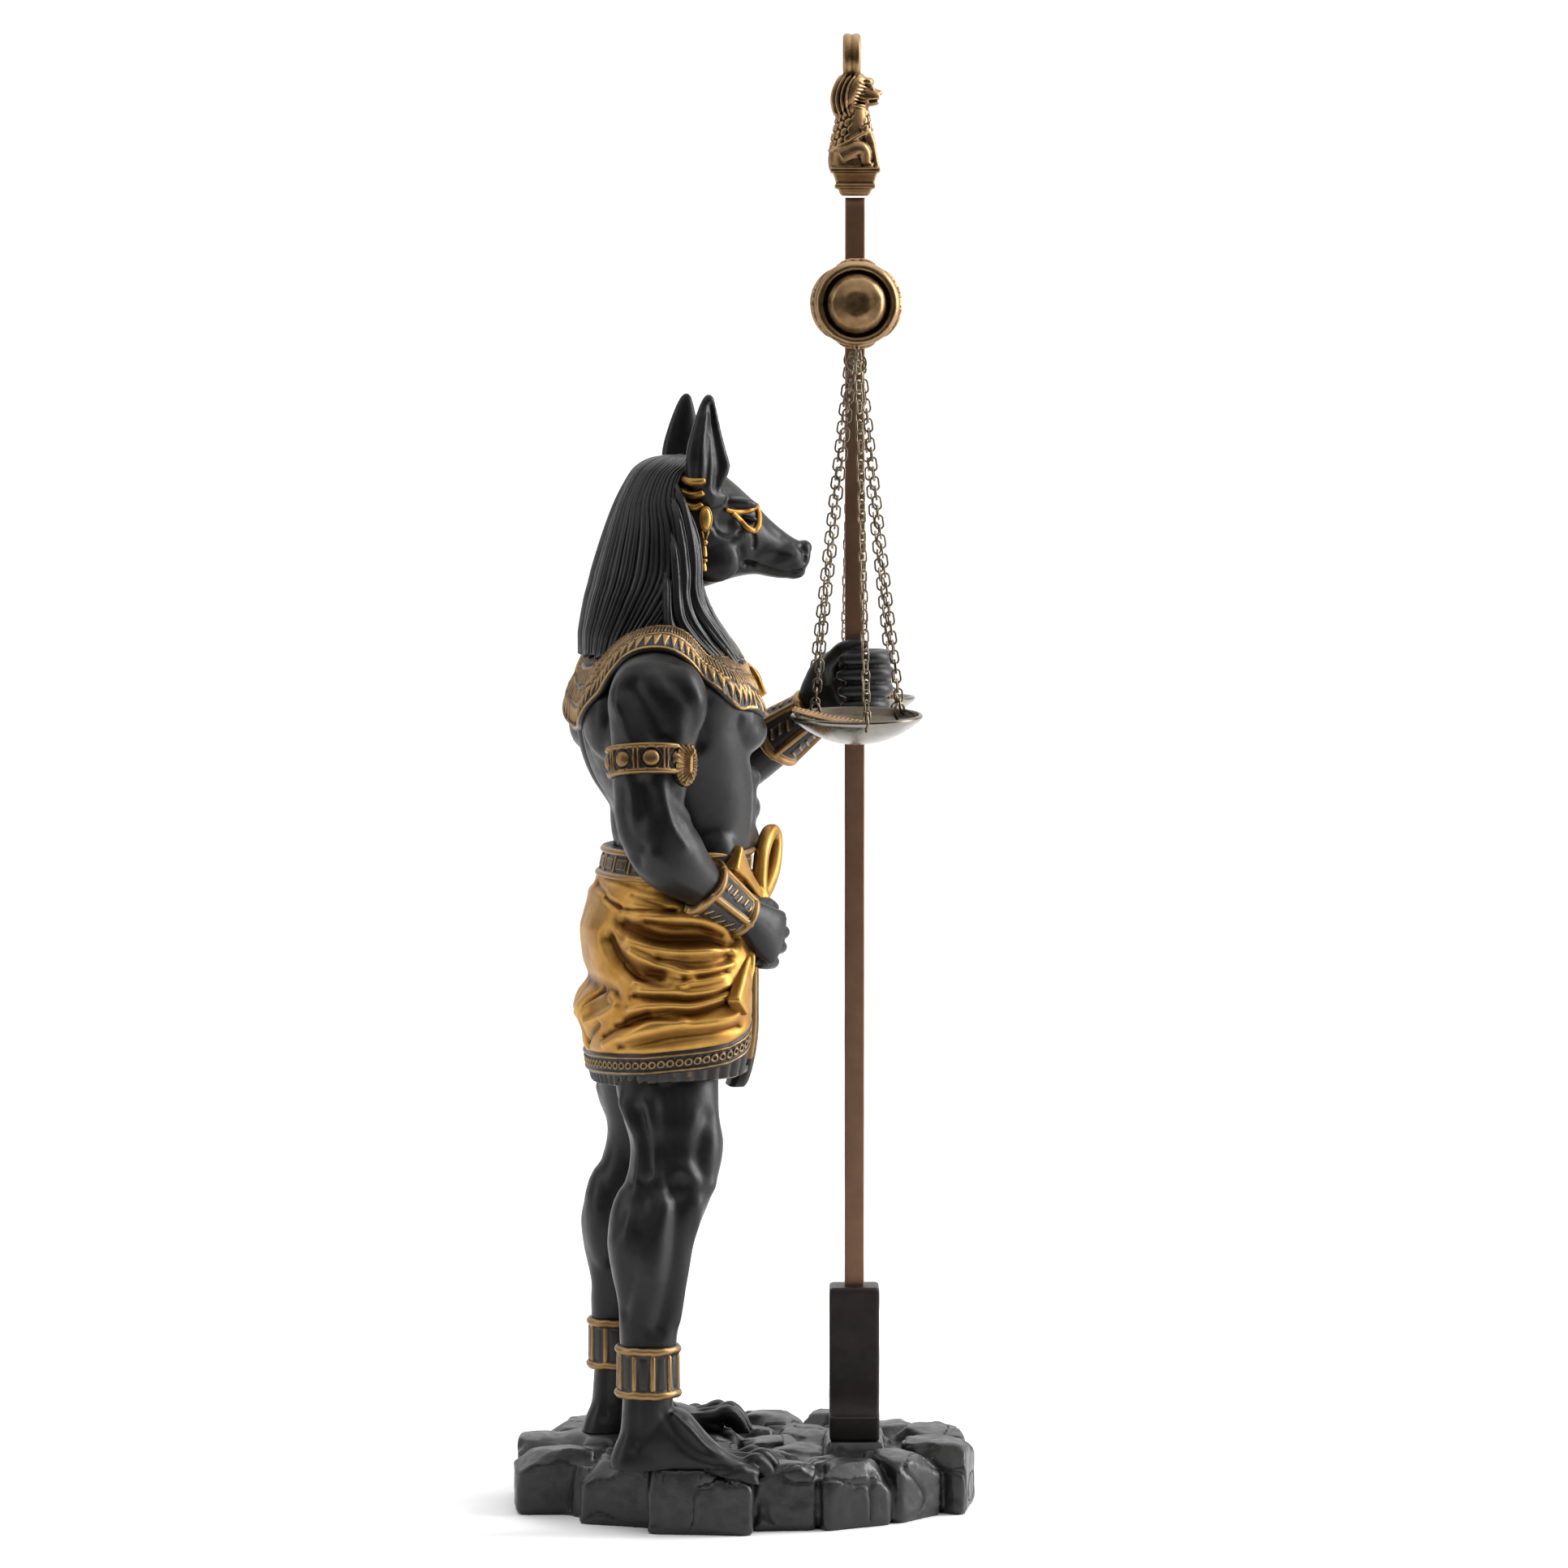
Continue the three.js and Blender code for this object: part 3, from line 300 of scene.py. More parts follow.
def remeshed(ob, voxel):
    """The object's skin after its modifiers, as even quads. It deletes the object."""
    mod = ob.modifiers.new("remesh", "REMESH")
    mod.mode = "VOXEL"
    mod.voxel_size = voxel
    got = evaluated(ob).to_mesh()
    v = np.zeros(len(got.vertices) * 3, np.float32)
    got.vertices.foreach_get("co", v)
    loops = np.zeros(len(got.loops), np.int32)
    got.loops.foreach_get("vertex_index", loops)
    sizes = np.zeros(len(got.polygons), np.int32)
    got.polygons.foreach_get("loop_total", sizes)
    starts = np.concatenate([[0], np.cumsum(sizes)[:-1]])
    faces = []
    for k in (3, 4):
        at = starts[sizes == k]
        if len(at):
            faces.append(np.stack([loops[at + i] for i in range(k)], -1))
    bpy.data.objects.remove(ob)
    return v.reshape(-1, 3).astype(float), faces


def fused(parts, voxel, rounds=2):
    """Overlapping closed parts joined to one skin of even quads, and smoothed."""
    return relaxed(remeshed(linked("work", bpy_mesh("work", join(parts))), voxel), rounds)


def edges_of(part):
    sides = [np.stack([f, np.roll(f, -1, 1)], -1).reshape(-1, 2) for f in part[1]]
    return np.unique(np.sort(np.concatenate(sides), 1), axis=0)


def mean_of(values, edges, count):
    """The mean of each point's neighbours."""
    a, b = edges.T
    out = np.zeros_like(values)
    for k in range(values.shape[1]):
        out[:, k] = np.bincount(a, values[b, k], count) + np.bincount(b, values[a, k], count)
    degree = np.bincount(edges.reshape(-1), minlength=count)
    return out / np.maximum(degree, 1)[:, None]


def relaxed(part, rounds):
    """The part with each point moved towards its neighbours, so many times."""
    v, e = part[0], edges_of(part)
    for _ in range(rounds):
        v = v + 0.55 * (mean_of(v, e, len(v)) - v)
    return v, part[1]


def normals(part):
    v, faces = part
    n = np.zeros_like(v)
    for f in faces:
        d1, d2 = v[f[:, 2]] - v[f[:, 0]], v[f[:, -1]] - v[f[:, 1]]
        c = np.cross(d1, d2)
        for i in range(f.shape[1]):
            for k in range(3):
                n[:, k] += np.bincount(f[:, i], c[:, k], len(v))
    return unit(n)


def hollow(part, rounds=3):
    """How far each point lies in a groove (under 0) or on a ridge (over 0)."""
    e = edges_of(part)
    n = normals(part)
    d = part[0] - mean_of(part[0], e, len(part[0]))
    c = np.sum(d * n, -1, keepdims=True)
    for _ in range(rounds):
        c = 0.5 * c + 0.5 * mean_of(c, e, len(c))
    return c[:, 0]


def gap_to(points, line):
    """Distance from each point to a line of straight stretches."""
    best = np.full(len(points), 1e9)
    for a, b in zip(line[:-1], line[1:]):
        d = b - a
        t = np.clip((points - a) @ d / max(d @ d, 1e-9), 0, 1)
        best = np.minimum(best, np.linalg.norm(points - a - t[:, None] * d, axis=1))
    return best


def push(part, amount, along=None):
    """The part with its points moved outwards, or along given directions."""
    n = normals(part) if along is None else along
    return part[0] + n * amount[:, None], part[1]


LATTICE = np.array([374761393, 668265263, 2147483647])


HASH_MASK = 0xFFFFFFFF


HASH_FACTOR = 1274126177


def noise(p, scale, seed=0, octaves=1):
    """Smooth noise of a point, from -1 to 1, made of value noise on a lattice."""
    total, size = 0, 1.0
    for octave in range(octaves):
        q = np.asarray(p, float) / scale * 2**octave + 17.3 * seed + 31.7 * octave
        cell = np.floor(q).astype(np.int64)
        f = q - cell
        f = f * f * (3 - 2 * f)
        level = 0
        for corner in np.ndindex(2, 2, 2):
            h = (cell + corner) @ LATTICE & HASH_MASK
            h = ((h ^ (h >> 13)) * HASH_FACTOR) & HASH_MASK
            value = ((h ^ (h >> 16)) & 0xFFFF) / 32767.5 - 1
            level = level + value * np.prod(np.where(corner, f, 1 - f), axis=1)
        total = total + level * size
        size *= 0.5
    return total


def make(name, part, look, node, relief=None, shading_and_wear=None, local=False, goal=None):
    """The finished piece: in metres, riding on the body, standing for its CAD node.
    A local part is in the figure's own frame. goal is about how many triangles it keeps."""
    v = fig(part[0]) if local else part[0]
    me = bpy_mesh(name, (v, part[1]))
    # The second attribute carries painted shade for the hollows and painted highlight for the ridges,
    # and on some pieces a random tone of wear.
    for key, values in (("relief", relief), ("shading_and_wear", shading_and_wear)):
        layer = me.attributes.new(key, "FLOAT", "POINT")
        values = np.zeros(len(v)) if values is None else values
        layer.data.foreach_set("value", np.asarray(values, np.float32))
    count = sum(len(f) * (f.shape[1] - 2) for f in part[1])
    if goal and count > goal:
        work = linked("work", me)
        work.modifiers.new("thin", "DECIMATE").ratio = goal / count
        thin = bpy.data.meshes.new_from_object(evaluated(work))
        bpy.data.objects.remove(work)
        bpy.data.meshes.remove(me)
        me = thin
        me.name = name
    me.transform(Matrix.Scale(0.001, 4))
    me.polygons.foreach_set("use_smooth", np.full(len(me.polygons), True))
    me.materials.clear()
    me.materials.append(LOOKS[look])
    me.validate()
    ob = linked(name, me)
    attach(ob, "root")
    if node:
        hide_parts(node)


# Materials. Each look has one, and the form drives it through "relief" and through an attribute of
# painted shade in the hollows and painted highlight on the ridges, with some wear.
def nodes_of(name):
    m = bpy.data.materials.new(name)
    m.use_nodes = True
    t = m.node_tree
    return m, t, t.nodes["Principled BSDF"]


def add(t, kind, **values):
    n = t.nodes.new(kind)
    for key, value in values.items():
        if key in n.inputs.keys():
            n.inputs[key].default_value = value
        else:
            setattr(n, key, value)
    return n


def ramp(t, source, stops):
    n = t.nodes.new("ShaderNodeValToRGB")
    e = n.color_ramp.elements
    while len(e) > 1:
        e.remove(e[0])
    e[0].position, e[0].color = stops[0][0], (*stops[0][1], 1)
    for place, colour in stops[1:]:
        e.new(place).color = (*colour, 1)
    t.links.new(source, n.inputs["Fac"])
    return n.outputs["Color"]


def place_noise(t, scale, detail=4.0, rough=0.55):
    co = add(t, "ShaderNodeTexCoord")
    n = add(t, "ShaderNodeTexNoise", Scale=scale, Detail=detail, Roughness=rough)
    t.links.new(co.outputs["Object"], n.inputs["Vector"])
    return n.outputs["Fac"]


def mixed(t, factor, a, b):
    n = t.nodes.new("ShaderNodeMix")
    n.data_type = "RGBA"
    for socket, value in ((n.inputs[0], factor), (n.inputs[6], a), (n.inputs[7], b)):
        if isinstance(value, bpy.types.NodeSocket):
            t.links.new(value, socket)
        elif isinstance(value, (tuple, list)):
            socket.default_value = (*value, 1)
        else:
            socket.default_value = value
    return n.outputs[2]


def scaled(t, source, low, high, to_low=0.0, to_high=1.0):
    n = add(t, "ShaderNodeMapRange")
    t.links.new(source, n.inputs["Value"])
    limits = {"From Min": low, "From Max": high, "To Min": to_low, "To Max": to_high}
    for key, value in limits.items():
        n.inputs[key].default_value = value
    return n.outputs["Result"]


def bump(t, bsdf, height, strength, distance):
    n = add(t, "ShaderNodeBump", Strength=strength, Distance=distance)
    t.links.new(height, n.inputs["Height"])
    t.links.new(n.outputs["Normal"], bsdf.inputs["Normal"])


def resin(name, dark, light, rough=(0.34, 0.46), grain=0.0001, gloss=0.3):
    """Satin painted resin: a soft cloudy tone, a fine grain, painted shade in the hollows and a painted
    highlight on the ridges.
    """
    m, t, b = nodes_of(name)
    shading_and_wear = add(t, "ShaderNodeAttribute", attribute_name="shading_and_wear").outputs["Fac"]
    base = ramp(t, place_noise(t, 90, 5), [(0.35, dark), (0.7, light)])
    # Ridges are painted lighter: a painted highlight.
    base = mixed(t, scaled(t, shading_and_wear, 0.05, 1.0, 0.0, 0.6), base, tuple(c * 2.4 for c in light))
    # Hollows are painted near black and made rougher: painted shade.
    base = mixed(t, scaled(t, shading_and_wear, -0.7, 0.0, 0.85, 0.0), base, tuple(c * 0.25 for c in dark))
    t.links.new(base, b.inputs["Base Color"])
    low = scaled(t, place_noise(t, 420, 3), 0.3, 0.7, *rough)
    deep = add(t, "ShaderNodeMath", operation="ADD", use_clamp=True)
    t.links.new(low, deep.inputs[0])
    t.links.new(scaled(t, shading_and_wear, -0.7, -0.05, 0.4, 0.0), deep.inputs[1])
    t.links.new(deep.outputs[0], b.inputs["Roughness"])
    b.inputs["Specular IOR Level"].default_value = gloss
    bump(t, b, place_noise(t, 1500, 3), 0.2, grain)
    return m


def form_shading(part, gain, rounds=1, most=1.0):
    """Painted shading from the form: under 0 in the hollows, for painted shade, and over 0 on the
    ridges, for painted highlight.
    """
    return np.clip(hollow(part, rounds) * gain, -1, most)


def cast(name, part, look, gain, rounds=1, most=1.0, relief=None, goal=None):
    """A piece of the figure whose painted shade and highlight follow its form."""
    make(name, part, look, "figure", relief, form_shading(part, gain, rounds, most), True, goal)


def metal(name, dark, mid, bright, rough=(0.3, 0.44), metallic=1.0, relief=False, grain=0.00008):
    """Painted or cast metal, with painted shade in the hollows and a painted highlight on the ridges.
    With relief, only what is raised is metal and the ground between is dark."""
    m, t, b = nodes_of(name)
    shading_and_wear = add(t, "ShaderNodeAttribute", attribute_name="shading_and_wear").outputs["Fac"]
    body = ramp(t, place_noise(t, 160, 5), [(0.3, mid), (0.72, bright)])
    # Hollows are painted towards the dark colour: painted shade.
    body = mixed(t, scaled(t, shading_and_wear, -0.8, -0.02, 1.0, 0.0), body, dark)
    # Ridges are painted towards a lighter colour: a painted highlight.
    ridge_highlight = tuple(min(1, c * 1.25) for c in bright)
    body = mixed(t, scaled(t, shading_and_wear, 0.1, 0.9, 0.0, 0.75), body, ridge_highlight)
    fine = place_noise(t, 700, 4, 0.65)
    if relief:
        height = add(t, "ShaderNodeAttribute", attribute_name="relief").outputs["Fac"]
        edge = add(t, "ShaderNodeMath", operation="ADD")
        t.links.new(height, edge.inputs[0])
        t.links.new(scaled(t, fine, 0.3, 0.7, -0.13, 0.13), edge.inputs[1])
        shown = scaled(t, edge.outputs[0], 0.3, 0.62)
        body = mixed(t, shown, tuple(0.6 * c for c in dark), body)
        t.links.new(scaled(t, shown, 0, 1, 0.1, metallic), b.inputs["Metallic"])
    else:
        b.inputs["Metallic"].default_value = metallic
    t.links.new(body, b.inputs["Base Color"])
    t.links.new(scaled(t, fine, 0.3, 0.7, *rough), b.inputs["Roughness"])
    bump(t, b, fine, 0.3, grain)
    return m


LOOKS = {
    "resin": resin("charcoal_resin", (0.0036, 0.0036, 0.0037), (0.0072, 0.0071, 0.0071)),
    "hair": resin("charcoal_hair", (0.0048, 0.0048, 0.005), (0.0095, 0.0094, 0.0095),
                  (0.3, 0.42), gloss=0.42),
    "stone": resin("rock_resin", (0.0035, 0.0035, 0.0036), (0.0085, 0.0084, 0.0084),
                   (0.3, 0.48), 0.0002, 0.55),
    "gold": metal("bright_gold", (0.075, 0.027, 0.005), (0.32, 0.152, 0.03),
                  (0.46, 0.26, 0.07), (0.4, 0.52)),
    "antique": metal("antique_gold", (0.016, 0.0125, 0.01), (0.2, 0.115, 0.046),
                     (0.32, 0.202, 0.088), (0.36, 0.52), relief=True),
    "bronze": metal("antique_bronze", (0.016, 0.01, 0.006), (0.15, 0.082, 0.038),
                    (0.36, 0.23, 0.115), (0.32, 0.48)),
    "copper": metal("brown_copper", (0.07, 0.04, 0.025), (0.185, 0.1, 0.06),
                    (0.23, 0.13, 0.08), (0.42, 0.55), 0.7),
    "dark": metal("dark_bronze", (0.003, 0.0027, 0.0025), (0.0062, 0.0052, 0.0046),
                  (0.017, 0.012, 0.009), (0.4, 0.58), 0.5),
    "dish": metal("polished_dish", (0.06, 0.043, 0.026), (0.19, 0.176, 0.152),
                  (0.28, 0.262, 0.232), (0.2, 0.32)),
    "chain": metal("chain_brass", (0.035, 0.026, 0.018), (0.15, 0.12, 0.082),
                   (0.3, 0.245, 0.17), (0.28, 0.42)),
}


# The base: cobbles whose rim stones follow the outline of the casting.
BASE_HALF_LENGTH = 47.3
BASE_HALF_DEPTH = 40
STONE_TOP = 13.4
JOINT_LEVEL = 10.6
# Rim stones: turn and reach of the outermost point, the way the face looks, and where a stone
# is cut square, the distance of that face on the near side. All lengths from the middle.
RIM_STONES = [
    (174, 46.8, 180, None), (197, 48.6, 185, 15.4), (227, 38.4, 250, None),
    (256, 39.6, 264, None), (285, 35, 276, None), (310, 38.6, 300, None),
    (334, 41.6, 322, None), (354, 46.6, 352, None), (14, 46, 10, None), (35, 43.6, 32, None),
    (57, 41, 54, None), (80, 39, 82, None), (103, 38.6, 98, None), (127, 39.6, 124, None),
    (152, 44.4, 150, None),
]
# Rings of stones inside the rim: how many, their distance, and the turn of the first.
INNER_STONES = [(11, 25, 0.3), (5, 11, 0.9)]
JOINT_WIDTH = 0.5
# How many points a stone has round it.
STONE_COUNT = 108
# Height of the level place under the foot of the balance.
FOOT_SEAT = 13.95


def hashed(k):
    """A number from 0 to 1 that looks random but is the same each time."""
    s = math.sin(k * 127.1 + 11.7) * 43758.5453
    return s - math.floor(s)


def stone_seeds():
    """Each stone's middle and top, and for a rim stone the straight face that it shows."""
    seeds = []
    for i, (turn, reach, face, near) in enumerate(RIM_STONES):
        middle = reach - 7.5
        seeds.append({
            "x": middle * math.cos(rad(turn)), "y": middle * math.sin(rad(turn)),
            "face": rad(face), "reach": reach * math.cos(rad(turn - face)), "near": near,
            "top": STONE_TOP - 0.6 + 1.4 * hashed(i),
        })
    for count, distance, start in INNER_STONES:
        for i in range(count):
            turn = start + 2 * pi * (i + 0.35 * hashed(i + count)) / count
            away = distance + 3 * (hashed(3 * i + count) - 0.5)
            seeds.append({
                "x": away * math.cos(turn),
                "y": away * math.sin(turn) * BASE_HALF_DEPTH / BASE_HALF_LENGTH,
                "face": None, "reach": None, "near": None,
                "top": STONE_TOP - 1 + 1.2 * hashed(5 * i + count),
            })
    return seeds


def clip(polygon, nx, ny, limit):
    """The polygon without what lies further than limit in the direction nx, ny."""
    out = []
    for p, q in zip(polygon, polygon[1:] + polygon[:1]):
        a = p[0] * nx + p[1] * ny - limit
        b = q[0] * nx + q[1] * ny - limit
        if a <= 0:
            out.append(p)
        if a * b < 0:
            t = a / (a - b)
            out.append((p[0] + (q[0] - p[0]) * t, p[1] + (q[1] - p[1]) * t))
    return out


def stone_cell(seeds, i):
    """The ground that a stone covers: what lies nearer to its middle than to any other."""
    me = seeds[i]
    cell = [
        ((BASE_HALF_LENGTH + 2.4) * math.cos(2 * pi * k / 40),
         (BASE_HALF_DEPTH + 1.4) * math.sin(2 * pi * k / 40))
        for k in range(40)
    ]
    if me["face"] is not None:
        cell = clip(cell, math.cos(me["face"]), math.sin(me["face"]), me["reach"])
    if me["near"] is not None:
        cell = clip(cell, 0, -1, me["near"])
    for j, other in enumerate(seeds):
        if j != i:
            nx, ny = other["x"] - me["x"], other["y"] - me["y"]
            apart = math.hypot(nx, ny)
            middle = ((other["x"] + me["x"]) * nx + (other["y"] + me["y"]) * ny) / 2 / apart
            cell = clip(cell, nx / apart, ny / apart, middle - JOINT_WIDTH / 2)
    return cell


def aimed(turn, lift):
    """The direction at a turn round Z and an angle above the ground."""
    return np.array([math.cos(turn) * math.cos(lift), math.sin(turn) * math.cos(lift),
                     math.sin(lift)])


def reach_of(cell, t):
    """How far a cell reaches from its middle in the directions t, with its corners softened."""
    centre = cell.mean(0)
    away = np.full(len(t), 1e9)
    for p, q in zip(cell, np.roll(cell, -1, 0)):
        e = q - p
        outward = np.array([e[1], -e[0]]) / max(np.linalg.norm(e), 1e-9)
        d = outward @ (p - centre)
        c = np.cos(t) * outward[0] + np.sin(t) * outward[1]
        away = np.where(c > 1e-6, np.minimum(away, d / np.maximum(c, 1e-6)), away)
    for _ in range(5):
        away = 0.5 * away + 0.25 * (np.roll(away, 1) + np.roll(away, -1))
    return away


def stone(seeds, i):
    """A block with flat broken faces, from many cuts by tilted planes and a few hollow chips."""
    cell = np.array(stone_cell(seeds, i))
    cx, cy = cell.mean(0)
    t = turns(STONE_COUNT)
    away = reach_of(cell, t)
    top = seeds[i]["top"]
    rows = []
    for z in np.linspace(0, top, 22):
        inset = 0.8 * math.exp(-z / 0.5) + 0.5 * max(0, (z - top + 2.4) / 2.4) ** 2
        rows.append((np.maximum(away - inset, 0.4), z))
    for k in np.linspace(0.95, 0.05, 15):
        rows.append((np.maximum(away - 0.5, 0.4) * k, top))
    pts = np.stack([
        np.stack([cx + r * np.cos(t), cy + r * np.sin(t), np.full(STONE_COUNT, z)], -1)
        for r, z in rows
    ])
    flat = pts.reshape(-1, 3)
    middle = np.array([cx, cy, top * 0.5])
    # The cuts take turns: near upright, slanting, and near level on the top.
    for k in range(30):
        lowest, spread, deepest = ((-4, 16, 0.5), (28, 34, 1.5), (76, 9, 0.5))[k % 3]
        lift = rad(lowest + spread * hashed(i * 5 + k))
        depth = deepest * (0.3 + hashed(i * 3 + k))
        n = aimed(2 * pi * hashed(i * 31 + k + 3), lift)
        far = (flat - middle) @ n
        over = np.maximum(far - far.max() + depth, 0) * smoothstep(0.4, 2, flat[:, 2])
        flat = flat - n * over[:, None]
    for k in range(5):
        a = 2 * pi * hashed(i * 13 + k + 50)
        size = 2.2 + 2.6 * hashed(i + 7 * k)
        n = aimed(a, rad(20 + 40 * hashed(i * 2 + k)))
        edge = away[int(a / (2 * pi) * STONE_COUNT) % STONE_COUNT]
        rim = np.array([cx + edge * math.cos(a), cy + edge * math.sin(a), top - 1.2])
        centre = rim + n * (size - 0.9 - 0.5 * hashed(i + k))
        off = flat - centre
        d = np.linalg.norm(off, axis=1)
        chipped = centre + off * (size / np.maximum(d, 0.1))[:, None]
        flat = np.where((d < size)[:, None], chipped, flat)
    return grid(flat.reshape(pts.shape), wrap_v=True, cap=True)


def build_base():
    seeds = stone_seeds()
    bed = column([(0, 0, 3, BASE_HALF_LENGTH - 5, BASE_HALF_DEPTH - 5.5),
                  (JOINT_LEVEL, 0, 3, BASE_HALF_LENGTH - 5.5, BASE_HALF_DEPTH - 6)], 60, 2)
    part = fused([bed] + [stone(seeds, i) for i in range(len(seeds))], 0.48 * FINE, 1)
    # Cracks in the faces, and a fine unevenness.
    v = part[0]
    rough = 0.16 * noise(v, 4.5, 1, 2) + 0.07 * noise(v, 1.5, 2, 2)
    cracks = 0.4 * bell(np.abs(noise(v, 8.5, 5)), 0.035)
    part = push(part, smoothstep(0.3, 2, v[:, 2]) * (rough - cracks))
    # Level seats under both soles and under the foot of the balance.
    v, n = part[0], normals(part)
    x, y = to_figure(v[:, 0], v[:, 1])
    upper = smoothstep(8.5, 10.5, v[:, 2]) * smoothstep(0.0, 0.4, n[:, 2])
    for s in (-1, 1):
        off = np.hypot((x - 1.5) / 16.5, (y - s * (LEG_SPREAD + 0.8)) / 8.6)
        seat = SOLE[s] + 0.25 - (2.5 if s < 0 else 0.5) * smoothstep(3, 16, x)
        v[:, 2] += smoothstep(1.3, 0.9, off) * upper * (seat - v[:, 2]) * 0.9
    off = np.maximum(np.abs(v[:, 0] - ROD_X) / 5.6, np.abs(v[:, 1]) / 9.2)
    v[:, 2] += smoothstep(1.12, 1.0, off) * upper * (FOOT_SEAT - v[:, 2])
    v[:, 2] = np.where(v[:, 2] < 0.25, 0, v[:, 2])
    # The stones get painted shade in their hollows and a painted highlight on their edges.
    make("rock_base_cobbles", part, "stone", "rock_base", shading_and_wear=form_shading(part, 9), goal=90000)


# The balance.
def square_ring(half, corner, steps):
    """A square outline with rounded corners."""
    out = []
    for k, (sx, sy) in enumerate(((1, 1), (-1, 1), (-1, -1), (1, -1))):
        for s in range(steps):
            a = rad(90 * k + 90 * s / (steps - 1))
            out.append((sx * (half - corner) + corner * math.cos(a),
                        sy * (half - corner) + corner * math.sin(a)))
    return np.array(out)


def build_foot():
    """A block that spreads in a curve to its toe, with the round socket of the rod in its top."""
    half, toe, toe_top, low, high = 5.0, 8.6, 18.9, 14.0, 45.0
    right = [(toe, low), (toe, toe_top)]
    for i in range(1, 13):
        t = rad(90 * i / 12)
        right.append((half + (toe - half) * (1 - math.sin(t)), toe_top + 8 * (1 - math.cos(t))))
    right += [(half, high - 0.5), (half - 0.5, high)]
    outline = np.array(right + [(-y, z) for y, z in reversed(right)])
    off = outline - outline.mean(0)
    away = np.maximum(np.linalg.norm(off, axis=1), 1)[:, None]
    rows = []
    for x, inset in ((-5.1, 0.55), (-4.95, 0.2), (-4.6, 0), (4.6, 0), (4.95, 0.2), (5.1, 0.55)):
        q = outline.mean(0) + off * (1 - inset / away)
        rows.append(np.stack([np.full(len(q), ROD_X + x), q[:, 0], q[:, 1]], -1))
    ob = linked("foot", bpy_mesh("foot", grid(np.stack(rows), wrap_v=True, cap=True)))
    socket = lathe(rounded([(0, 22), (3, 22), (3, 44.6), (3.6, 46), (0, 46)], 0.3), 48)
    cut = linked("cut", bpy_mesh("cut", moved(socket, (ROD_X, 0, 0))))
    mod = ob.modifiers.new("socket", "BOOLEAN")
    mod.object, mod.operation, mod.solver = cut, "DIFFERENCE", "EXACT"
    part = relaxed(remeshed(ob, 0.3), 2)
    bpy.data.objects.remove(cut)
    part = push(part, 0.04 * noise(part[0], 3, 3, 2))
    # Painted shade in its hollows and a painted highlight on its edges.
    make("scale_foot_block", part, "dark", "scale_foot", shading_and_wear=form_shading(part, 34, 2),
         goal=18000)


def build_rod():
    corner = square_ring(2.0, 0.35, 5)
    levels = np.linspace(22.3, 266.7, 120)
    pts = np.stack([
        np.stack([ROD_X + corner[:, 0], corner[:, 1], np.full(len(corner), z)], -1)
        for z in levels
    ])
    part = grid(pts, wrap_v=True, cap=True)
    part = push(part, 0.03 * noise(part[0], 9, 4, 2))
    # The rounded corners are painted lighter: a painted highlight along the edges.
    shading_and_wear = np.tile([0, 0.25, 0.5, 0.25, 0], 4 * len(levels))
    make("scale_rod_bar", part, "copper", "scale_rod",
         shading_and_wear=np.concatenate([shading_and_wear, [0, 0]]))


# Radius and distance from the middle of the beam, along one arm and its boss.
ARM_PROFILE = [
    (0, 0), (3.1, 0), (3.1, 24), (4.2, 24.4), (4.6, 25.6), (4.2, 26.8), (3.5, 27.6), (4.4, 32),
    (6.8, 35.2), (7.9, 36.8), (8.45, 38.0), (8.4, 39.6), (7.7, 40.6), (6.7, 40.5), (6.3, 39.3),
    (6.1, 39.2), (5.95, 40.1), (4.8, 41.6), (2.6, 42.7), (0, 43),
]


HUB_PROFILE = [(0, -5.2), (5.5, -5.2), (6.2, -4.4), (6.2, 4.4), (5.5, 5.2), (0, 5.2)]


PLATE_PROFILE = [(3.0, 33.5), (6.0, 35.8), (8.2, 37.4), (9.0, 37.9), (8.9, 36.5), (6.0, 34.4),
                 (3.0, 32.4)]


GROOVE_RADIUS = 6.2


def boss_plate(side, middle, half):
    """One of the curved plates round a boss, with a notch at each of its ends."""
    u = np.linspace(rad(-half), rad(half), 19)
    rows = []
    for r, y in PLATE_PROFILE:
        r = r - 0.5 * (np.abs(u) / rad(half)) ** 6
        a = u + rad(middle)
        rows.append(np.stack([ROD_X + r * np.cos(a), np.full(19, side * y),
                              BEAM_Z + r * np.sin(a)], -1))
    loop = np.stack(rows)
    parts = [grid(loop, wrap_u=True)]
    for end in (loop[:, 0], loop[:, -1]):
        parts.append(grid(np.stack([end, np.broadcast_to(end.mean(0), end.shape)]), wrap_v=True))
    return parts


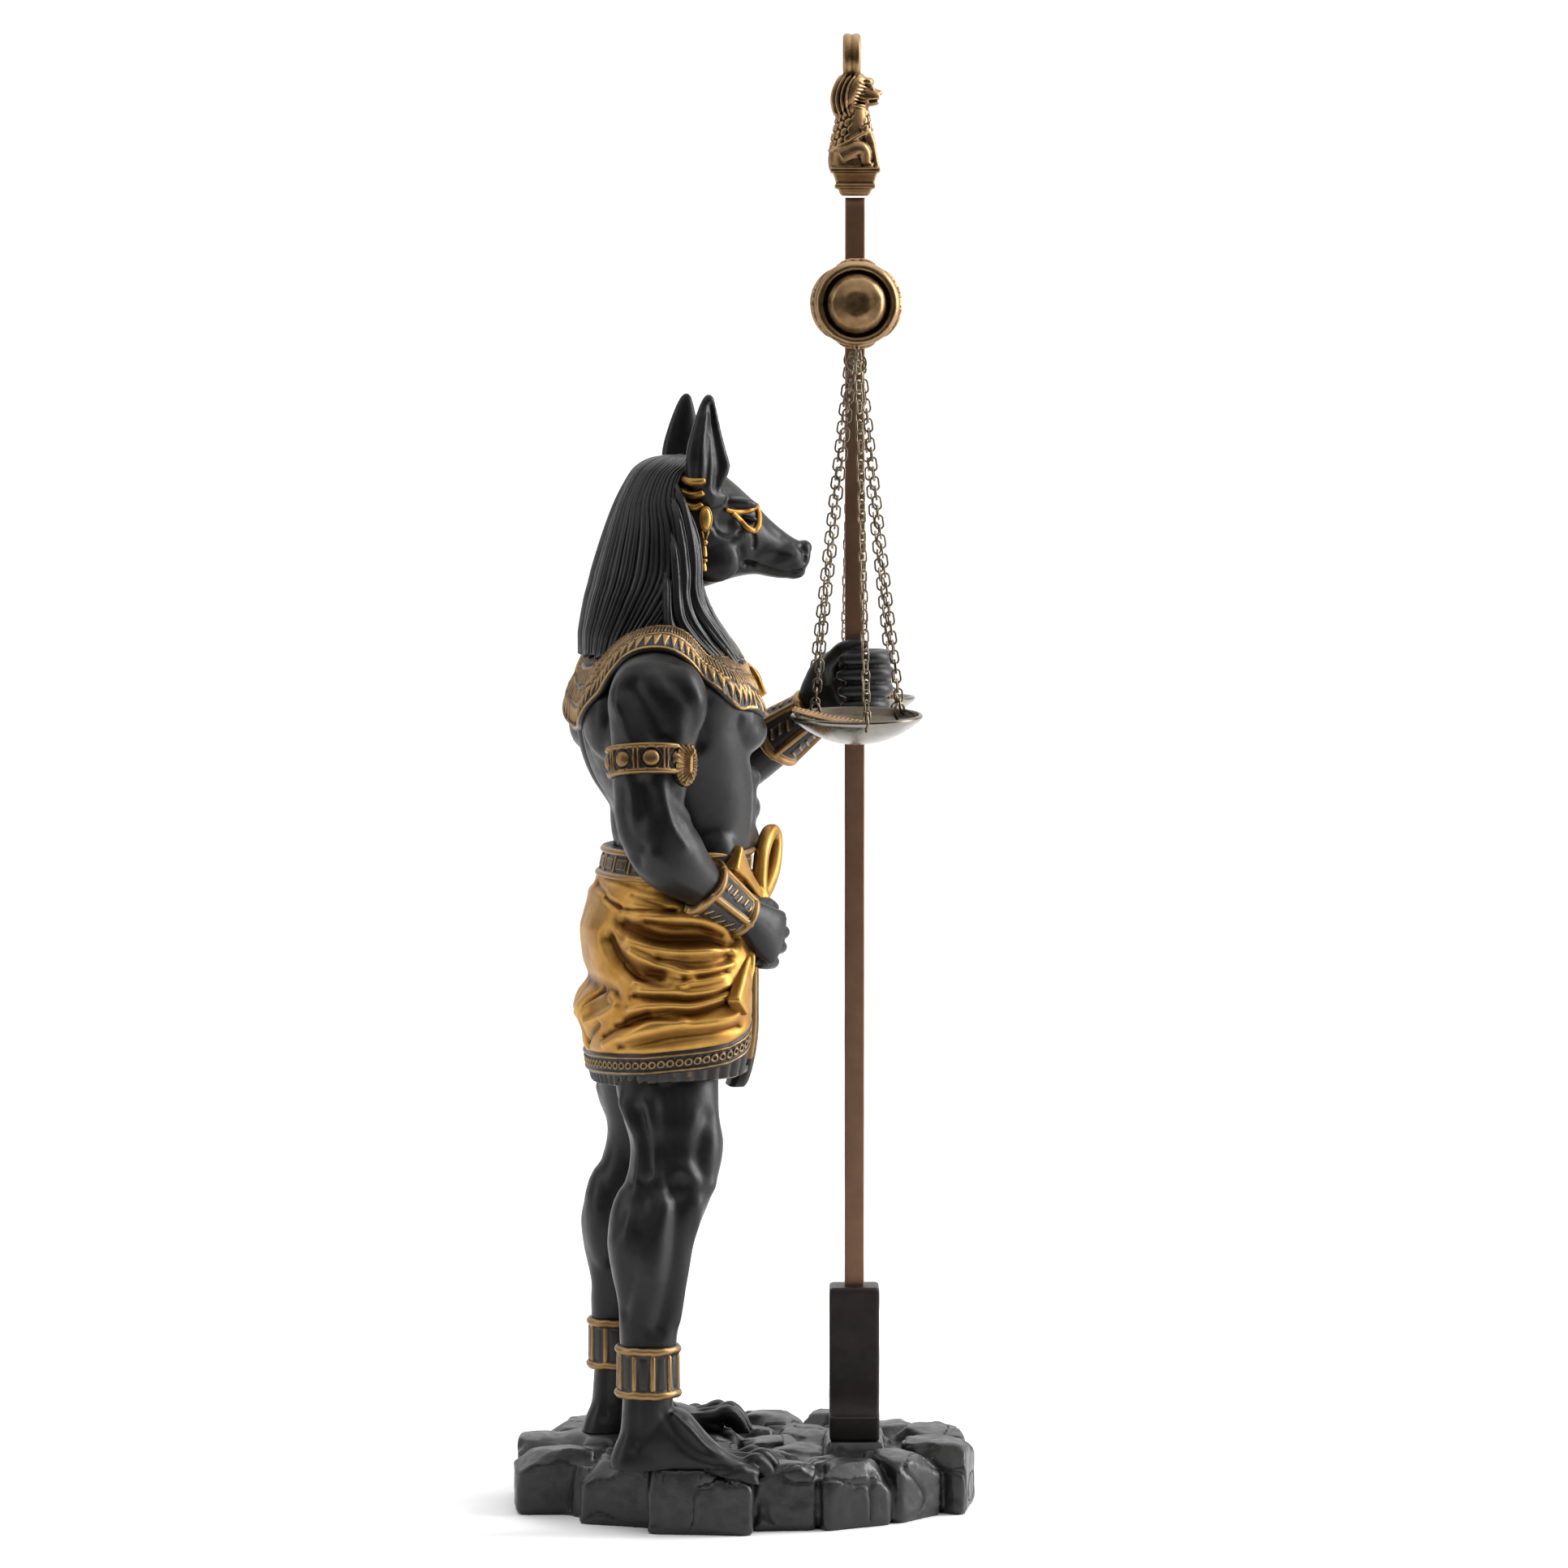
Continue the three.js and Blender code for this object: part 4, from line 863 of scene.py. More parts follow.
def build_beam():
    parts = []
    for side in (-1, 1):
        arm = rotated(lathe(rounded(ARM_PROFILE, 0.3, 4), 84), 0, -side * pi / 2)
        parts.append(moved(arm, (ROD_X, 0, BEAM_Z)))
        for middle, half in ((0, 53), (90, 26), (180, 53), (270, 26)):
            parts += boss_plate(side, middle, half)
        y = side * BEAM_HALF
        parts.append(tube([(ROD_X, y, BEAM_Z - 8.4), (ROD_X, y, BEAM_Z - 9.2)], 0.55, 12))
    parts.append(moved(lathe(rounded(HUB_PROFILE, 0.4), 64), (ROD_X, 0, BEAM_Z)))
    part = fused(parts, 0.24, 1)
    part = push(part, 0.05 * noise(part[0], 1.6, 6, 2))
    # The dome is dark and cloudy inside a black groove.
    v = part[0]
    r = np.hypot(v[:, 0] - ROD_X, v[:, 2] - BEAM_Z)
    outer = smoothstep(39.0, 39.6, np.abs(v[:, 1]))
    groove = outer * bell(r - GROOVE_RADIUS, 0.28)
    dome = outer * smoothstep(6.0, 5.6, r) * (0.12 + 0.6 * noise(v, 2.6, 9, 3))
    # Painted shade in the hollows and painted highlight on the ridges come from the form; the groove
    # and the dome are darkened on top of that.
    shading_and_wear = np.clip(form_shading(part, 30, 2) - 1.4 * groove - dome, -1, 1)
    make("scale_beam_cast", part, "bronze", "scale_beam", shading_and_wear=shading_and_wear, goal=50000)


# The finial is drawn from the axis of the rod. Height and half width of the pedestal:
PEDESTAL = [(267.1, 2.7), (267.6, 3.1), (268.5, 3.4), (268.6, 4.1), (269.3, 4.2), (269.5, 3.8),
            (271.2, 4.3), (271.7, 4.5), (271.8, 5.0), (272.5, 5.15), (272.7, 5.0)]


HAUNCHES = [(272.4, -0.9, 0, 4.4, 4.5), (274.6, -1.0, 0, 4.5, 4.5), (277, -1.0, 0, 4.1, 4.3),
            (279.6, -0.7, 0, 3.9, 4.3), (282.6, -0.4, 0, 3.5, 3.9), (285.4, -0.3, 0, 2.8, 3.2)]


MANE = [(283.2, -3.2, 0, 1.1, 2.2), (284.2, -2.6, 0, 2.0, 3.0), (286.2, -2.0, 0, 3.0, 3.7),
        (288.6, -1.2, 0, 3.5, 3.8), (290.6, -0.6, 0, 3.0, 3.2), (291.8, -0.4, 0, 1.8, 2.0)]


MUZZLE = [(0, 0, 287.6, 2.6, 2.8), (2.6, 0, 287.2, 2.3, 2.2), (4.2, 0, 286.9, 1.9, 1.7),
          (5.0, 0, 286.8, 1.5, 1.2)]


HIND_LEG = [(-2.8, 3.0, 275.2, 2.0, 2.4), (0.2, 3.6, 276.6, 1.7, 1.9),
            (1.8, 3.5, 275.8, 1.4, 1.4), (2.2, 3.2, 273.6, 1.0, 1.1), (3.4, 3.1, 272.9, 0.8, 0.7)]


FORE_LEG = [(1.6, 2.8, 281, 1.4, 1.4), (3.0, 2.7, 277.8, 0.95, 1.1), (3.7, 2.5, 275, 0.7, 0.8),
            (4.2, 2.5, 272.8, 0.7, 0.8)]


# The corded hem of the cloak, which slopes up to the front.
HEM = arr((-5.2, 0.6, 276.2), (-4.2, 3.2, 276.6), (-1.8, 4.5, 277.6), (0.6, 4.4, 279.0),
          (2.6, 3.4, 280.0), (3.4, 0.6, 280.4))


DISC_HALF = [(2.9, 0.8), (3.3, 1.5), (3.9, 1.9), (4.5, 1.5), (4.65, 0.7)]


def build_finial():
    x = ROD_X
    pedestal = []
    for z, half in PEDESTAL:
        loop = square_ring(half, 0.25, 4)
        pedestal.append(np.stack([x + loop[:, 0], loop[:, 1], np.full(len(loop), z)], -1))
    parts = [grid(np.array(pedestal), wrap_v=True, cap=True)]
    for rows in (HAUNCHES, MANE):
        parts.append(column([(z, x + ahead, y, a, b) for z, ahead, y, a, b in rows], 40, 6))
    parts += [
        limb([(x + ahead, y, z, a, b) for ahead, y, z, a, b in MUZZLE], 20, 5),
        blob((x + 2.7, 0, 290.0), (1.2, 2.3, 1.0)),
        blob((x + 4.9, 0, 287.9), (0.7, 1.0, 0.6)),
    ]
    for s in (-1, 1):
        for rows in (HIND_LEG, FORE_LEG):
            parts.append(limb([(x + ahead, s * y, z, a, b) for ahead, y, z, a, b in rows], 16, 5))
        parts.append(blob((x + 3.4, s * 1.4, 288.7), (0.6, 0.5, 0.4)))
        parts.append(tube(spline(HEM * (1, s, 1) + (x, 0, 0), 6), 0.42, 10))
    low_half = [(r, -y) for r, y in DISC_HALF]
    profile = [(0, -0.75)] + low_half + [(4.3, 0)] + DISC_HALF[::-1] + [(0, 0.75)]
    disc = rotated(lathe(rounded(profile, 0.3), 64), 1, pi / 2)
    parts.append(moved(disc, (x - 0.68, 0, 295.25)))
    part = fused(parts, 0.2, 1)

    v, n = part[0], normals(part)
    ahead, side, z = v[:, 0] - x, np.abs(v[:, 1]), v[:, 2]
    # Long strands round the back of the head, and a fringe on the cheek.
    head = smoothstep(283.0, 283.8, z) * (1 - smoothstep(291.0, 291.8, z))
    bend = ahead - 0.075 * (z - 286.4) ** 2 + 0.9
    back = head * smoothstep(-0.4, -0.9, bend)
    amount = back * 0.26 * np.cos(2 * pi * bend / 0.95)
    fringe = head * smoothstep(0.5, 1.0, bend) * smoothstep(3.0, 2.4, bend)
    fringe = fringe * smoothstep(0.8, 1.4, side)
    fringe = fringe * smoothstep(284.2, 285.0, z) * smoothstep(290.8, 290.0, z)
    amount += fringe * 0.1 * np.cos(2 * pi * (z + 0.2 * bend) / 0.72)
    # The cloak of scales, with a plain band over the arm.
    above_hem = z - np.interp(ahead, HEM[:, 0], HEM[:, 2])
    mantle = smoothstep(0.3, 0.6, above_hem) * smoothstep(284.6, 284.0, z) * (1 - back)
    arm = smoothstep(0.9, 0.5, np.abs(ahead - 0.1 - 0.25 * (z - 280)) / 1.9)
    arm = arm * smoothstep(2.0, 2.6, side)
    row = above_hem / 1.6
    across = (np.arctan2(v[:, 1], ahead + 1) * 2.6 + 0.5 * (np.floor(row) % 2)) % 1 - 0.5
    scales = smoothstep(0.46, 0.36, np.hypot(across, (row % 1 - 0.6) * 0.9))
    amount += mantle * (1 - arm) * 0.3 * (scales - 0.4)
    # The mouth.
    mouth = arr((x + 3.0, 0, 286.0), (x + 5.6, 0, 286.3))
    amount -= 0.5 * bell(gap_to(v * (1, 0, 1), mouth), 0.28) * (v[:, 0] > x + 2.6)
    part = push(part, amount, n)
    # Painted shade in the hollows and a painted highlight on the ridges and on the raised strands and
    # scales.
    shading_and_wear = np.clip(hollow(part, 1) * 30 + amount * 1.4, -1, 1)
    make("finial_baboon", part, "bronze", "finial", shading_and_wear=shading_and_wear, goal=50000)


def dish_height(r):
    """Height of the outside of a dish under its rim."""
    return -PAN_DEPTH * (1 - (np.asarray(r) / PAN_RADIUS) ** 2.2)


def pan_point(side, x, y, up):
    """A point of a dish, from the middle of its rim. The near dish hangs at a tilt."""
    tilt = PAN_TILT if side < 0 else 0
    rim = PAN_RIM_Z - (LEFT_PAN_DROP if side > 0 else 0)
    return np.array([ROD_X + x, side * BEAM_HALF + y * math.cos(tilt) - up * math.sin(tilt),
                     rim + y * math.sin(tilt) + up * math.cos(tilt)])


def hoop(centre, radius, wire, normal, count=40, stretch=1.0):
    """A wire ring, stretched upwards."""
    n = unit(normal)
    a = square_to((0, 0, 1), n)
    t = turns(count)
    loop = np.outer(np.cos(t) * stretch, a) + np.outer(np.sin(t), np.cross(n, a))
    return tube(np.asarray(centre) + radius * loop, wire, 8, closed=True, up=n)


def link(centre, along, across, length, width, wire, count=16):
    """One oval link of a chain."""
    t = turns(count)
    u = np.cos(t) * (width / 2) + np.sign(np.cos(t)) * ((length - width) / 2)
    w = np.sin(t) * (width / 2)
    pts = np.asarray(centre) + np.outer(u, along) + np.outer(w, across)
    return tube(pts, wire, 6, closed=True, up=np.cross(along, across))


def chain_foot(side, index, up):
    """The way out to one of a dish's chains, and a point over its place on the rim."""
    t = rad(CHAIN_ANGLES[index] + (180 if side > 0 else 0))
    out = np.array([math.cos(t), math.sin(t), 0])
    return out, pan_point(side, *(out[:2] * (CHAIN_RADIUS + 0.2)), up)


def build_pan(side, name):
    outer = [(r, dish_height(r)) for r in np.linspace(0, PAN_RADIUS - 0.35, 22)]
    lip = [(PAN_RADIUS - 0.02, 0.15), (PAN_RADIUS, 0.45), (PAN_RADIUS - 0.2, 0.72),
           (PAN_RADIUS - 0.6, 0.75), (PAN_RADIUS - 0.9, 0.5)]
    inner = [(r, z + PAN_WALL * 0.8) for r, z in reversed(outer[:-2])]
    v, faces = lathe(outer + lip + inner, 96)
    away = np.hypot(v[:, 0], v[:, 1])
    inside = smoothstep(PAN_RADIUS * 0.1, PAN_RADIUS, away)
    up = v[:, 2] > dish_height(away) + 0.3
    part = np.array([pan_point(side, *p) for p in v]), faces
    # The inner face of the dish is darker, most towards the middle.
    make(f"{name}_dish", part, "dish", name, shading_and_wear=-0.75 * up * (1 - 0.2 * inside))
    rings = []
    for index in range(3):
        out, at = chain_foot(side, index, -0.2)
        rings.append(hoop(at + (0, 0, 0.5), 1.35, 0.27, np.cross(out, (0, 0, 1)), 32, 1.25))
    part = join(rings)
    make(f"{name}_rings", part, "chain", name, shading_and_wear=0.4 * noise(part[0], 0.7, 3))


def build_chain(side, index, node):
    out, foot = chain_foot(side, index, 1.6)
    head = np.array([ROD_X + out[0], side * BEAM_HALF + out[1], CHAIN_TOP_Z - 0.4])
    length = np.linalg.norm(head - foot)
    along = unit(head - foot)
    across = square_to(out, along)
    other = np.cross(along, across)
    count = int(round(length / LINK_PITCH))
    parts = []
    for i in range(count + 1):
        a = rad(45 + 90 * (i % 2) + 9 * math.sin(i * 1.7 + index))
        d = unit(math.cos(a) * across + math.sin(a) * other)
        parts.append(link(foot + along * length * i / count, along, d, 2.75, 1.62, 0.2))
    part = join(parts)
    make(f"{node}_links", part, "chain", node, shading_and_wear=0.7 * noise(part[0], 0.8, 5))


def build_top_wires():
    """The rings between each boss and its three chains."""
    for side, node in ((-1, "chain_right_1"), (1, "chain_left_1")):
        y = side * BEAM_HALF
        parts = [hoop((ROD_X, y, 235.3), 1.1, 0.24, (1, 0, 0), 28, 1.2)]
        for dx in (-0.9, 0.9):
            parts.append(hoop((ROD_X + dx, y, 233.6), 0.95, 0.2, (0.25, 1, 0), 24, 1.5))
        part = join(parts)
        make(f"{node}_loops", part, "chain", None, shading_and_wear=0.6 * noise(part[0], 0.8, 5))


def build_feather():
    """A curved blade with a quill and slanting barbs, which lies in the near dish."""
    n, m = 120, 25
    rows, tint = [], []
    for i in range(n):
        t = i / (n - 1)
        x = -12.3 + 20.3 * t
        up = 1.5 * (1 - t) ** 2 - 2.4 * t * (1 - 0.25 * t) + 0.5
        wide = 0.35 + 2.75 * math.sin(pi * min(1, 0.12 + 0.86 * t)) ** 0.8
        row = []
        for j in range(m):
            s = -1 + 2 * j / (m - 1)
            barb = 0.09 * math.sin(2 * pi * (x * 1.15 + abs(s) * wide * 0.9))
            quill = 0.34 * math.exp(-((s * wide / 0.34) ** 2))
            h = 0.16 + barb * (abs(s) > 0.12) + quill - 0.35 * s * s
            row.append(pan_point(-1, x - 0.5 * abs(s), -1.4 - 1.6 * t + s * wide, up + h))
            # The crests of the barbs and the quill are painted lighter and the grooves between the
            # barbs darker: painted highlight and painted shade.
            tint.append(barb * 8 + quill)
        rows.append(row)
    top = np.array(rows)
    low = top - (0, 0, 0.4)
    part = grid(np.concatenate([top, low[:, ::-1]], 1), wrap_v=True, cap=True)
    tint = np.array(tint).reshape(n, m)
    shading_and_wear = np.concatenate([np.concatenate([tint, np.zeros((n, m))], 1).reshape(-1), [0, 0]])
    make("feather_blade", part, "bronze", "feather", shading_and_wear=shading_and_wear)


def build_heart():
    """A heart-shaped jar with two lugs."""
    floor = PAN_RIM_Z - LEFT_PAN_DROP - PAN_DEPTH + PAN_WALL + 0.55
    profile = [(0, 0), (1.5, 0), (3, 1.6), (3.4, 3.2), (2.6, 4.8), (1.5, 5.4), (1.3, 6), (1.9, 6.6),
               (1.9, 7), (0, 7.2)]
    parts = [lathe(rounded(profile, 1.2, 5), 40)]
    parts += [blob((s * 3.1, 0, 4.0), (0.8, 0.7, 0.9)) for s in (-1, 1)]
    part = moved(fused(parts, 0.2, 2), (ROD_X + 4.6, BEAM_HALF - 2, floor + 1.2))
    # Painted shade in its hollows and a painted highlight on its ridges.
    make("heart_jar", part, "gold", "heart", shading_and_wear=form_shading(part, 30, 3))


build_base()
build_foot()
build_rod()
build_beam()
build_finial()
for side, pan_name in ((-1, "pan_right"), (1, "pan_left")):
    build_pan(side, pan_name)
    for index in range(3):
        build_chain(side, index, f"chain_{pan_name[4:]}_{index + 1}")
build_top_wires()
build_feather()
build_heart()


# The figure: skin, hair, cloth and ornaments are modelled apart and lie on each other.


def tree_of(part):
    return BVHTree.FromPolygons([tuple(p) for p in part[0]], [tuple(f) for g in part[1] for f in g])


def lifted(points, tree, margin, limit=5.0):
    """Points moved so that they lie at least margin outside the body in tree."""
    out = np.asarray(points, float).copy()
    flat = out.reshape(-1, 3)
    for i, p in enumerate(flat):
        at, n, _, d = tree.find_nearest(Vector(p))
        if at is not None and d < limit and (Vector(p) - at).dot(n) < margin:
            flat[i] = np.array(at) + np.array(n) * margin
    return flat.reshape(out.shape)


def onto(tree, x, z, side):
    """Where a line from the side at x and z meets the body, and the way it faces."""
    at, n, _, _ = tree.ray_cast(Vector((x, side * 60, z)), Vector((0, -side, 0)))
    if at is None:
        at, n, _, _ = tree.find_nearest(Vector((x, side * 4, z)))
    return np.array(at), np.array(n)


def evened(pts, rounds):
    """A line with its inner points moved to the mean of their neighbours, so many times."""
    for _ in range(rounds):
        pts[1:-1] = 0.5 * pts[1:-1] + 0.25 * (pts[:-2] + pts[2:])
    return pts


def traced(tree, pairs, side):
    """A line drawn on the side of the head, from its places ahead and up."""
    pts = []
    for x, z in spline(pairs, 6):
        at, n = onto(tree, x, z, side)
        pts.append(at + n * 0.1)
    return evened(np.array(pts), 2)


def carve(part, lines):
    """Grooves (negative) and ridges (positive): height, width and the line they follow."""
    amount = np.zeros(len(part[0]))
    for height, width, line in lines:
        amount += height * bell(gap_to(part[0], spline(line, 4)), width)
    return push(part, amount)


def both(lines):
    """Lines of one side, and the same mirrored."""
    return lines + [(h, w, [(x, -y, z) for x, y, z in line]) for h, w, line in lines]


# The trunk, from height, place and two half widths, and the arms, from point and half widths.
TORSO = [
    (131, 3.4, 0, 13.3, 18.4), (138, 5.3, 0, 13.5, 18.0), (143, 5.0, 0, 14.2, 18.6),
    (150, 2.8, 0, 16.4, 21.0), (156, 1.2, 0, 17.0, 23.8), (163, 0.7, 0, 17.4, 24.8),
    (168, 1.8, 0, 16.6, 24.6), (173, 0.9, 0, 13.8, 21.8), (177.5, -0.2, 0, 10.6, 15.4),
    (182, -0.4, 0, 8.6, 10.5), (192, 1.6, 0, 7.6, 8.5),
]
RIGHT_ARM = [
    (-3.0, -16.4, 170.6, 5.6, 5.8), (-4.4, -23.8, 168.4, 8.4, 9.3), (-5.2, -26.2, 162, 8.3, 9.1),
    (-6.4, -27.2, 155, 7.2, 7.5), (-7.0, -27.8, 149, 6.8, 6.6), (-6.2, -28.2, 142.6, 6.6, 6.9),
    (-2.0, -26.6, 136.0, 6.8, 7.2), (3.8, -23.6, 130.8, 5.1, 5.0), (9.6, -20.2, 126.4, 3.9, 4.0),
    (14.6, -17.0, 122.8, 3.4, 3.7),
]
LEFT_ARM = [
    (-4.2, 16.6, 170.4, 5.6, 5.8), (-3.4, 24, 168.4, 8.4, 9.2), (-1, 28, 162, 8.1, 8.9),
    (3, 31, 155, 7.2, 7.8), (7, 33.4, 149.6, 6.8, 7), (11.6, 33, 147, 7, 7.4),
    (17.4, 30, 149.8, 6.8, 7.6), (23.4, 26.6, 153.2, 5.8, 6.4), (29.6, 22.8, 157.4, 4.6, 5),
    (34.6, 18.8, 161.8, 3.6, 4),
]
GRIP = to_figure(ROD_X, 0)


def right_fist():
    """The near hand, closed round the ankh: a flat back, knuckles ahead and the thumb on top."""
    parts = [
        limb([(6.0, -22.6, 129.4, 3.0, 3.4), (13.0, -18.6, 123.6, 3.2, 3.9),
              (16.4, -16.8, 121.3, 3.0, 4.9), (19.4, -14.8, 119.0, 2.8, 5.9),
              (21.4, -13.0, 117.8, 2.2, 6.2)], 28, 6, (0.5, -0.85, 0.1), 2.5),
        blob((18.2, -11.6, 118.4), (3.6, 3.4, 5.6), up=(-0.2, 0, 1)),
    ]
    for k, (knuckle, joint) in enumerate(((19.4, 21.7), (20.9, 23.2), (20.4, 22.6), (18.8, 20.9))):
        z = 122.3 - 3.2 * k
        parts += [
            limb([(knuckle - 1.6, -14.4, z + 0.1, 1.3, 1.5), (knuckle, -12.9, z, 1.65, 1.75),
                  (joint, -9.6, z - 0.3, 1.6, 1.72), (joint + 0.2, -7.4, z - 0.4, 1.5, 1.65),
                  (joint - 1.4, -5.6, z - 0.4, 1.5, 1.6), (joint - 3.8, -5.2, z - 0.2, 1.35, 1.45),
                  (joint - 5.4, -5.6, z, 0.9, 1.0)], 18, 6, (0, 0, 1)),
            blob((knuckle + 0.4, -12.9, z), (1.6, 1.5, 1.5)),
            blob((joint + 0.2, -8.6, z - 0.35), (1.65, 1.9, 1.6)),
            tube([(knuckle - 6.5, -17.6 + 0.2 * k, z - 1.0 + 0.5 * k),
                  (knuckle - 3.2, -15.6, z - 0.4 + 0.2 * k), (knuckle - 0.4, -13.8, z)],
                 [0.5, 0.6, 0.8], 10),
        ]
    parts.append(limb([
        (14.6, -14.6, 123.4, 1.9, 2.1), (17.2, -12.2, 124.8, 1.8, 1.8),
        (19.4, -9.8, 124.9, 1.6, 1.5), (20.2, -8.8, 124.7, 1.7, 1.6),
        (22.0, -6.6, 123.9, 1.3, 1.2), (22.8, -5.6, 123.5, 0.7, 0.7)], 18, 6, (0, 0, 1)))
    centre = arr(14, -15, 121)
    return [(centre + (v - centre) * 0.93 + (0.6, 0, 0.2), faces) for v, faces in parts]


def left_fist():
    """The far hand, closed round the rod: four fingers in rows and the thumb above them."""
    x, y = GRIP
    parts = [
        limb([(28.0, 23.4, 156.2, 3.2, 3.8), (34, 19.6, 161.4, 3.2, 4),
              (36.6, 16.8, 165, 3.6, 5.6), (38.8, 13.8, 167.8, 3.6, 6.8),
              (42.6, 12.0, 168.4, 3.2, 6.8), (45.4, 10.6, 168.4, 2.4, 6.4)],
             28, 6, (0.7, 0.7, 0), 2.5),
        blob((x + 0.5, y + 4.6, 168.4), (4.6, 3.0, 6.2)),
    ]
    for k, reach in enumerate((0.5, 0.0, 0.3, 1.0)):
        z = 173.6 - 3.25 * k
        parts += [
            limb([(x + 3.4, y + 5.6, z + 0.1, 1.4, 1.6), (x + 5.6 - reach, y + 3.6, z, 1.6, 1.72),
                  (x + 6.6 - reach, y + 0.4, z, 1.62, 1.74),
                  (x + 5.9 - reach, y - 2.2, z, 1.55, 1.7),
                  (x + 3.6 - reach, y - 3.9, z, 1.5, 1.66), (x + 0.2, y - 4.2, z - 0.1, 1.5, 1.62),
                  (x - 2.6, y - 4.0, z - 0.2, 1.35, 1.5),
                  (x - 4.4 + reach, y - 3.6, z - 0.2, 0.8, 0.9)], 18, 6, (0, 0, 1)),
            blob((x + 5.8 - reach, y + 3.4, z), (1.6, 1.7, 1.6)),
            blob((x + 4.9 - reach, y - 3.1, z), (1.5, 1.5, 1.58)),
        ]
    parts.append(limb([
        (x - 3.6, y + 6.6, 168.6, 2.0, 2.2), (x - 4.8, y + 2.4, 172.0, 1.8, 1.9),
        (x - 3.9, y - 0.8, 174.2, 1.6, 1.6), (x - 2.6, y - 2.2, 175.4, 1.65, 1.6),
        (x + 0.2, y - 3.3, 176.3, 1.4, 1.3), (x + 2.0, y - 3.5, 176.6, 0.8, 0.8)],
        18, 6, (0, 0, 1)))
    return parts


def build_hands():
    right = fused(right_fist(), 0.3 * FINE, 2)
    cast("figure_hand_right", right, "resin", 12, 2, 0.5, goal=20000)
    left = round_rod(fused(left_fist(), 0.3 * FINE, 2))
    cast("figure_hand_left", left, "resin", 12, 2, 0.5, goal=20000)


def round_rod(part):
    """A square way for the rod through the far fist."""
    v, half = part[0], 2.2
    dx, dy = v[:, 0] - GRIP[0], v[:, 1] - GRIP[1]
    rx, ry = dx * COS_TURN - dy * SIN_TURN, dx * SIN_TURN + dy * COS_TURN
    inside = (np.abs(rx) < half) & (np.abs(ry) < half)
    k = half / np.maximum(np.maximum(np.abs(rx), np.abs(ry)), 0.3)
    rx, ry = np.where(inside, rx * k, rx), np.where(inside, ry * k, ry)
    v[:, 0] = GRIP[0] + rx * COS_TURN + ry * SIN_TURN
    v[:, 1] = GRIP[1] - rx * SIN_TURN + ry * COS_TURN
    return part


# Grooves and ridges of the trunk, on both sides: the midline, the rows of the belly, the lower
# edge of the chest, the backbone and the shoulder blades.
TRUNK_LINES = [
    (-0.9, 1.1, [(20.2, 0.3, 156), (19.0, 0.1, 150), (18.6, 0.1, 144), (17.8, 0.1, 137)]),
    (-0.8, 0.8, [(19.2, 0, 146.9), (18.6, 4, 146.8), (15.4, 8, 147.8)]),
    (-0.8, 0.8, [(19.0, 0, 141.1), (18.2, 4, 141.0), (15.2, 8, 141.8)]),
    (-1.0, 1.4, [(17.4, 8.8, 152.6), (16.6, 9.2, 147), (15.8, 9.2, 139)]),
    (-3.0, 1.4, [(4.4, 20.8, 159.6), (8.0, 18.8, 156.4), (12.4, 14.4, 154.6), (17.2, 6, 154.4),
                 (18.4, 1, 155.0)]),
    (-0.9, 2.4, [(6.0, 20.0, 155.4), (10.6, 15.8, 152.6), (15.4, 9, 151.8), (17.4, 2, 152.4)]),
    (0.7, 1.3, [(7.4, 20.4, 161.0), (10.8, 17.0, 158.2), (15, 11.6, 157.2), (18.8, 6, 157.6)]),
    (-0.9, 1.6, [(-15.0, 0.4, 172), (-16.4, 0.4, 160), (-13.2, 0.3, 147), (-10.4, 0.3, 136)]),
    (-0.8, 1.8, [(-16.4, 7, 158), (-14.6, 13.6, 153), (-10.8, 18, 148)]),
    (-0.6, 1.6, [(-10, 19.6, 152), (-4, 21, 146), (2, 19.6, 141)]),
]


# Grooves and ridges on one side only.
ARM_LINES = [
    (-0.7, 0.9, [(18.4, 0, 141.4), (18.4, 0, 140.2)]),
    # The near shoulder's long hollow and its borders, the armpit, the upper arm and forearm.
    (-2.1, 2.7, [(-11.4, -31.6, 170.4), (-9.0, -33.6, 166.8), (-6.8, -34.6, 163.4),
                 (-5.0, -34.6, 160.2)]),
    (0.5, 1.5, [(-6.2, -32.6, 172.6), (-3.2, -34.2, 168.8), (-1.4, -35, 164.6),
                (-0.6, -34.8, 160.4)]),
    (0.4, 1.5, [(-14.2, -30, 167), (-12.2, -32, 161.6), (-9.4, -33.6, 158.4)]),
    (-0.6, 1.8, [(-3.4, -33.6, 172.4), (1.0, -33.4, 166.4), (2.2, -32.6, 161.6)]),
    (-1.3, 1.7, [(3.2, -25.2, 165.4), (2.8, -24.4, 161.8), (3.8, -23.2, 158.4)]),
    (-1.4, 1.9, [(-8.8, -34.6, 151.0), (-7.6, -35.2, 147.4), (-7.0, -35, 144.4),
                 (-8.0, -33.8, 140.4), (-10.0, -30.6, 135.6)]),
    (0.6, 1.4, [(-5.4, -34.6, 150.6), (-4.4, -34.6, 146.6), (-3.2, -34.2, 142.6),
                (-0.6, -33, 138.4)]),
    (-0.6, 1.5, [(-12.6, -32, 149.6), (-12.4, -32.4, 143), (-9.6, -32.4, 138)]),
    (-0.8, 1.4, [(-1.2, -33.4, 148.4), (1.6, -31.4, 144.6), (4.2, -29.4, 141.4)]),
    (0.4, 1.5, [(-6.2, -33.4, 136.6), (-1.2, -32, 132.4), (4.2, -28.6, 129)]),
    # The far shoulder and arm.
    (-0.8, 2.0, [(-6.4, 32.6, 168), (-3.6, 34.8, 163), (-1.2, 35.6, 158.6)]),
    (-0.8, 1.5, [(4.6, 37.2, 153), (9.6, 37.6, 150.6), (15.8, 35.4, 152)]),
]


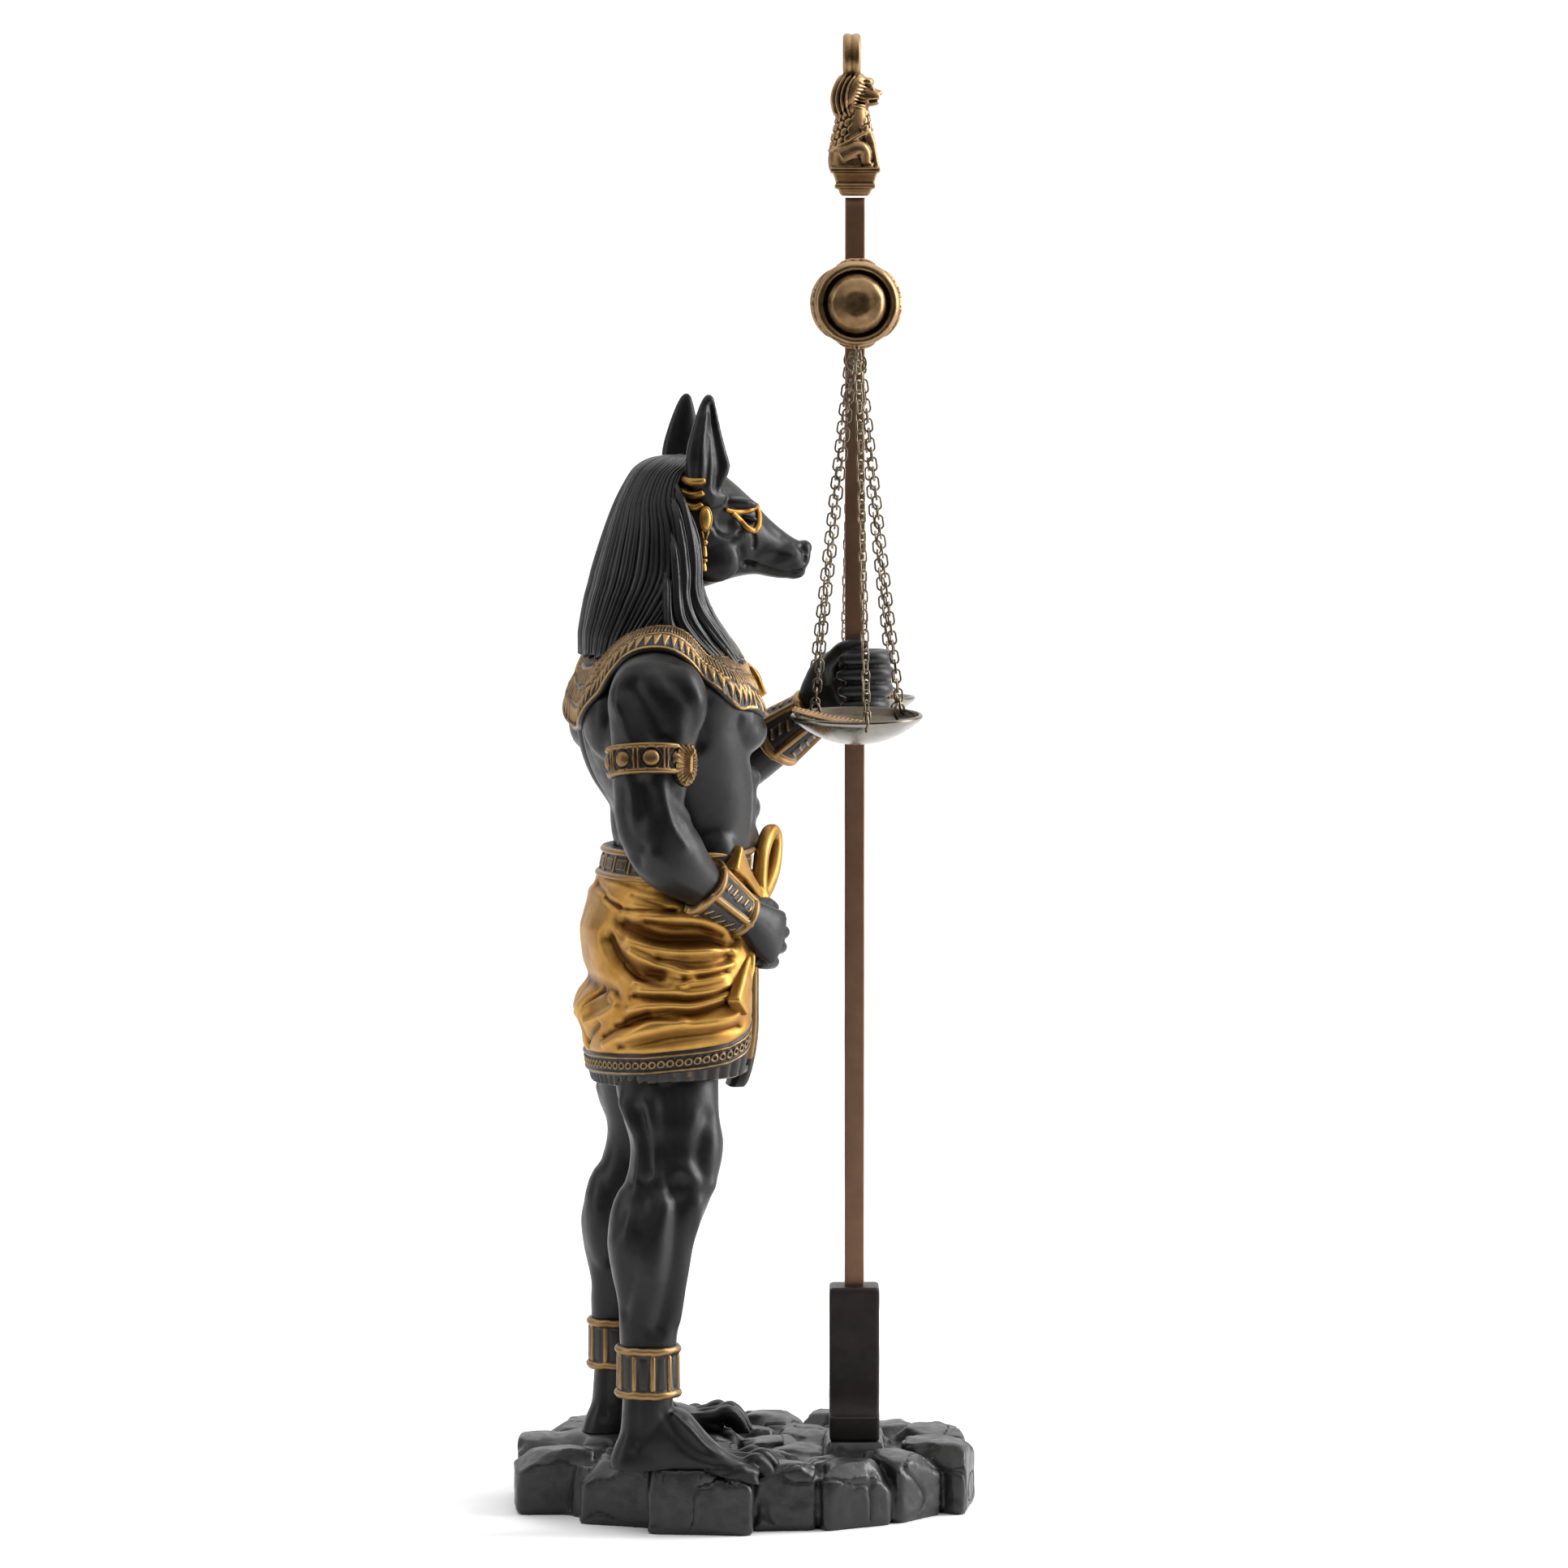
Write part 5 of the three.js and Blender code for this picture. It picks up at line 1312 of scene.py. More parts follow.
def build_body():
    parts = [column(TORSO, 64, 6, 2.25), limb(RIGHT_ARM[:-1], 40, 6), limb(LEFT_ARM[:-1], 40, 6)]
    for s in (-1, 1):
        parts += [
            # Chest, belly, flank, ribs, shoulder blade, broad back muscle and loin.
            blob((11.4, s * 9.6, 162.4), (7.9, 10.2, 7.0)),
            blob((12.9, s * 8.9, 159.8), (7.5, 9.4, 5.2), up=(-0.2, 0, 1)),
            blob((8.2, s * 14.6, 161.2), (6.2, 6.2, 5.0), (0.7, -s * 0.6, 0)),
            blob((15.2, s * 4.0, 150.2), (4.9, 4.8, 3.9)),
            blob((15.3, s * 3.9, 144.0), (4.7, 4.7, 3.9)),
            blob((15.4, s * 3.7, 138.0), (4.3, 4.6, 3.9)),
            blob((7.6, s * 14.2, 136), (6.0, 5.0, 6.6)),
            blob((6.2, s * 13.2, 148.6), (8.8, 6.4, 7.6), up=(0.3, 0, 1)),
            blob((-12.6, s * 10.0, 162.4), (4.6, 8.2, 9.4)),
            blob((-7.6, s * 17.4, 157), (6.0, 5.4, 10.5), up=(0.2, s * 0.25, 1)),
            blob((-6.2, s * 5.4, 143), (3.2, 4.6, 10.0)),
        ]
    parts += [
        # The near shoulder and arm: three heads of the shoulder, upper arm and forearm.
        blob((-0.9, -27.2, 166.6), (6.2, 6.8, 8.4), up=(-0.15, 0, 1)),
        blob((-9.6, -26.0, 166.2), (5.0, 6.0, 7.4), up=(0.35, 0, 1)),
        blob((-4.4, -28.2, 159.4), (4.6, 5.6, 6.4)),
        blob((-3.6, -28.2, 151.2), (4.6, 5.4, 7.8), up=(-0.1, 0, 1)),
        blob((-9.6, -27.4, 150.8), (4.2, 6.2, 9.0)),
        blob((-2.6, -28.4, 140.8), (4.9, 4.8, 7.2), up=(-0.75, 0, 1)),
        blob((0.6, -26.2, 134.8), (4.0, 4.0, 4.6), up=(-0.6, 0, 1)),
        # The far shoulder and arm.
        blob((0.2, 27.4, 166.4), (6.0, 6.6, 8.2), up=(0.1, 0.1, 1)),
        blob((-8.2, 26.4, 166.0), (5.4, 6.0, 7.2), up=(0.45, 0, 1)),
        blob((-1.4, 29.4, 159.6), (4.8, 5.2, 6.6)),
        blob((4.8, 32.4, 153.6), (5.4, 4.6, 7.4), up=(-0.6, -0.3, 1)),
        blob((-0.4, 31.6, 153), (4.6, 5.4, 8.4), up=(-0.6, -0.3, 1)),
        blob((16.2, 31.4, 150.4), (7.4, 5.6, 5.4), (0.8, -0.4, 0.45)),
    ]
    part = carve(fused(parts, 0.5 * FINE, 4), both(TRUNK_LINES))
    part = relaxed(carve(part, ARM_LINES), 2)
    cast("figure_body", part, "resin", 9, 3, 0.5, goal=56000)
    return tree_of(part)


LEG = [
    (27.6, -5.6, 0.1, 5.2, 4.9), (37.9, -5.6, 0, 5.7, 4.9), (46.3, -5.2, 0.2, 6.5, 5.6),
    (53, -5.2, 0.6, 7.8, 7), (59.3, -4.7, 1.4, 8.8, 8), (66, -2.2, 2.2, 9.2, 8),
    (72, 0.1, 3.2, 9.2, 7.4), (77.5, 0.9, 4.2, 9.4, 7.4), (83, -0.1, 5.2, 9.7, 8.2),
    (90, -0.6, 7.6, 10.4, 8.6), (98, -0.2, 9.4, 9.6, 8),
]


# The hollows and cords round the knee and along the calf and shin.
LEG_LINES = [
    (-1.3, 2.4, [(-2.1, -21.0, 89), (-1.9, -22.0, 84.5), (-2.1, -22.6, 79), (-2.1, -23.2, 74.3),
                 (-1.3, -24.4, 69.8)]),
    (0.8, 1.8, [(-5.6, -20.8, 87.0), (-4.8, -21.9, 81.8), (-4.4, -22.4, 77.9), (-4.2, -23, 72)]),
    (-1.0, 1.6, [(-7.4, -20.0, 84.4), (-6.6, -21.0, 78.5), (-6.2, -22.0, 73)]),
    (0.9, 1.6, [(-9.8, -15.5, 85.8), (-8.8, -18.5, 81.5), (-8.2, -20, 76.7), (-8.2, -21, 71.6)]),
    (-0.9, 2.2, [(6.6, -20.6, 83), (5.0, -22.2, 79), (4.3, -22.8, 75), (4.8, -22.4, 71)]),
    (0.6, 1.8, [(1.4, -23.5, 73.4), (5.0, -22.8, 70.4), (7.6, -20.6, 69.4)]),
    (-1.1, 2.0, [(-0.2, -24.7, 69.8), (-0.4, -25.6, 63.3), (-0.8, -25.6, 56.7),
                 (-2.4, -25, 48.3), (-4.2, -24.7, 42)]),
    (0.7, 1.8, [(-3.2, -25.6, 67.5), (-4.6, -26.3, 60.2), (-5.6, -26, 52)]),
    (-0.9, 1.8, [(-7.9, -24, 67.4), (-8.6, -25, 61.7), (-9.3, -25.2, 56.8), (-9.9, -24, 51),
                 (-10.8, -21.4, 45)]),
    (0.6, 1.6, [(3.4, -22.6, 66), (3.6, -22.6, 58), (1.8, -22.4, 50), (-0.4, -21.6, 43)]),
]


def build_legs():
    parts = []
    for s in (-1, 1):
        y = s * LEG_SPREAD
        parts += [
            column([(z, x, y - s * inward, a, b) for z, x, inward, a, b in LEG], 44, 6, 2.1),
            blob((6.2, y - s * 4.2, 77.6), (4.2, 5.0, 4.8)),
            blob((5.6, y - s * 3.6, 70.6), (3.2, 4.0, 3.4)),
            blob((-8.2, y - s * 2.4, 58.6), (5.2, 6.4, 12.0)),
            blob((-7.2, y + s * 2.2, 57.4), (4.8, 4.6, 10.0)),
        ]
    part = relaxed(carve(fused(parts, 0.5 * FINE, 3), both(LEG_LINES)), 2)
    cast("figure_legs", part, "resin", 9, 3, 0.5, goal=36000)
    for s, name in ((-1, "right"), (1, "left")):
        build_foot_of(s, f"figure_foot_{name}")


# Each toe's place across, how far it reaches ahead and how high it lies.
TOES = [(-1, 16.4, 0.2), (0, 17.6, 0.3), (1, 15.8, 0), (2, 11.8, -1.3)]


TOE_PITCH = 4.05


def build_foot_of(s, name):
    """Heel, instep with its cords, and four knuckled toes that end in claws."""
    y = s * LEG_SPREAD
    sole = SOLE[s]
    far = 2.2 if s > 0 else 0
    parts = [
        column([(11.4, -6.9, y, 6.3, 5.2), (14, -7.0, y, 6.4, 5.4), (17, -6.6, y, 5.9, 5.2),
                (20, -6.0, y, 5.3, 4.9), (24, -5.8, y, 5.1, 4.8),
                (29, -5.6, y - s * 0.1, 5.0, 4.7)], 44, 6, 2.1),
        limb([(-8.0, y, 16.4, 5.2, 5.0), (-4.0, y, 17.6, 5.3, 7.4),
              (-1.0, y + s * 0.3, 17.6, 5.3, 7.4), (1.4, y + s * 0.6, 16.8, 5.6, 6.2),
              (4.4, y + s * 1.0, 15.6, 6.2, 4.4), (7.6, y + s * 1.5, 14.3 + 0.8 * far, 7.0, 3.0),
              (11.0, y + s * 1.8, 13.2 + far, 7.6, 2.2),
              (14.0, y + s * 1.8, 12.5 + far, 7.4, 1.8),
              (15.6, y + s * 1.8, 12.0 + far, 6.4, 1.3)], 36, 6, (0, 1, 0), 2.3),
    ]
    grooves = []
    for k, tip, lift in TOES:
        across = y + s * (1.8 + (k - 0.5) * TOE_PITCH)
        lift += sole - 14.4 + far
        toe = [(-7.4, 14.4, 0.9, 1.0), (-4.6, 14.5, 1.6, 1.4), (-2.2, 14.9, 1.75, 1.6),
               (-0.2, 15.4, 2.0, 1.9), (1.4, 14.2, 1.7, 1.8), (2.4, 12.6, 1.45, 1.6),
               (2.9, 11.2, 1.0, 1.1)]
        claw = [(1.9, 13.3, 1.2, 1.2), (3.2, 12.2, 0.95, 1.1), (4.2, 10.8, 0.55, 0.7),
                (4.8, 9.6, 0.15, 0.2)]
        toe_rows = [(tip + dx, across, z + lift, a, b) for dx, z, a, b in toe]
        toe_rows[0] = (tip - 7.4, across * 0.92 + y * 0.08, 14.4 + lift, 0.9, 1.0)
        parts += [
            limb(toe_rows, 20, 6),
            blob((tip - 0.1, across, 15.6 + lift), (1.7, 1.95, 1.75)),
            limb([(tip + dx, across, z + lift, a, b) for dx, z, a, b in claw], 16, 6),
            # The cord that runs back from this toe to the ankle.
            limb([(-1.6, y + s * (0.4 + (k - 0.5) * 2.3), 24.2, 0.5, 0.7),
                  (1.6, y + s * (0.8 + (k - 0.5) * 2.8), 20.9 + 0.4 * far, 0.8, 1.1),
                  (4.6, y + s * (1.2 + (k - 0.5) * 3.3), 18.0 + 0.3 * lift + 0.3 * far, 0.85, 1.2),
                  (8.0, y + s * (1.6 + (k - 0.5) * 3.8), 16.0 + 0.5 * lift, 0.85, 1.0),
                  (tip - 3.0, across, 15.4 + lift, 0.9, 1.0)], 14, 6),
        ]
        if k < 2:
            beside = y + s * (1.8 + k * TOE_PITCH)
            grooves.append((-0.9, 0.8, [
                (0.4, y + s * (0.7 + k * 2.6), 22.6), (3.6, y + s * (1.1 + k * 3.1), 19.0),
                (8.4, y + s * (1.6 + k * 3.8), 16.2), (13.6, beside, 15.0)]))
    grooves += [
        (-0.8, 1.2, [(-2.6, y + s * 5.2, 24.4), (-0.4, y + s * 5.8, 20.6),
                     (3.0, y + s * 6.4, 17.2), (6.4, y + s * 7.6, 15.6)]),
        (-0.8, 1.4, [(-3.4, y - s * 5.2, 22.6), (0.4, y - s * 5.2, 19.4), (4.6, y - s * 5.0, 16.6)]),
    ]
    for way in (s, -s):
        grooves.append((-0.5, 1.3, [(-9.0, y + way * 4.2, 27), (-9.2, y + way * 4.6, 22),
                                    (-9.4, y + way * 4.9, 18)]))
    part = relaxed(carve(fused(parts, 0.32 * FINE, 2), grooves), 1)
    v = part[0]
    slope = (2.7 if s < 0 else 0.8) * smoothstep(3, 16, v[:, 0])
    v[:, 2] = np.maximum(v[:, 2], sole - slope)
    cast(name, part, "resin", 11, 2, 0.5, goal=24000)


def head_turned(p):
    """Points of the straight head, turned a little to its left about the neck."""
    a = rad(4)
    q = np.array(p, float)
    x, y = q[..., 0] - 2, q[..., 1].copy()
    q[..., 0] = 2 + x * math.cos(a) - y * math.sin(a)
    q[..., 1] = x * math.sin(a) + y * math.cos(a)
    return q


# The skull, from place ahead, top, bottom and half width.
SKULL = [
    (-5, 209, 192, 5.5), (-2, 212.6, 190, 8.6), (3, 214.2, 188.4, 10.2), (8, 213.6, 188.2, 10.2),
    (12.4, 211.4, 189.4, 9.0), (16.2, 208.4, 190.4, 7.6), (19.6, 205.2, 190.8, 6.0),
    (22.4, 202.2, 190.3, 5.0), (25.6, 199.5, 189.9, 4.3), (28.4, 197.7, 190.6, 3.9),
    (30.2, 197.2, 192, 3.0), (31.0, 196.2, 193.8, 1.5),
]


# One ear, from height, place ahead and across, and two half widths.
EAR = [
    (204.6, 8.0, 9.4, 1.2, 1.6), (206.6, 7.6, 9.8, 2.5, 2.3), (209.4, 7.3, 10.3, 4.0, 2.7),
    (212.8, 7.6, 10.6, 4.7, 2.8), (216, 7.3, 10.7, 4.3, 2.6), (219.6, 7.3, 10.5, 3.4, 2.2),
    (223.2, 7.5, 10.2, 2.4, 1.7), (226, 7.7, 9.9, 1.4, 1.1), (227.3, 7.8, 9.7, 0.5, 0.5),
]


# Grooves and ridges of the face: height, width, and places ahead and up.
FACE_LINES = [
    # The eye's socket, the hollow behind it, its lids and the tear line.
    (-0.9, 1.3, [(15.6, 202.4), (17.6, 202.2)]),
    (-1.0, 1.7, [(10.4, 201.6), (12.2, 201.4)]),
    (-0.45, 0.45, [(8.4, 201.8), (9.8, 199.4), (12.6, 198.5), (14.9, 199.7)]),
    (0.3, 0.5, [(9.2, 200.2), (11.4, 198.9), (13.6, 199.2)]),
    (-0.5, 0.35, [(17.7, 199.6), (18.1, 197.8), (17.9, 196.6)]),
    # The mouth, its corner and the lip above it.
    (-0.6, 0.4, [(17.0, 192.8), (18.9, 192.7), (21.6, 191.9), (25.2, 191.0), (28.6, 191.5)]),
    (-1.0, 0.7, [(17.0, 193.0), (18.2, 192.8)]),
    (-0.45, 0.8, [(14.8, 196.3), (15.3, 194.2), (16.6, 192.7)]),
    (0.3, 1.0, [(19.6, 194.8), (23.5, 195.4), (26.6, 194.2), (27.6, 192.6)]),
    # The nostril, the edge of the nose, the side of the muzzle and the brow.
    (-0.8, 0.5, [(29.0, 196.4), (29.9, 195.5)]),
    (-0.5, 0.5, [(27.6, 197.0), (29.0, 195.2), (29.3, 193.4)]),
    (-0.25, 0.9, [(20.2, 203.2), (21.8, 200.6), (24, 198.6)]),
    (0.3, 0.8, [(10.2, 207.4), (13, 206), (16.4, 205.6), (19.4, 205.2)]),
]


EAR_HOLLOW = [(9.4, 208), (9.7, 212.6), (9.2, 217), (8.5, 222), (8, 225)]


EAR_LINES = [(0.5, 0.7, [(5.2, 210), (5.4, 214), (5.8, 218.5), (6.8, 223)]),
             (-0.35, 0.5, [(6.6, 209.6), (6.9, 214), (7.2, 219)])]


def build_head():
    t = turns(56, 0.5)
    c, s = np.cos(t), np.sin(t)
    rings = []
    for x, top, bottom, half in spline(SKULL, 6):
        width = half * (1 - 0.16 * smoothstep(10, 24, x) * np.maximum(s, 0))
        z = (top + bottom) / 2 + powered(s, 0.92) * ((top - bottom) / 2)
        rings.append(np.stack([np.full(56, x), powered(c, 0.92) * width, z], -1))
    parts = [grid(np.array(rings), wrap_v=True, cap=True),
             blob((29.9, 0, 196.1), (1.7, 2.1, 1.6)), blob((27.6, 0, 191.2), (2.6, 2.6, 1.5))]
    for k in (-1, 1):
        parts += [
            # Brow, cheek, muzzle, lid, the root of the ear and the ear.
            blob((14.2, k * 6.3, 205.4), (4.6, 2.2, 1.3), (1, 0, -0.12)),
            blob((9.4, k * 7.4, 194.2), (5.6, 2.6, 4.8)),
            blob((24.6, k * 3.2, 194.6), (4.6, 1.7, 2.4), (1, 0, 0.1)),
            blob((14.8, k * 6.4, 198.6), (4.6, 1.8, 1.2), (1, -k * 0.35, 0.1)),
            blob((7.6, k * 8.2, 207), (4.2, 3.4, 3.6)),
            column([(z, x, k * y, a, b) for z, x, y, a, b in EAR], 32, 5),
        ]
    part = fused(parts, 0.34 * FINE, 4)
    v, n = part[0], normals(part)
    side = np.where(v[:, 1] < 0, -1.0, 1.0)
    flat = v * (1, 0, 1)
    outside = np.clip(n[:, 1] * side, 0, 1) ** 0.5

    def from_line(pairs):
        return gap_to(flat, spline([(x, 0, z) for x, z in pairs], 4))

    # Ear: a hollow that opens ahead and outwards, behind it a ridge.
    out = np.clip(n[:, 1] * side * 0.8 + n[:, 0] * 0.5, 0, 1)
    ear = smoothstep(206, 208.5, v[:, 2]) * (np.abs(v[:, 1]) > 7.6)
    wide = 0.6 + 1.9 * np.sin(pi * np.clip((v[:, 2] - 205) / 22, 0, 1)) ** 0.8
    amount = -ear * out * 1.9 * bell(from_line(EAR_HOLLOW), wide) * np.minimum(1, wide / 2)
    for height, width, line in EAR_LINES:
        amount += ear * (height * bell(from_line(line), width) * outside)
    for height, width, line in FACE_LINES:
        amount += height * bell(from_line(line), width) * outside
    lip = (v[:, 0] > 29.6) * (v[:, 2] < 196) * (v[:, 2] > 192)
    amount -= 0.4 * bell(v[:, 1], 0.35) * lip
    part = relaxed(push(part, amount, n), 1)
    turned = (head_turned(part[0]), part[1])
    cast("figure_head", turned, "resin", 16, 2, 0.5, goal=42000)
    return tree_of(part)


def turned_out(part):
    """The same closed part with all its faces looking outwards."""
    v, faces = part
    total = 0
    for f in faces:
        for k in range(1, f.shape[1] - 1):
            a, b, c = v[f[:, 0]], v[f[:, k]], v[f[:, k + 1]]
            total += np.sum(a * np.cross(b, c))
    return (v, [f[:, ::-1] for f in faces]) if total < 0 else part


def shell(outer, inner):
    """A thick sheet. outer is [n, 6k+1, 3]; inner, its back, has every sixth column: [n, k+1, 3]."""
    n, m = outer.shape[:2]
    k = inner.shape[1]
    front, face_a = grid(outer)
    back, face_b = grid(inner)
    start = n * m
    faces = [face_a[0], face_b[0][:, ::-1] + start]
    i = np.arange(n - 1)
    for col, back_col, flip in ((0, 0, 1), (m - 1, k - 1, -1)):
        side = [i * m + col, (i + 1) * m + col, start + (i + 1) * k + back_col,
                start + i * k + back_col]
        faces.append(np.stack(side, -1)[:, ::flip])
    j = np.arange(k - 1)
    for row, flip in ((0, -1), (n - 1, 1)):
        edge = [row * m + 6 * j + s for s in range(7)]
        edge += [start + row * k + j + 1, start + row * k + j]
        faces.append(np.stack(edge, -1)[:, ::flip])
    return turned_out((np.concatenate([front, back]), faces))


def uneven(count, spread, seed):
    """Edges of uneven stripes between 0 and 1."""
    size = np.array([1 + spread * (2 * hashed(seed + 3.7 * i) - 1) for i in range(count)])
    return np.concatenate([[0], np.cumsum(size)]) / size.sum()


def stripes(u, edges):
    """Which stripe u is in, and how far across it from 0 to 1."""
    place = np.interp(u, edges, np.arange(len(edges)))
    k = np.minimum(np.floor(place), len(edges) - 2)
    return k.astype(int), np.clip(place - k, 0, 1)


# The outside of the wig, from height, middle, two half widths and where its edge lies in
# degrees from the front.
WIG = [
    (215.4, 4.2, 0.4, 0.5, 40), (215.1, 3.5, 2.6, 3.0, 45), (214.4, 2.8, 4.9, 5.8, 55),
    (213, 2.2, 6.7, 8.2, 68), (211, 1.9, 8.1, 9.9, 84), (206, 0.6, 9.4, 12, 84),
    (200, -0.6, 10.4, 13.8, 71), (193, -1.6, 11.6, 15.2, 66), (189, -2, 12.2, 16.2, 71),
    (186, -2.2, 12.8, 17, 79), (180, -1.6, 14.5, 18.6, 99), (177.6, -1.2, 15, 19, 106),
    (175, -0.8, 15.4, 19.4, 112),
]
# One side's locks before the shoulder: places and half widths.
LOCKS = [
    [(0.6, 8.6, 211, 0.3), (2.0, 11.4, 208, 0.7), (3.0, 13.0, 204, 0.95), (3.9, 14.2, 199, 1.15),
     (4.4, 14.9, 194, 1.3), (4.4, 15.1, 188.4, 1.35), (5.6, 14.9, 184.4, 1.4), (8.8, 13.9, 179.6, 1.45),
     (12.0, 12.8, 175.4, 1.3), (14.2, 11.6, 172.4, 0.7)],
    [(1.6, 8.6, 207, 0.3), (3.6, 11.4, 203.6, 0.9), (5.0, 12.6, 199, 1.15), (5.6, 12.9, 194, 1.25),
     (5.6, 13.2, 188.2, 1.25), (7.2, 12.9, 183.4, 1.25), (10.3, 12.0, 179.2, 1.2),
     (13.1, 10.8, 175.6, 1.05), (15.2, 9.6, 173, 0.6)],
    [(0.0, 9.6, 208, 0.3), (1.2, 12.6, 205, 0.8), (2.2, 14.4, 199, 1.1), (2.6, 15.6, 192, 1.3),
     (2.3, 16.2, 187, 1.35), (3.6, 16.6, 182.2, 1.4), (6.5, 16.3, 178, 1.3), (9.6, 15.4, 174.8, 1.0),
     (11.2, 14.8, 173.2, 0.5)],
    [(-0.6, 12.2, 201, 0.3), (0.6, 14.8, 197, 0.9), (0.9, 16.0, 191, 1.15), (0.8, 16.8, 186.4, 1.25),
     (1.4, 17.5, 182.4, 1.25), (3.8, 17.9, 178.8, 1.1), (6.6, 17.8, 176.2, 0.8), (8.2, 17.4, 175, 0.5)],
    [(-2.0, 13.8, 194, 0.3), (-1.2, 16.0, 190, 0.9), (-1.4, 17.4, 185, 1.1), (-0.9, 18.3, 181, 1.15),
     (1.4, 18.9, 178.2, 0.9), (3.8, 19.1, 176.6, 0.5)],
    [(3.6, 7.4, 201, 0.3), (5.8, 9.8, 197, 0.9), (6.4, 10.8, 189, 1.0), (8.6, 11.0, 183.4, 1.0),
     (11.8, 9.8, 178.8, 1.0), (14.6, 8.2, 175, 0.9), (15.8, 7.2, 173.2, 0.5)],
]
# The mass under them: places and two half widths.
LOCK_MASS = [
    (0.6, 9.4, 208, 1.6, 1.0), (1.6, 11.6, 202, 2.2, 1.4), (1.9, 13.0, 195, 2.6, 1.8),
    (2.1, 13.6, 189, 2.8, 2.0), (3.8, 13.4, 184, 3.0, 2.0), (7.0, 12.8, 179, 3.2, 1.8),
    (10.6, 11.4, 175.4, 2.8, 1.4), (12.4, 10.6, 173.4, 2.2, 1.0),
]


# The outer edge of the collar, from degrees round, and place.
STRANDS = 46


BROAD_LOCKS = 15


def build_wig():
    """The long hair behind the ears: uneven strands over a form that opens round the face."""
    rows = spline(WIG, 8)
    back = np.stack([rows[:, 1] - rows[:, 2], rows[:, 0]], -1)
    way = np.concatenate([[0], np.cumsum(np.linalg.norm(np.diff(back, axis=0), axis=1))])
    n, k = int(100 / FINE), int(84 / FINE)
    t = np.linspace(0, 1, n)
    z, cx, a, b, edge = [np.interp(t * way[-1], way, rows[:, i])[:, None] for i in range(5)]
    u = np.linspace(0, 1, 6 * k + 1)[None, :]
    t = t[:, None] + 0 * u
    turn = np.radians(edge + (360 - 2 * edge) * u)
    c, s = np.cos(turn), np.sin(turn)
    p = 2 / 2.1
    base = np.stack([cx + a * powered(c, p), -b * powered(s, p), z + 0 * c], -1)
    out = unit(np.cross(np.gradient(base, axis=0), np.gradient(base, axis=1)))
    out *= np.sign(np.sum(out * np.stack([c, -s, 0.3 + 0 * c], -1), -1, keepdims=True))
    # Strands drift a little to the side on their way down.
    spot = np.stack([u * 9 + 0 * t, 2.4 * t, 0 * t], -1).reshape(-1, 3)
    drift = 0.011 * noise(spot, 1, 3, 2).reshape(t.shape) * smoothstep(0.05, 0.3, t)
    drift = np.clip(u + drift, 0, 1)
    strand, f = stripes(drift, uneven(STRANDS, 0.45, 2))
    g = stripes(drift, uneven(BROAD_LOCKS, 0.4, 9))[1]
    size = np.array([[hashed(3 * i + q) for i in range(STRANDS)] for q in (1, 5, 8)])
    spacing = np.linalg.norm(np.diff(base, axis=1), axis=-1).sum(1)[:, None] / STRANDS
    room = np.clip(spacing / 1.5, 0, 1)
    height = (0.42 + 0.34 * size[0][strand]) * bead(2 * f - 1, 1) * room
    height += room * 0.26 * (size[1][strand] - 0.5) * smoothstep(0.1, 0.4, t)
    height += 0.025 * np.cos(6 * pi * f + strand) * room
    height -= 0.5 * bell(np.minimum(g, 1 - g), 0.05) * smoothstep(0.25, 0.6, t)
    height *= smoothstep(0, 0.05, t)
    surface = base + out * (height - 0.3)[..., None]
    surface[..., 2] += smoothstep(0.93, 1, t) * 1.6 * (size[2][strand] - 0.5)
    deep = np.minimum(2.0, 0.5 * a + 0 * u)[..., None]
    part = shell(surface, (base - out * deep)[:, ::6])
    cast("figure_hair", part, "hair", 7, 1, 0.6, goal=80000)


def twisted_lock(rows, number):
    """A lock with grooves that turn slowly round it."""
    path, r = rows[:, :3], rows[:, 3]
    ahead = unit(np.gradient(path, axis=0))
    up = square_to(unit((path - (2, 0, 0)) * (1, 1, 0)), ahead)
    across = np.cross(ahead, up)
    q = turns(40)
    along = np.linspace(0, 1, len(r))[:, None]
    twist = q[None, :] + 0.5 * np.sin(3 * along + number)
    grooves = np.sqrt(np.abs(np.sin(3.5 * twist + number)))
    rr = r[:, None] * (0.78 + 0.3 * grooves)
    pts = path[:, None] + (rr * np.cos(q))[..., None] * across[:, None]
    pts = pts + (0.9 * rr * np.sin(q) - 0.4 * r[:, None])[..., None] * up[:, None]
    return turned_out(grid(pts, wrap_v=True, cap=True))


def build_locks():
    """The locks that fall before the shoulders, on the mass that carries them."""
    parts = []
    for side in (-1, 1):
        for number, rows in enumerate(LOCKS):
            mirrored = [(x, side * y, z, r) for x, y, z, r in rows]
            parts.append(twisted_lock(spline(mirrored, 7), number))
        mass = [(x, side * y, z, a, b) for x, y, z, a, b in LOCK_MASS]
        parts.append(turned_out(limb(mass, 24, 5, (0.86, side * -0.3, 0.4))))
    cast("figure_locks", join(parts), "hair", 7, 1, 0.6, goal=34000)


COLLAR = np.array([
    (0, 19.9, 0, 161.0), (20, 19.0, 7, 161.4), (38, 15.9, 13.4, 162.6), (52, 11.6, 17.6, 164.4),
    (62, 8.0, 20, 166.6), (72, 5.0, 22.2, 169.4), (82, 1.6, 24.4, 173.6), (92, -3.0, 25.6, 176.4),
    (105, -8.4, 24.8, 176.0), (122, -12.8, 21.2, 172.6), (140, -15.0, 16.4, 167.4),
    (160, -16.7, 8.6, 161.2), (180, -17.4, 0, 159.6),
])


TOOTH_PITCH = 1.95


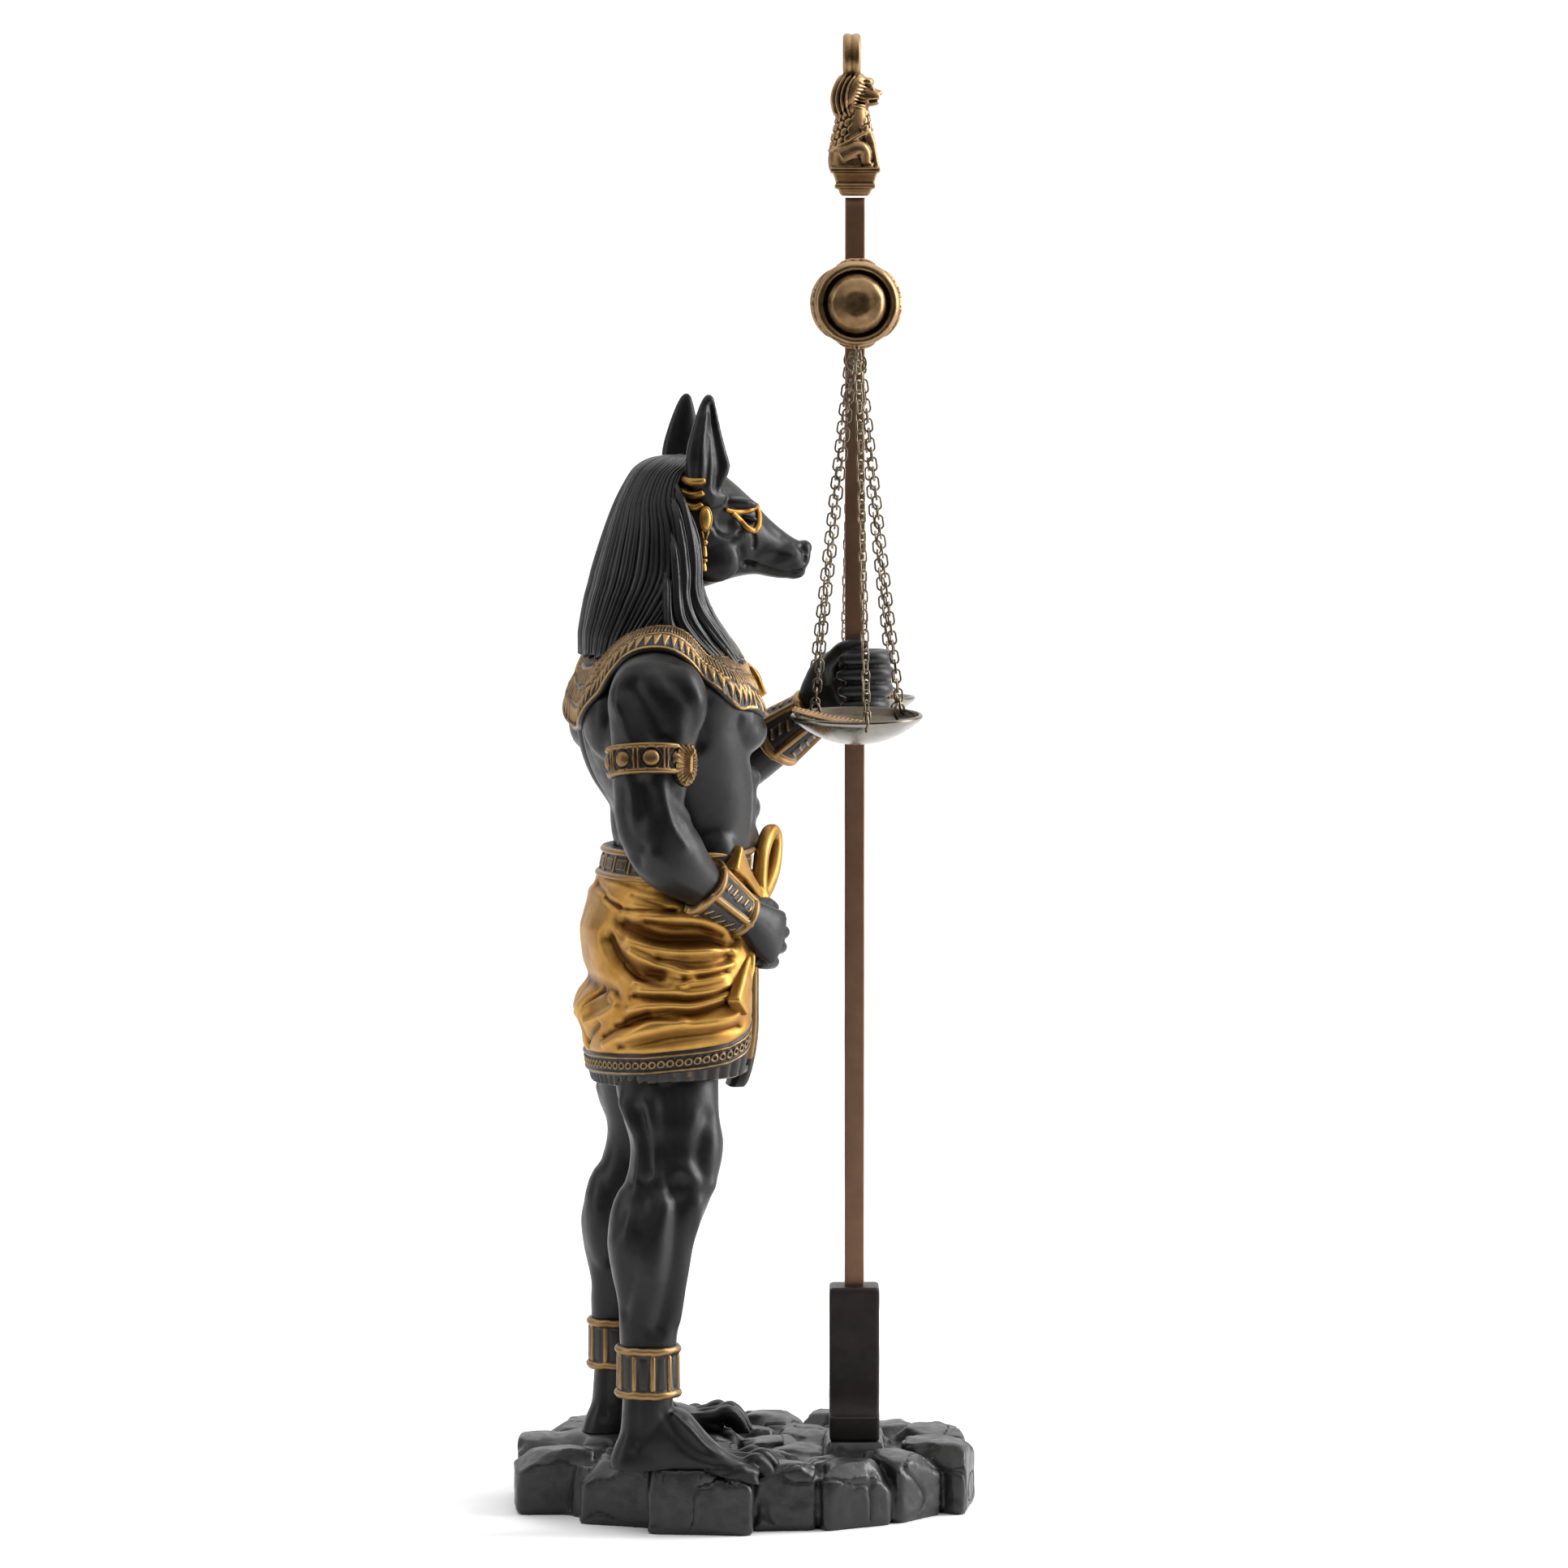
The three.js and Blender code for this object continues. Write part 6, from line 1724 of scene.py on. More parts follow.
def counted(loop, pitch):
    """The place of each point of a closed loop, counted in repeats of about pitch."""
    size = np.linalg.norm(np.roll(loop, -1, 0) - loop, axis=1)
    place = np.concatenate([[0], np.cumsum(size)[:-1]])
    return place / size.sum() * round(size.sum() / pitch)


def collar_surface(tree, count, rows):
    """The plain collar over the shoulders: its points and the way each faces."""
    turn = turns(count)
    deg = np.degrees(np.minimum(turn, 2 * pi - turn))
    dense = spline(COLLAR, 8)
    outer = np.stack([np.interp(deg, dense[:, 0], dense[:, k]) for k in (1, 2, 3)], -1)
    outer[:, 1] *= np.where(turn < pi, 1, -1)
    inner = np.stack([1.2 + 9.4 * np.cos(turn), 10.6 * np.sin(turn),
                      181.5 + 1.5 * np.maximum(0, -np.cos(turn))], -1)
    flat = unit(np.stack([np.cos(turn), np.sin(turn), 0 * turn], -1))
    mid = (outer + inner) / 2 + flat * 2.0 + (0, 0, 1.8)
    # A curve through the outer edge, the middle and the inner ring.
    t = np.linspace(0, 1, rows)[:, None, None]
    base = outer * (1 - t) * (1 - 2 * t) + mid * 4 * t * (1 - t) + inner * t * (2 * t - 1)
    # It is lifted off the body where it would sink in, by an amount that changes softly.
    coarse = base[:, ::6]
    shift = lifted(coarse, tree, 0.75) - coarse
    for _ in range(2):
        shift = (shift + np.roll(shift, 1, 1) + np.roll(shift, -1, 1)) / 3
    place = np.arange(count) / 6
    i0 = np.floor(place).astype(int) % shift.shape[1]
    w = (place - np.floor(place))[None, :, None]
    base = base + shift[:, i0] * (1 - w) + shift[:, (i0 + 1) % shift.shape[1]] * w
    n = unit(np.cross(np.roll(base, -1, 1) - np.roll(base, 1, 1), np.gradient(base, axis=0)))
    n *= np.sign(np.sum(n * (flat + (0, 0, 0.6)), -1, keepdims=True))
    return base, n, outer


def build_collar(tree):
    base, n, outer = collar_surface(tree, int(900 / FINE), 52)
    step = np.linalg.norm(np.diff(base, axis=0), axis=-1)
    d = np.concatenate([np.zeros((1, base.shape[1])), np.cumsum(step, 0)])
    u = counted(outer, TOOTH_PITCH)[None, :]
    tooth_x = np.abs(u - np.floor(u) - 0.5)
    bar_x = np.abs((u * 2.4) % 1 - 0.5)
    leaf_x = np.abs((u * 2.4 + 0.5) % 1 - 0.5)

    def band(low, high, soft=0.15):
        return smoothstep(low, low + soft, d) * (1 - smoothstep(high - soft, high, d))

    # From the outer edge inwards: cord, teeth, cord, bars, cord, leaves, cord, bars.
    inside = np.clip((d - 1.0) / 3.4, 0, 1)
    tooth = band(0.9, 4.5) * smoothstep(0.05, -0.05, tooth_x - 0.46 * inside)
    bars = smoothstep(0.34, 0.2, bar_x)
    rows = [
        # Height, how golden, and where.
        (0.6, 1, bead(d - 0.42, 0.42)),
        (0.42, 0.8, tooth),
        (0.42, 0.85, bead(d - 4.95, 0.34)),
        (0.34, 0.62, band(5.5, 8.2) * bars),
        (0.36, 0.8, bead(d - 8.65, 0.3)),
        (0.3, 0.56, band(9.1, 12.2) * smoothstep(0.36, 0.22, leaf_x)),
        (0.34, 0.8, bead(d - 12.6, 0.3)),
        (0.28, 0.6, band(13.1, 60) * smoothstep(0.36, 0.22, bar_x) * 0.8),
    ]
    height = sum(high * place for high, _, place in rows)
    tint = np.clip(sum(gold * place for _, gold, place in rows), 0, 1)
    surface = base + n * height[..., None]
    under = base[::6] - n[::6] * 0.9
    under = np.concatenate([under, base[-1:] - n[-1:] * 0.9])
    part = grid(np.concatenate([surface, under[::-1]]), wrap_u=True, wrap_v=True)
    relief = np.concatenate([tint, np.zeros(under.shape[:2])]).reshape(-1)
    cast("figure_collar", part, "antique", 14, relief=relief, goal=66000)


# The kilt, from height, middle and two half widths.
KILT = [
    (88, 1.8, 15.4, 21), (91, 2.0, 16.4, 22.3), (95, 2.2, 17.1, 23.1), (101, 2.1, 17.5, 23.7),
    (107, 2.0, 17.6, 24), (113, 1.8, 17.2, 24), (120, 1.7, 17.2, 23.6), (127, 2.1, 16.2, 21.8),
    (130.6, 2.9, 14.8, 19.9), (136, 3.7, 14.4, 19.0),
]
WRAP_TOP = 130.7
BORDER_HEIGHT = 4.6
RING_PITCH = 1.8
BELT_HEIGHT = 6.1
TILE_PITCH = 5.6
# The apron, from place ahead, height, half width and thickness.
APRON = [
    (17.0, 129, 4.2, 1.0), (17.9, 120, 4.5, 1.2), (18.1, 112, 4.6, 1.4), (18.0, 104, 4.7, 1.5),
    (17.8, 98, 4.7, 1.6), (16.8, 92, 4.6, 1.7), (15.8, 88.6, 4.5, 1.7), (15.2, 87.3, 4.2, 1.5),
]
# Ridges and hollows of the wrap: height, width, and their line as degrees from the front
# and height above the ground. Both sides have the same folds.
FOLDS = [
    (-0.55, 0.5, [(157, 130.2), (135, 129.8), (115, 128.6), (101, 128.1), (88, 126)]),
    (-0.5, 0.45, [(140, 130.7), (119, 129.7), (106, 129.3), (92, 128.2)]),
    (-0.45, 0.5, [(122, 127.6), (108, 126.2), (96, 125)]),
    (0.8, 1.3, [(127, 123.6), (113, 123.3), (98, 123.8), (87, 123.2), (76, 121.5), (66, 118.8)]),
    (-2.2, 2.3, [(126, 122), (112, 120.7), (102, 119.9), (89, 119.8), (76, 119.7), (66, 118)]),
    (0.9, 0.9, [(122, 118.9), (107, 117.7), (94, 116.9), (81, 117), (64, 116.7)]),
    (-2.0, 2.0, [(138, 118.6), (129, 115), (118, 112.7), (104, 112.2)]),
    (-0.9, 1.2, [(104, 115.4), (90, 114.7), (78, 114.8), (68, 115.4)]),
    (0.8, 0.9, [(120, 116.6), (106, 114.3), (95, 113.5), (89, 111.7)]),
    (0.6, 0.6, [(94, 112.8), (84, 112.9), (73, 113.3), (66, 114)]),
    (-0.7, 0.5, [(92, 111.5), (82, 111.9), (70, 112.6)]),
    (0.5, 0.6, [(92, 110.4), (83, 110.9), (73, 111.6)]),
    (0.7, 0.8, [(114, 108.9), (98, 109), (90, 108.5), (78, 109), (70, 109.8)]),
    (-0.9, 0.7, [(118, 107.8), (98, 107.4), (90, 107.2), (78, 107.8), (68, 108.8)]),
    (0.8, 0.9, [(120, 104.9), (102, 106.1), (90, 105.9), (78, 107), (68, 108)]),
    (-1.0, 0.8, [(124, 102.8), (102, 104.3), (88, 104.4), (76, 105.6), (66, 107)]),
    (1.2, 1.3, [(122, 98.6), (110, 100.6), (98, 101.8), (80, 102.4), (68, 103.2), (60, 106), (54, 110),
                (50, 115)]),
    (-0.8, 0.7, [(128, 97.2), (110, 98.8), (98, 99.9), (80, 100.6), (62, 101.4)]),
    (0.9, 1.2, [(140, 96.8), (119, 100.4), (107, 102.9), (94, 103.2)]),
    (-0.8, 0.7, [(142, 99), (124, 102), (110, 104.4)]),
    (2.0, 3.4, [(180, 103.4), (168, 103.2)]),
    (-0.9, 0.7, [(147, 108.2), (163, 105.4), (171, 102), (172, 98), (168, 95.6)]),
    (0.9, 1.0, [(137, 107.4), (131, 105.6), (139, 103.4), (161, 100.8)]),
    (-0.8, 0.8, [(146, 101.4), (160, 98.6), (170, 96.6)]),
    (-1.2, 2.0, [(180, 109.4), (163, 109.2), (147, 108.6), (133, 107.8)]),
    (0.7, 5.0, [(172, 119), (150, 118)]),
    (-0.6, 0.8, [(172, 128.6), (150, 127.4), (132, 125.2)]),
    (0.5, 0.9, [(60, 128), (52, 121), (50, 112)]),
    (-0.7, 0.45, [(150, 126.6), (132, 125.0), (112, 124.9), (96, 124.9)]),
    (-0.6, 0.5, [(112, 122.6), (98, 121.9), (84, 121.6), (70, 119.9)]),
    (0.6, 0.6, [(118, 110.6), (104, 110.4), (92, 110.0)]),
    (-0.6, 0.5, [(126, 113.8), (112, 110.9), (98, 110.1)]),
    (-0.7, 0.5, [(132, 101.6), (118, 102.0), (108, 103.4), (96, 103.3)]),
    (-0.7, 0.8, [(46, 128), (42, 118), (42, 108), (44, 100)]),
    (-0.5, 0.7, [(84, 126.4), (70, 123.6), (60, 119)]),
    (-0.5, 0.7, [(78, 129.4), (66, 126.6), (56, 122)]),
]


def cloth_edge(deg):
    """Height of the lower edge of the wrap at a turn from the front."""
    return np.interp(deg, [0, 44, 50, 58, 69, 84, 98, 113, 131, 171, 180],
                     [103, 102.4, 100.6, 99.2, 97.9, 97.2, 96.7, 96, 95.6, 95, 95])


def build_pendant():
    """A framed drop on the front of the collar, with a rounded stone in it."""
    outline = [(-2, -3.8), (2, -3.8), (3.9, 1.4), (3.0, 3.6), (0, 4.3), (-3.0, 3.6), (-3.9, 1.4)]
    o = np.array([18.8, 0, 169.4])
    across, up = np.array([0, 1.0, 0]), unit((-0.46, 0, 0.88))
    out = np.cross(across, up)
    levels = ((-1.2, 0.9), (-0.4, 1.0), (0.5, 0.98), (1.1, 0.8), (1.3, 0.66), (0.9, 0.6))
    rows = [[o + x * k * across + z * k * up + out * h for x, z in outline] for h, k in levels]
    parts = [grid(np.array(rows), wrap_v=True, cap=True),
             blob(o + out * 1.0 + up * 0.3, (1.0, 2.1, 2.3), out, up, 20)]
    for s in (-1, 1):
        parts.append(tube([o + across * s * 3.4 + up * 3.0 + out * 0.8,
                           o + across * s * 3.8 + out * 1.0,
                           o + across * s * 1.8 - up * 3.6 + out * 1.0], 0.35, 8))
    cast("figure_pendant", fused(parts, 0.24, 1), "gold", 24, 3)


def kilt_at(turn, z, grow=0.0):
    """The kilt's plain surface at a turn from the front and a height, grown by grow."""
    rows = np.array(KILT)
    cx, a, b = (np.interp(z, rows[:, 0], rows[:, k]) for k in (1, 2, 3))
    c, s = np.cos(turn), np.sin(turn)
    r = (np.abs(c / (a + grow)) ** 2.2 + np.abs(s / (b + grow)) ** 2.2) ** (-1 / 2.2)
    # The front is flatter, behind the apron, and the seat a little slimmer.
    flat = 2.3 * smoothstep(0.55, 0.97, c) * smoothstep(129.5, 126.5, z)
    flat = flat - 0.7 * smoothstep(-0.2, -0.9, c) * smoothstep(98, 108, z) * smoothstep(131, 124, z)
    return np.stack([cx + r * c - flat, r * s, z], -1)


def from_front(turn):
    """Degrees from the front, the same on both sides."""
    return np.degrees(np.abs((turn + pi) % (2 * pi) - pi))


def outwards(turn, up=0.0):
    return unit(np.stack([np.cos(turn) * 1.2, np.sin(turn), up + 0 * turn], -1))


# Millimetres of cloth to a degree, at the width of the hips.
MM_PER_DEGREE = 0.36


def folds(turn, z):
    """How far the folds raise the cloth. The far side's lie a little lower."""
    deg = from_front(turn)
    far = np.where(np.sin(turn) > 0, 1.0, 0.0)
    q = [deg * MM_PER_DEGREE, z - 0.8 * far * np.sin(deg * 0.05), 0 * z]
    q = np.stack(q, -1).reshape(-1, 3)
    total = np.zeros(len(q))
    for height, width, line in FOLDS:
        path = spline([(a * MM_PER_DEGREE, b, 0) for a, b in line], 4)
        total += height * bell(gap_to(q, path), width)
    return total.reshape(z.shape)


def girdle(name, turn, z, grow, height, tint, wall, gain, raised=0.0, goal=None):
    """Raised work round the kilt, closed by a plain wall at its back."""
    surface = kilt_at(np.broadcast_to(turn, z.shape), z, grow)
    surface = surface + outwards(np.broadcast_to(turn, z.shape)) * height[..., None]
    back = np.stack([kilt_at(turn, z[-1], wall), kilt_at(turn, z[0] + raised, wall)])
    part = grid(np.concatenate([surface, back]), wrap_u=True, wrap_v=True)
    tint = np.broadcast_to(np.clip(tint, 0, 1), z.shape)
    relief = np.concatenate([tint, np.zeros((2, len(turn)))]).reshape(-1)
    cast(name, part, "antique", gain, relief=relief, goal=goal)


def build_wrap():
    """The wrapped gold cloth of the kilt, with its folds."""
    rows = int(118 / FINE)
    turn = turns(int(340 / FINE))
    k = np.linspace(0, 1, rows)[:, None]
    low = cloth_edge(from_front(turn))[None, :]
    z = low + (WRAP_TOP - low) * k
    tt = np.broadcast_to(turn, z.shape)
    fade = smoothstep(0, 0.05, k) * (1 - smoothstep(0.96, 1, k))
    amount = folds(tt, z) * fade + 0.5
    amount = amount - 0.5 * smoothstep(0.02, 0, k)
    surface = kilt_at(tt, z)
    soft = 0.12 * noise(surface.reshape(-1, 3), 5, 3, 2).reshape(z.shape)
    surface = eased(surface + outwards(tt, 0.15) * (amount + soft)[..., None])
    wall = kilt_at(tt[:: rows // 6], z[:: rows // 6], -1.6)
    wall = np.concatenate([wall, kilt_at(tt[-1:], z[-1:], -1.6)])
    part = grid(np.concatenate([surface, wall[::-1]]), wrap_u=True, wrap_v=True)
    shade = np.concatenate([amount - 0.5, np.zeros(wall.shape[:2])]).reshape(-1)
    # The raised folds are painted lighter and the hollows darker: painted highlight and painted shade.
    shading_and_wear = np.clip(hollow(part, 2) * 12 + 0.35 * shade, -1, 1)
    make("figure_wrap", part, "gold", "figure", None, shading_and_wear, True, 60000)


def build_border():
    """The dark border under the wrap, with a row of small rings between two cords."""
    turn = turns(int(720 / FINE))
    k = np.linspace(0, 1, 34)[:, None]
    z = cloth_edge(from_front(turn))[None, :] - 4.3 + BORDER_HEIGHT * k
    base = kilt_at(turn, z[0], 0.1)
    x = (counted(base, RING_PITCH) % 1 - 0.5) * RING_PITCH
    y = k * BORDER_HEIGHT - 2.1
    rings = bead(np.hypot(x[None, :], y) - 0.62, 0.26)
    cords = bead(np.abs(y) - 1.55, 0.3)
    girdle("figure_border", turn, z, 0.1, 0.4 * rings + 0.45 * cords, rings * 0.62 + cords * 0.6,
           -1.6, 14, goal=32000)


def build_hem():
    """The pleated cloth that shows under the border, lower at the back."""
    turn = turns(int(420 / FINE))
    k = np.linspace(0, 1, 22)[:, None]
    high = cloth_edge(from_front(turn))[None, :] - 4.0
    low = np.interp(from_front(turn), [0, 69, 100, 135, 180], [90.4, 90.6, 90.2, 88.8, 88.3])
    z = low[None, :] + (high - low[None, :]) * k
    pleat = np.abs(((turn * 8.2 + 0.3 * np.sin(turn * 3)) % 1) - 0.5) * 2
    pleat = np.sqrt(np.clip(pleat, 0, 1))
    curl = smoothstep(0, 0.14, k)
    touch = pleat * smoothstep(0.2, 0.6, k) * (0.26 + 0.16 * np.sin(turn * 7))
    girdle("figure_hem", turn, z, -1.0, (0.9 * pleat + 0.1) * curl - 0.5 * (1 - curl), touch,
           -2.6, 8, raised=0.3)
    # A floor that closes the kilt between the legs.
    floor = column([(91.0, 1.9, 0, 15.4, 21), (92.0, 1.9, 0, 15.6, 21.2)], 60, 1, 2.2)
    make("figure_kilt_floor", floor, "resin", "figure", local=True)


def eased(surface):
    """A closed sheet averaged once each way, so that sharp steps stay soft."""
    s = surface.copy()
    s[1:-1] = 0.5 * surface[1:-1] + 0.25 * (surface[:-2] + surface[2:])
    return 0.6 * s + 0.2 * (np.roll(s, 1, 1) + np.roll(s, -1, 1))


def build_belt():
    """Two rolls, with framed tiles and upright bars between them."""
    turn = turns(int(520 / FINE))
    k = np.linspace(0, 1, 40)[:, None]
    z = 130.2 + BELT_HEIGHT * k + 0 * turn[None, :]
    f = (counted(kilt_at(turn, z[0], 0.15), TILE_PITCH) % 1)[None, :]
    y = k * BELT_HEIGHT
    rolls = [bead(y - 0.65, 0.7), bead(y - 5.4, 0.7)]
    bar = bead((f - 0.5) * TILE_PITCH, 0.32)
    bar = bar * smoothstep(1.3, 1.5, y) * (1 - smoothstep(4.6, 4.8, y))
    x = np.abs(((f + 0.5) % 1) - 0.5) * TILE_PITCH
    outside = np.maximum(x - 1.75, np.abs(y - 3.05) - 1.05)
    tile = smoothstep(0.1, -0.15, outside)
    edge = bell(outside, 0.2)
    height = 0.85 * rolls[0] + 0.85 * rolls[1] + 0.4 * bar + 0.3 * tile + 0.12 * edge
    tint = rolls[0] + rolls[1] + bar + tile * 0.36 + 0.3 * edge
    girdle("figure_belt", turn, z, 0.15, height, tint, -1.4, 12, goal=26000)


def build_apron():
    """The narrow hanging front panel, with upright gold lines that stop above its lower end."""
    count = 96
    t = turns(count, 0.5)
    c, s = np.cos(t), np.sin(t)
    face = smoothstep(0.3, 0.7, s)
    pts, tint = [], []
    for x, z, half, thick in spline(APRON, 12):
        y = powered(c, 0.5) * half
        lines = np.clip(np.cos(y * 2 * pi / 1.9), 0, 1) ** 3
        bottom = smoothstep(93.4, 92.6, z)
        ahead = x + powered(s, 0.5) * thick + 0.3 * lines * face * (1 - 0.3 * bottom)
        pts.append(np.stack([ahead, y, np.full(count, z)], -1))
        tint.append((lines * face * 0.75 + bell(np.abs(y) - half, 0.45) * 0.8) * (1 - bottom))
    part = grid(np.array(pts), wrap_v=True, cap=True)
    relief = np.concatenate([np.array(tint).reshape(-1), [0, 0]])
    cast("figure_apron", part, "antique", 10, relief=relief)


def band_round(name, start, end, radii, rows, work, count, side=(0.3, 1, 0.2), goal=None):
    """A band round a limb, closed inside. work(turn, place, radius) gives the height of its
    raised work, how golden it is, and how far it shifts along the limb."""
    start, end = np.array(start, float), np.array(end, float)
    size = np.linalg.norm(end - start)
    ahead = unit(end - start)
    u = square_to(side, ahead)
    w = np.cross(ahead, u)
    t = turns(count)
    kk, tt = np.meshgrid(np.linspace(0, 1, rows), t, indexing="ij")
    r = radii[0] + (radii[1] - radii[0]) * kk
    height, tint, shift = work(tt, kk * size, r)
    r = r + height
    pts = start + (kk * size + shift)[..., None] * ahead
    pts = pts + (r * np.cos(tt))[..., None] * u + (r * np.sin(tt))[..., None] * w
    wall = []
    for k, moved_by in ((1.0, shift[-1]), (0.0, shift[0])):
        inner = radii[0] + (radii[1] - radii[0]) * k - 1.6
        middle = start + (k * size + moved_by)[:, None] * ahead
        wall.append(middle + inner * (np.cos(t)[:, None] * u + np.sin(t)[:, None] * w))
    part = grid(np.concatenate([pts, np.array(wall)]), wrap_u=True, wrap_v=True)
    relief = np.concatenate([tint, np.zeros((2, count))]).reshape(-1)
    cast(name, part, "antique", 12, relief=relief, goal=goal)


def armlet(t, y, r):
    """Narrow rims, eight domes in round settings, twin bars between them."""
    rims = bead(y - 0.5, 0.55) + bead(y - 5.5, 0.55)
    f = (t * 8 / (2 * pi) + 0.802) % 1
    d = np.hypot((f - 0.5) * 2 * pi * r / 8, y - 3.0)
    dome = bead(d, 1.7)
    setting = bead(d - 2.15, 0.22)
    edge = np.minimum(f, 1 - f) * 2 * pi * r / 8
    bars = bead(edge - 0.42, 0.26) * (y > 0.9) * (y < 5.1)
    height = 0.6 * rims + 0.9 * dome + 0.25 * setting + 0.45 * bars
    return height, np.clip(rims + dome * 1.1 + bars + 0.3 * setting, 0, 1), 0 * y


def cuff(phase, size, flare=0.8):
    """A cuff with five framed dark panels of short slanting strokes that are not letters."""

    def work(t, y, r):
        across = (((t + phase) * 5 / (2 * pi)) % 1 - 0.5) * 2 * pi * r / 5
        inset = 2 * pi * r / 10 - np.abs(across)
        rims = bead(y - 0.7, 0.75) + bead(y - (size - 0.7), 0.75)
        bars = bead(inset, 0.6)
        panel = np.minimum(inset - 0.75, np.minimum(y - 1.8, size - 1.8 - y))
        slant = y + across * 0.45
        stroke = bead(((slant / 1.9) % 1 - 0.5) * 1.9, 0.34) * smoothstep(0.25, 0.5, panel)
        stroke = stroke * (np.abs(across - 0.3 * np.sin(slant * 2.1)) < 0.95)
        edge = smoothstep(0.2, -0.1, panel)
        height = 0.65 * np.maximum(rims, 0.85 * bars) + 0.3 * edge + 0.4 * stroke
        tint = np.clip(np.maximum(rims, bars) + 0.75 * edge + 0.75 * stroke, 0, 1)
        point = flare * bell(t % (2 * pi) - pi, 0.5) * (1 - y / size) ** 2
        return height, tint, -point

    return work


def anklet(t, y, r):
    """Two rims, with ten upright bars and plain dark panels between them."""
    wavy = 0.07 * np.sin(5 * t + 1) + 0.05 * np.sin(13 * t)
    rims = bead(y - 0.8 - wavy, 0.8) + bead(y - 9.6 - wavy, 0.8)
    f = (t * 10 / (2 * pi)) % 1
    inner = smoothstep(1.5, 1.9, y) * (1 - smoothstep(8.5, 8.9, y))
    bars = bead(np.minimum(f, 1 - f) * 2 * pi * r / 10, 0.48) * inner
    tile = smoothstep(0.75, 0.55, np.abs(f - 0.5) * 2 * pi * r / 10) * smoothstep(2.2, 2.6, y) * (
        1 - smoothstep(7.8, 8.2, y))
    height = 0.7 * rims + 0.4 * bars + 0.1 * tile
    rub = 0.3 * np.sin(t * 23 + 3 * np.sin(y)) * (1 - tile)
    return height, np.clip(rims + bars * 0.9 + 0.16 * (1 + rub) * inner, 0, 1), 0 * y


def build_medallion():
    """Oval medallion at the front of the armlet: a leaf, and strokes that run out from it."""
    o = np.array([0.3, -32.0, 154.8])
    out = unit((0.68, -0.73, 0.03))
    up = square_to((0.05, 0.12, 1), out)
    side = np.cross(up, out)
    rr, aa = np.meshgrid(np.linspace(0.02, 1, 24), turns(132), indexing="ij")
    strokes = np.abs(((aa * 26 / (2 * pi) + 0.3 * np.sin(aa * 3)) % 1) - 0.5) * 2
    lift = 0.7 * (1 - rr**3)
    lift = lift + 0.4 * (strokes - 0.5) * smoothstep(0.3, 0.5, rr) * (1 - smoothstep(0.9, 1, rr))
    from_rib = np.abs(rr * np.cos(aa)) + 0.28 * (rr * np.sin(aa)) ** 2
    leaf = smoothstep(0.36, 0.1, from_rib)
    lift = lift + 0.55 * leaf * (1 - smoothstep(0.75, 0.9, rr))
    lift = lift - 0.35 * bell(from_rib - 0.42, 0.07) * (rr < 0.85)
    wide = 1 + 0.03 * np.cos(aa * 26) * smoothstep(0.8, 1, rr)
    face = o + (rr * wide * 3.5 * np.cos(aa))[..., None] * side
    face = face + (rr * wide * 4.5 * np.sin(aa))[..., None] * up + lift[..., None] * out
    back = face[-1:] - out * 1.6
    inmost = o + (face[-1:] - o) * 0.8 - out * 2.4
    part = grid(np.concatenate([face, back, inmost]), wrap_v=True, cap=True)
    tint = np.clip(0.55 + 0.5 * strokes + leaf, 0, 1).reshape(-1)
    tint = np.concatenate([tint, np.full(2 * 132, 0.5), [0.9, 0.5]])
    cast("figure_medallion", part, "antique", 12, relief=tint)


def build_bands():
    band_round("figure_armlet", (-6.75, -26.9, 157.9), (-6.8, -28.0, 151.9), (7.75, 7.5), 44,
               armlet, 420, goal=22000)
    build_medallion()
    for name, start, end, radii, phase in (
        ("right", (4.6, -22.7, 129.9), (13.8, -17.4, 122.9), (5.6, 4.15), 0.944),
        ("left", (27.6, 24, 156), (35, 18.4, 162), (6.0, 4.3), 0.3),
    ):
        work = cuff(phase, np.linalg.norm(arr(*end) - arr(*start)))
        band_round(f"figure_cuff_{name}", start, end, radii, 52, work, 320, goal=18000)
    for s, name in ((-1, "right"), (1, "left")):
        band_round(f"figure_anklet_{name}", (-5.6, s * 19.3, 27.3), (-5.6, s * 19.3, 37.7),
                   (6.1, 6.0), 60, anklet, 260, side=(0, 1, 0), goal=16000)


ANKH_CENTRE = np.array([18.9, -8.4, 125.6])
ANKH_UP = unit((0.269, 0.559, 0.783))
ANKH_ARM = np.array([-0.463, -0.655, 0.593])
ANKH_ARM = square_to((-0.463, -0.655, 0.593), ANKH_UP)


ANKH_FACE = np.cross(ANKH_ARM, ANKH_UP)


def ankh_arm(along, across, length, w0, w1):
    """One arm of the ankh, which flares from half width w0 to w1, with its edges cut off."""
    cut = 0.55
    rows = []
    for s, w, h in ((-1.4, w0, 1.3), (length * 0.35, w0 * 1.02, 1.3),
                    (length * 0.6, w0 * 1.15, 1.32), (length * 0.82, w1 * 0.82, 1.4),
                    (length * 0.97, w1, 1.5), (length, w1 * 0.94, 1.4)):
        outline = [(-w, -h + cut), (-w + cut, -h), (w - cut, -h), (w, -h + cut), (w, h - cut),
                   (w - cut, h), (-w + cut, h), (-w, h - cut)]
        middle = ANKH_CENTRE + along * s
        rows.append([middle + across * p + ANKH_FACE * q for p, q in outline])
    return grid(np.array(rows), wrap_v=True, cap=True)


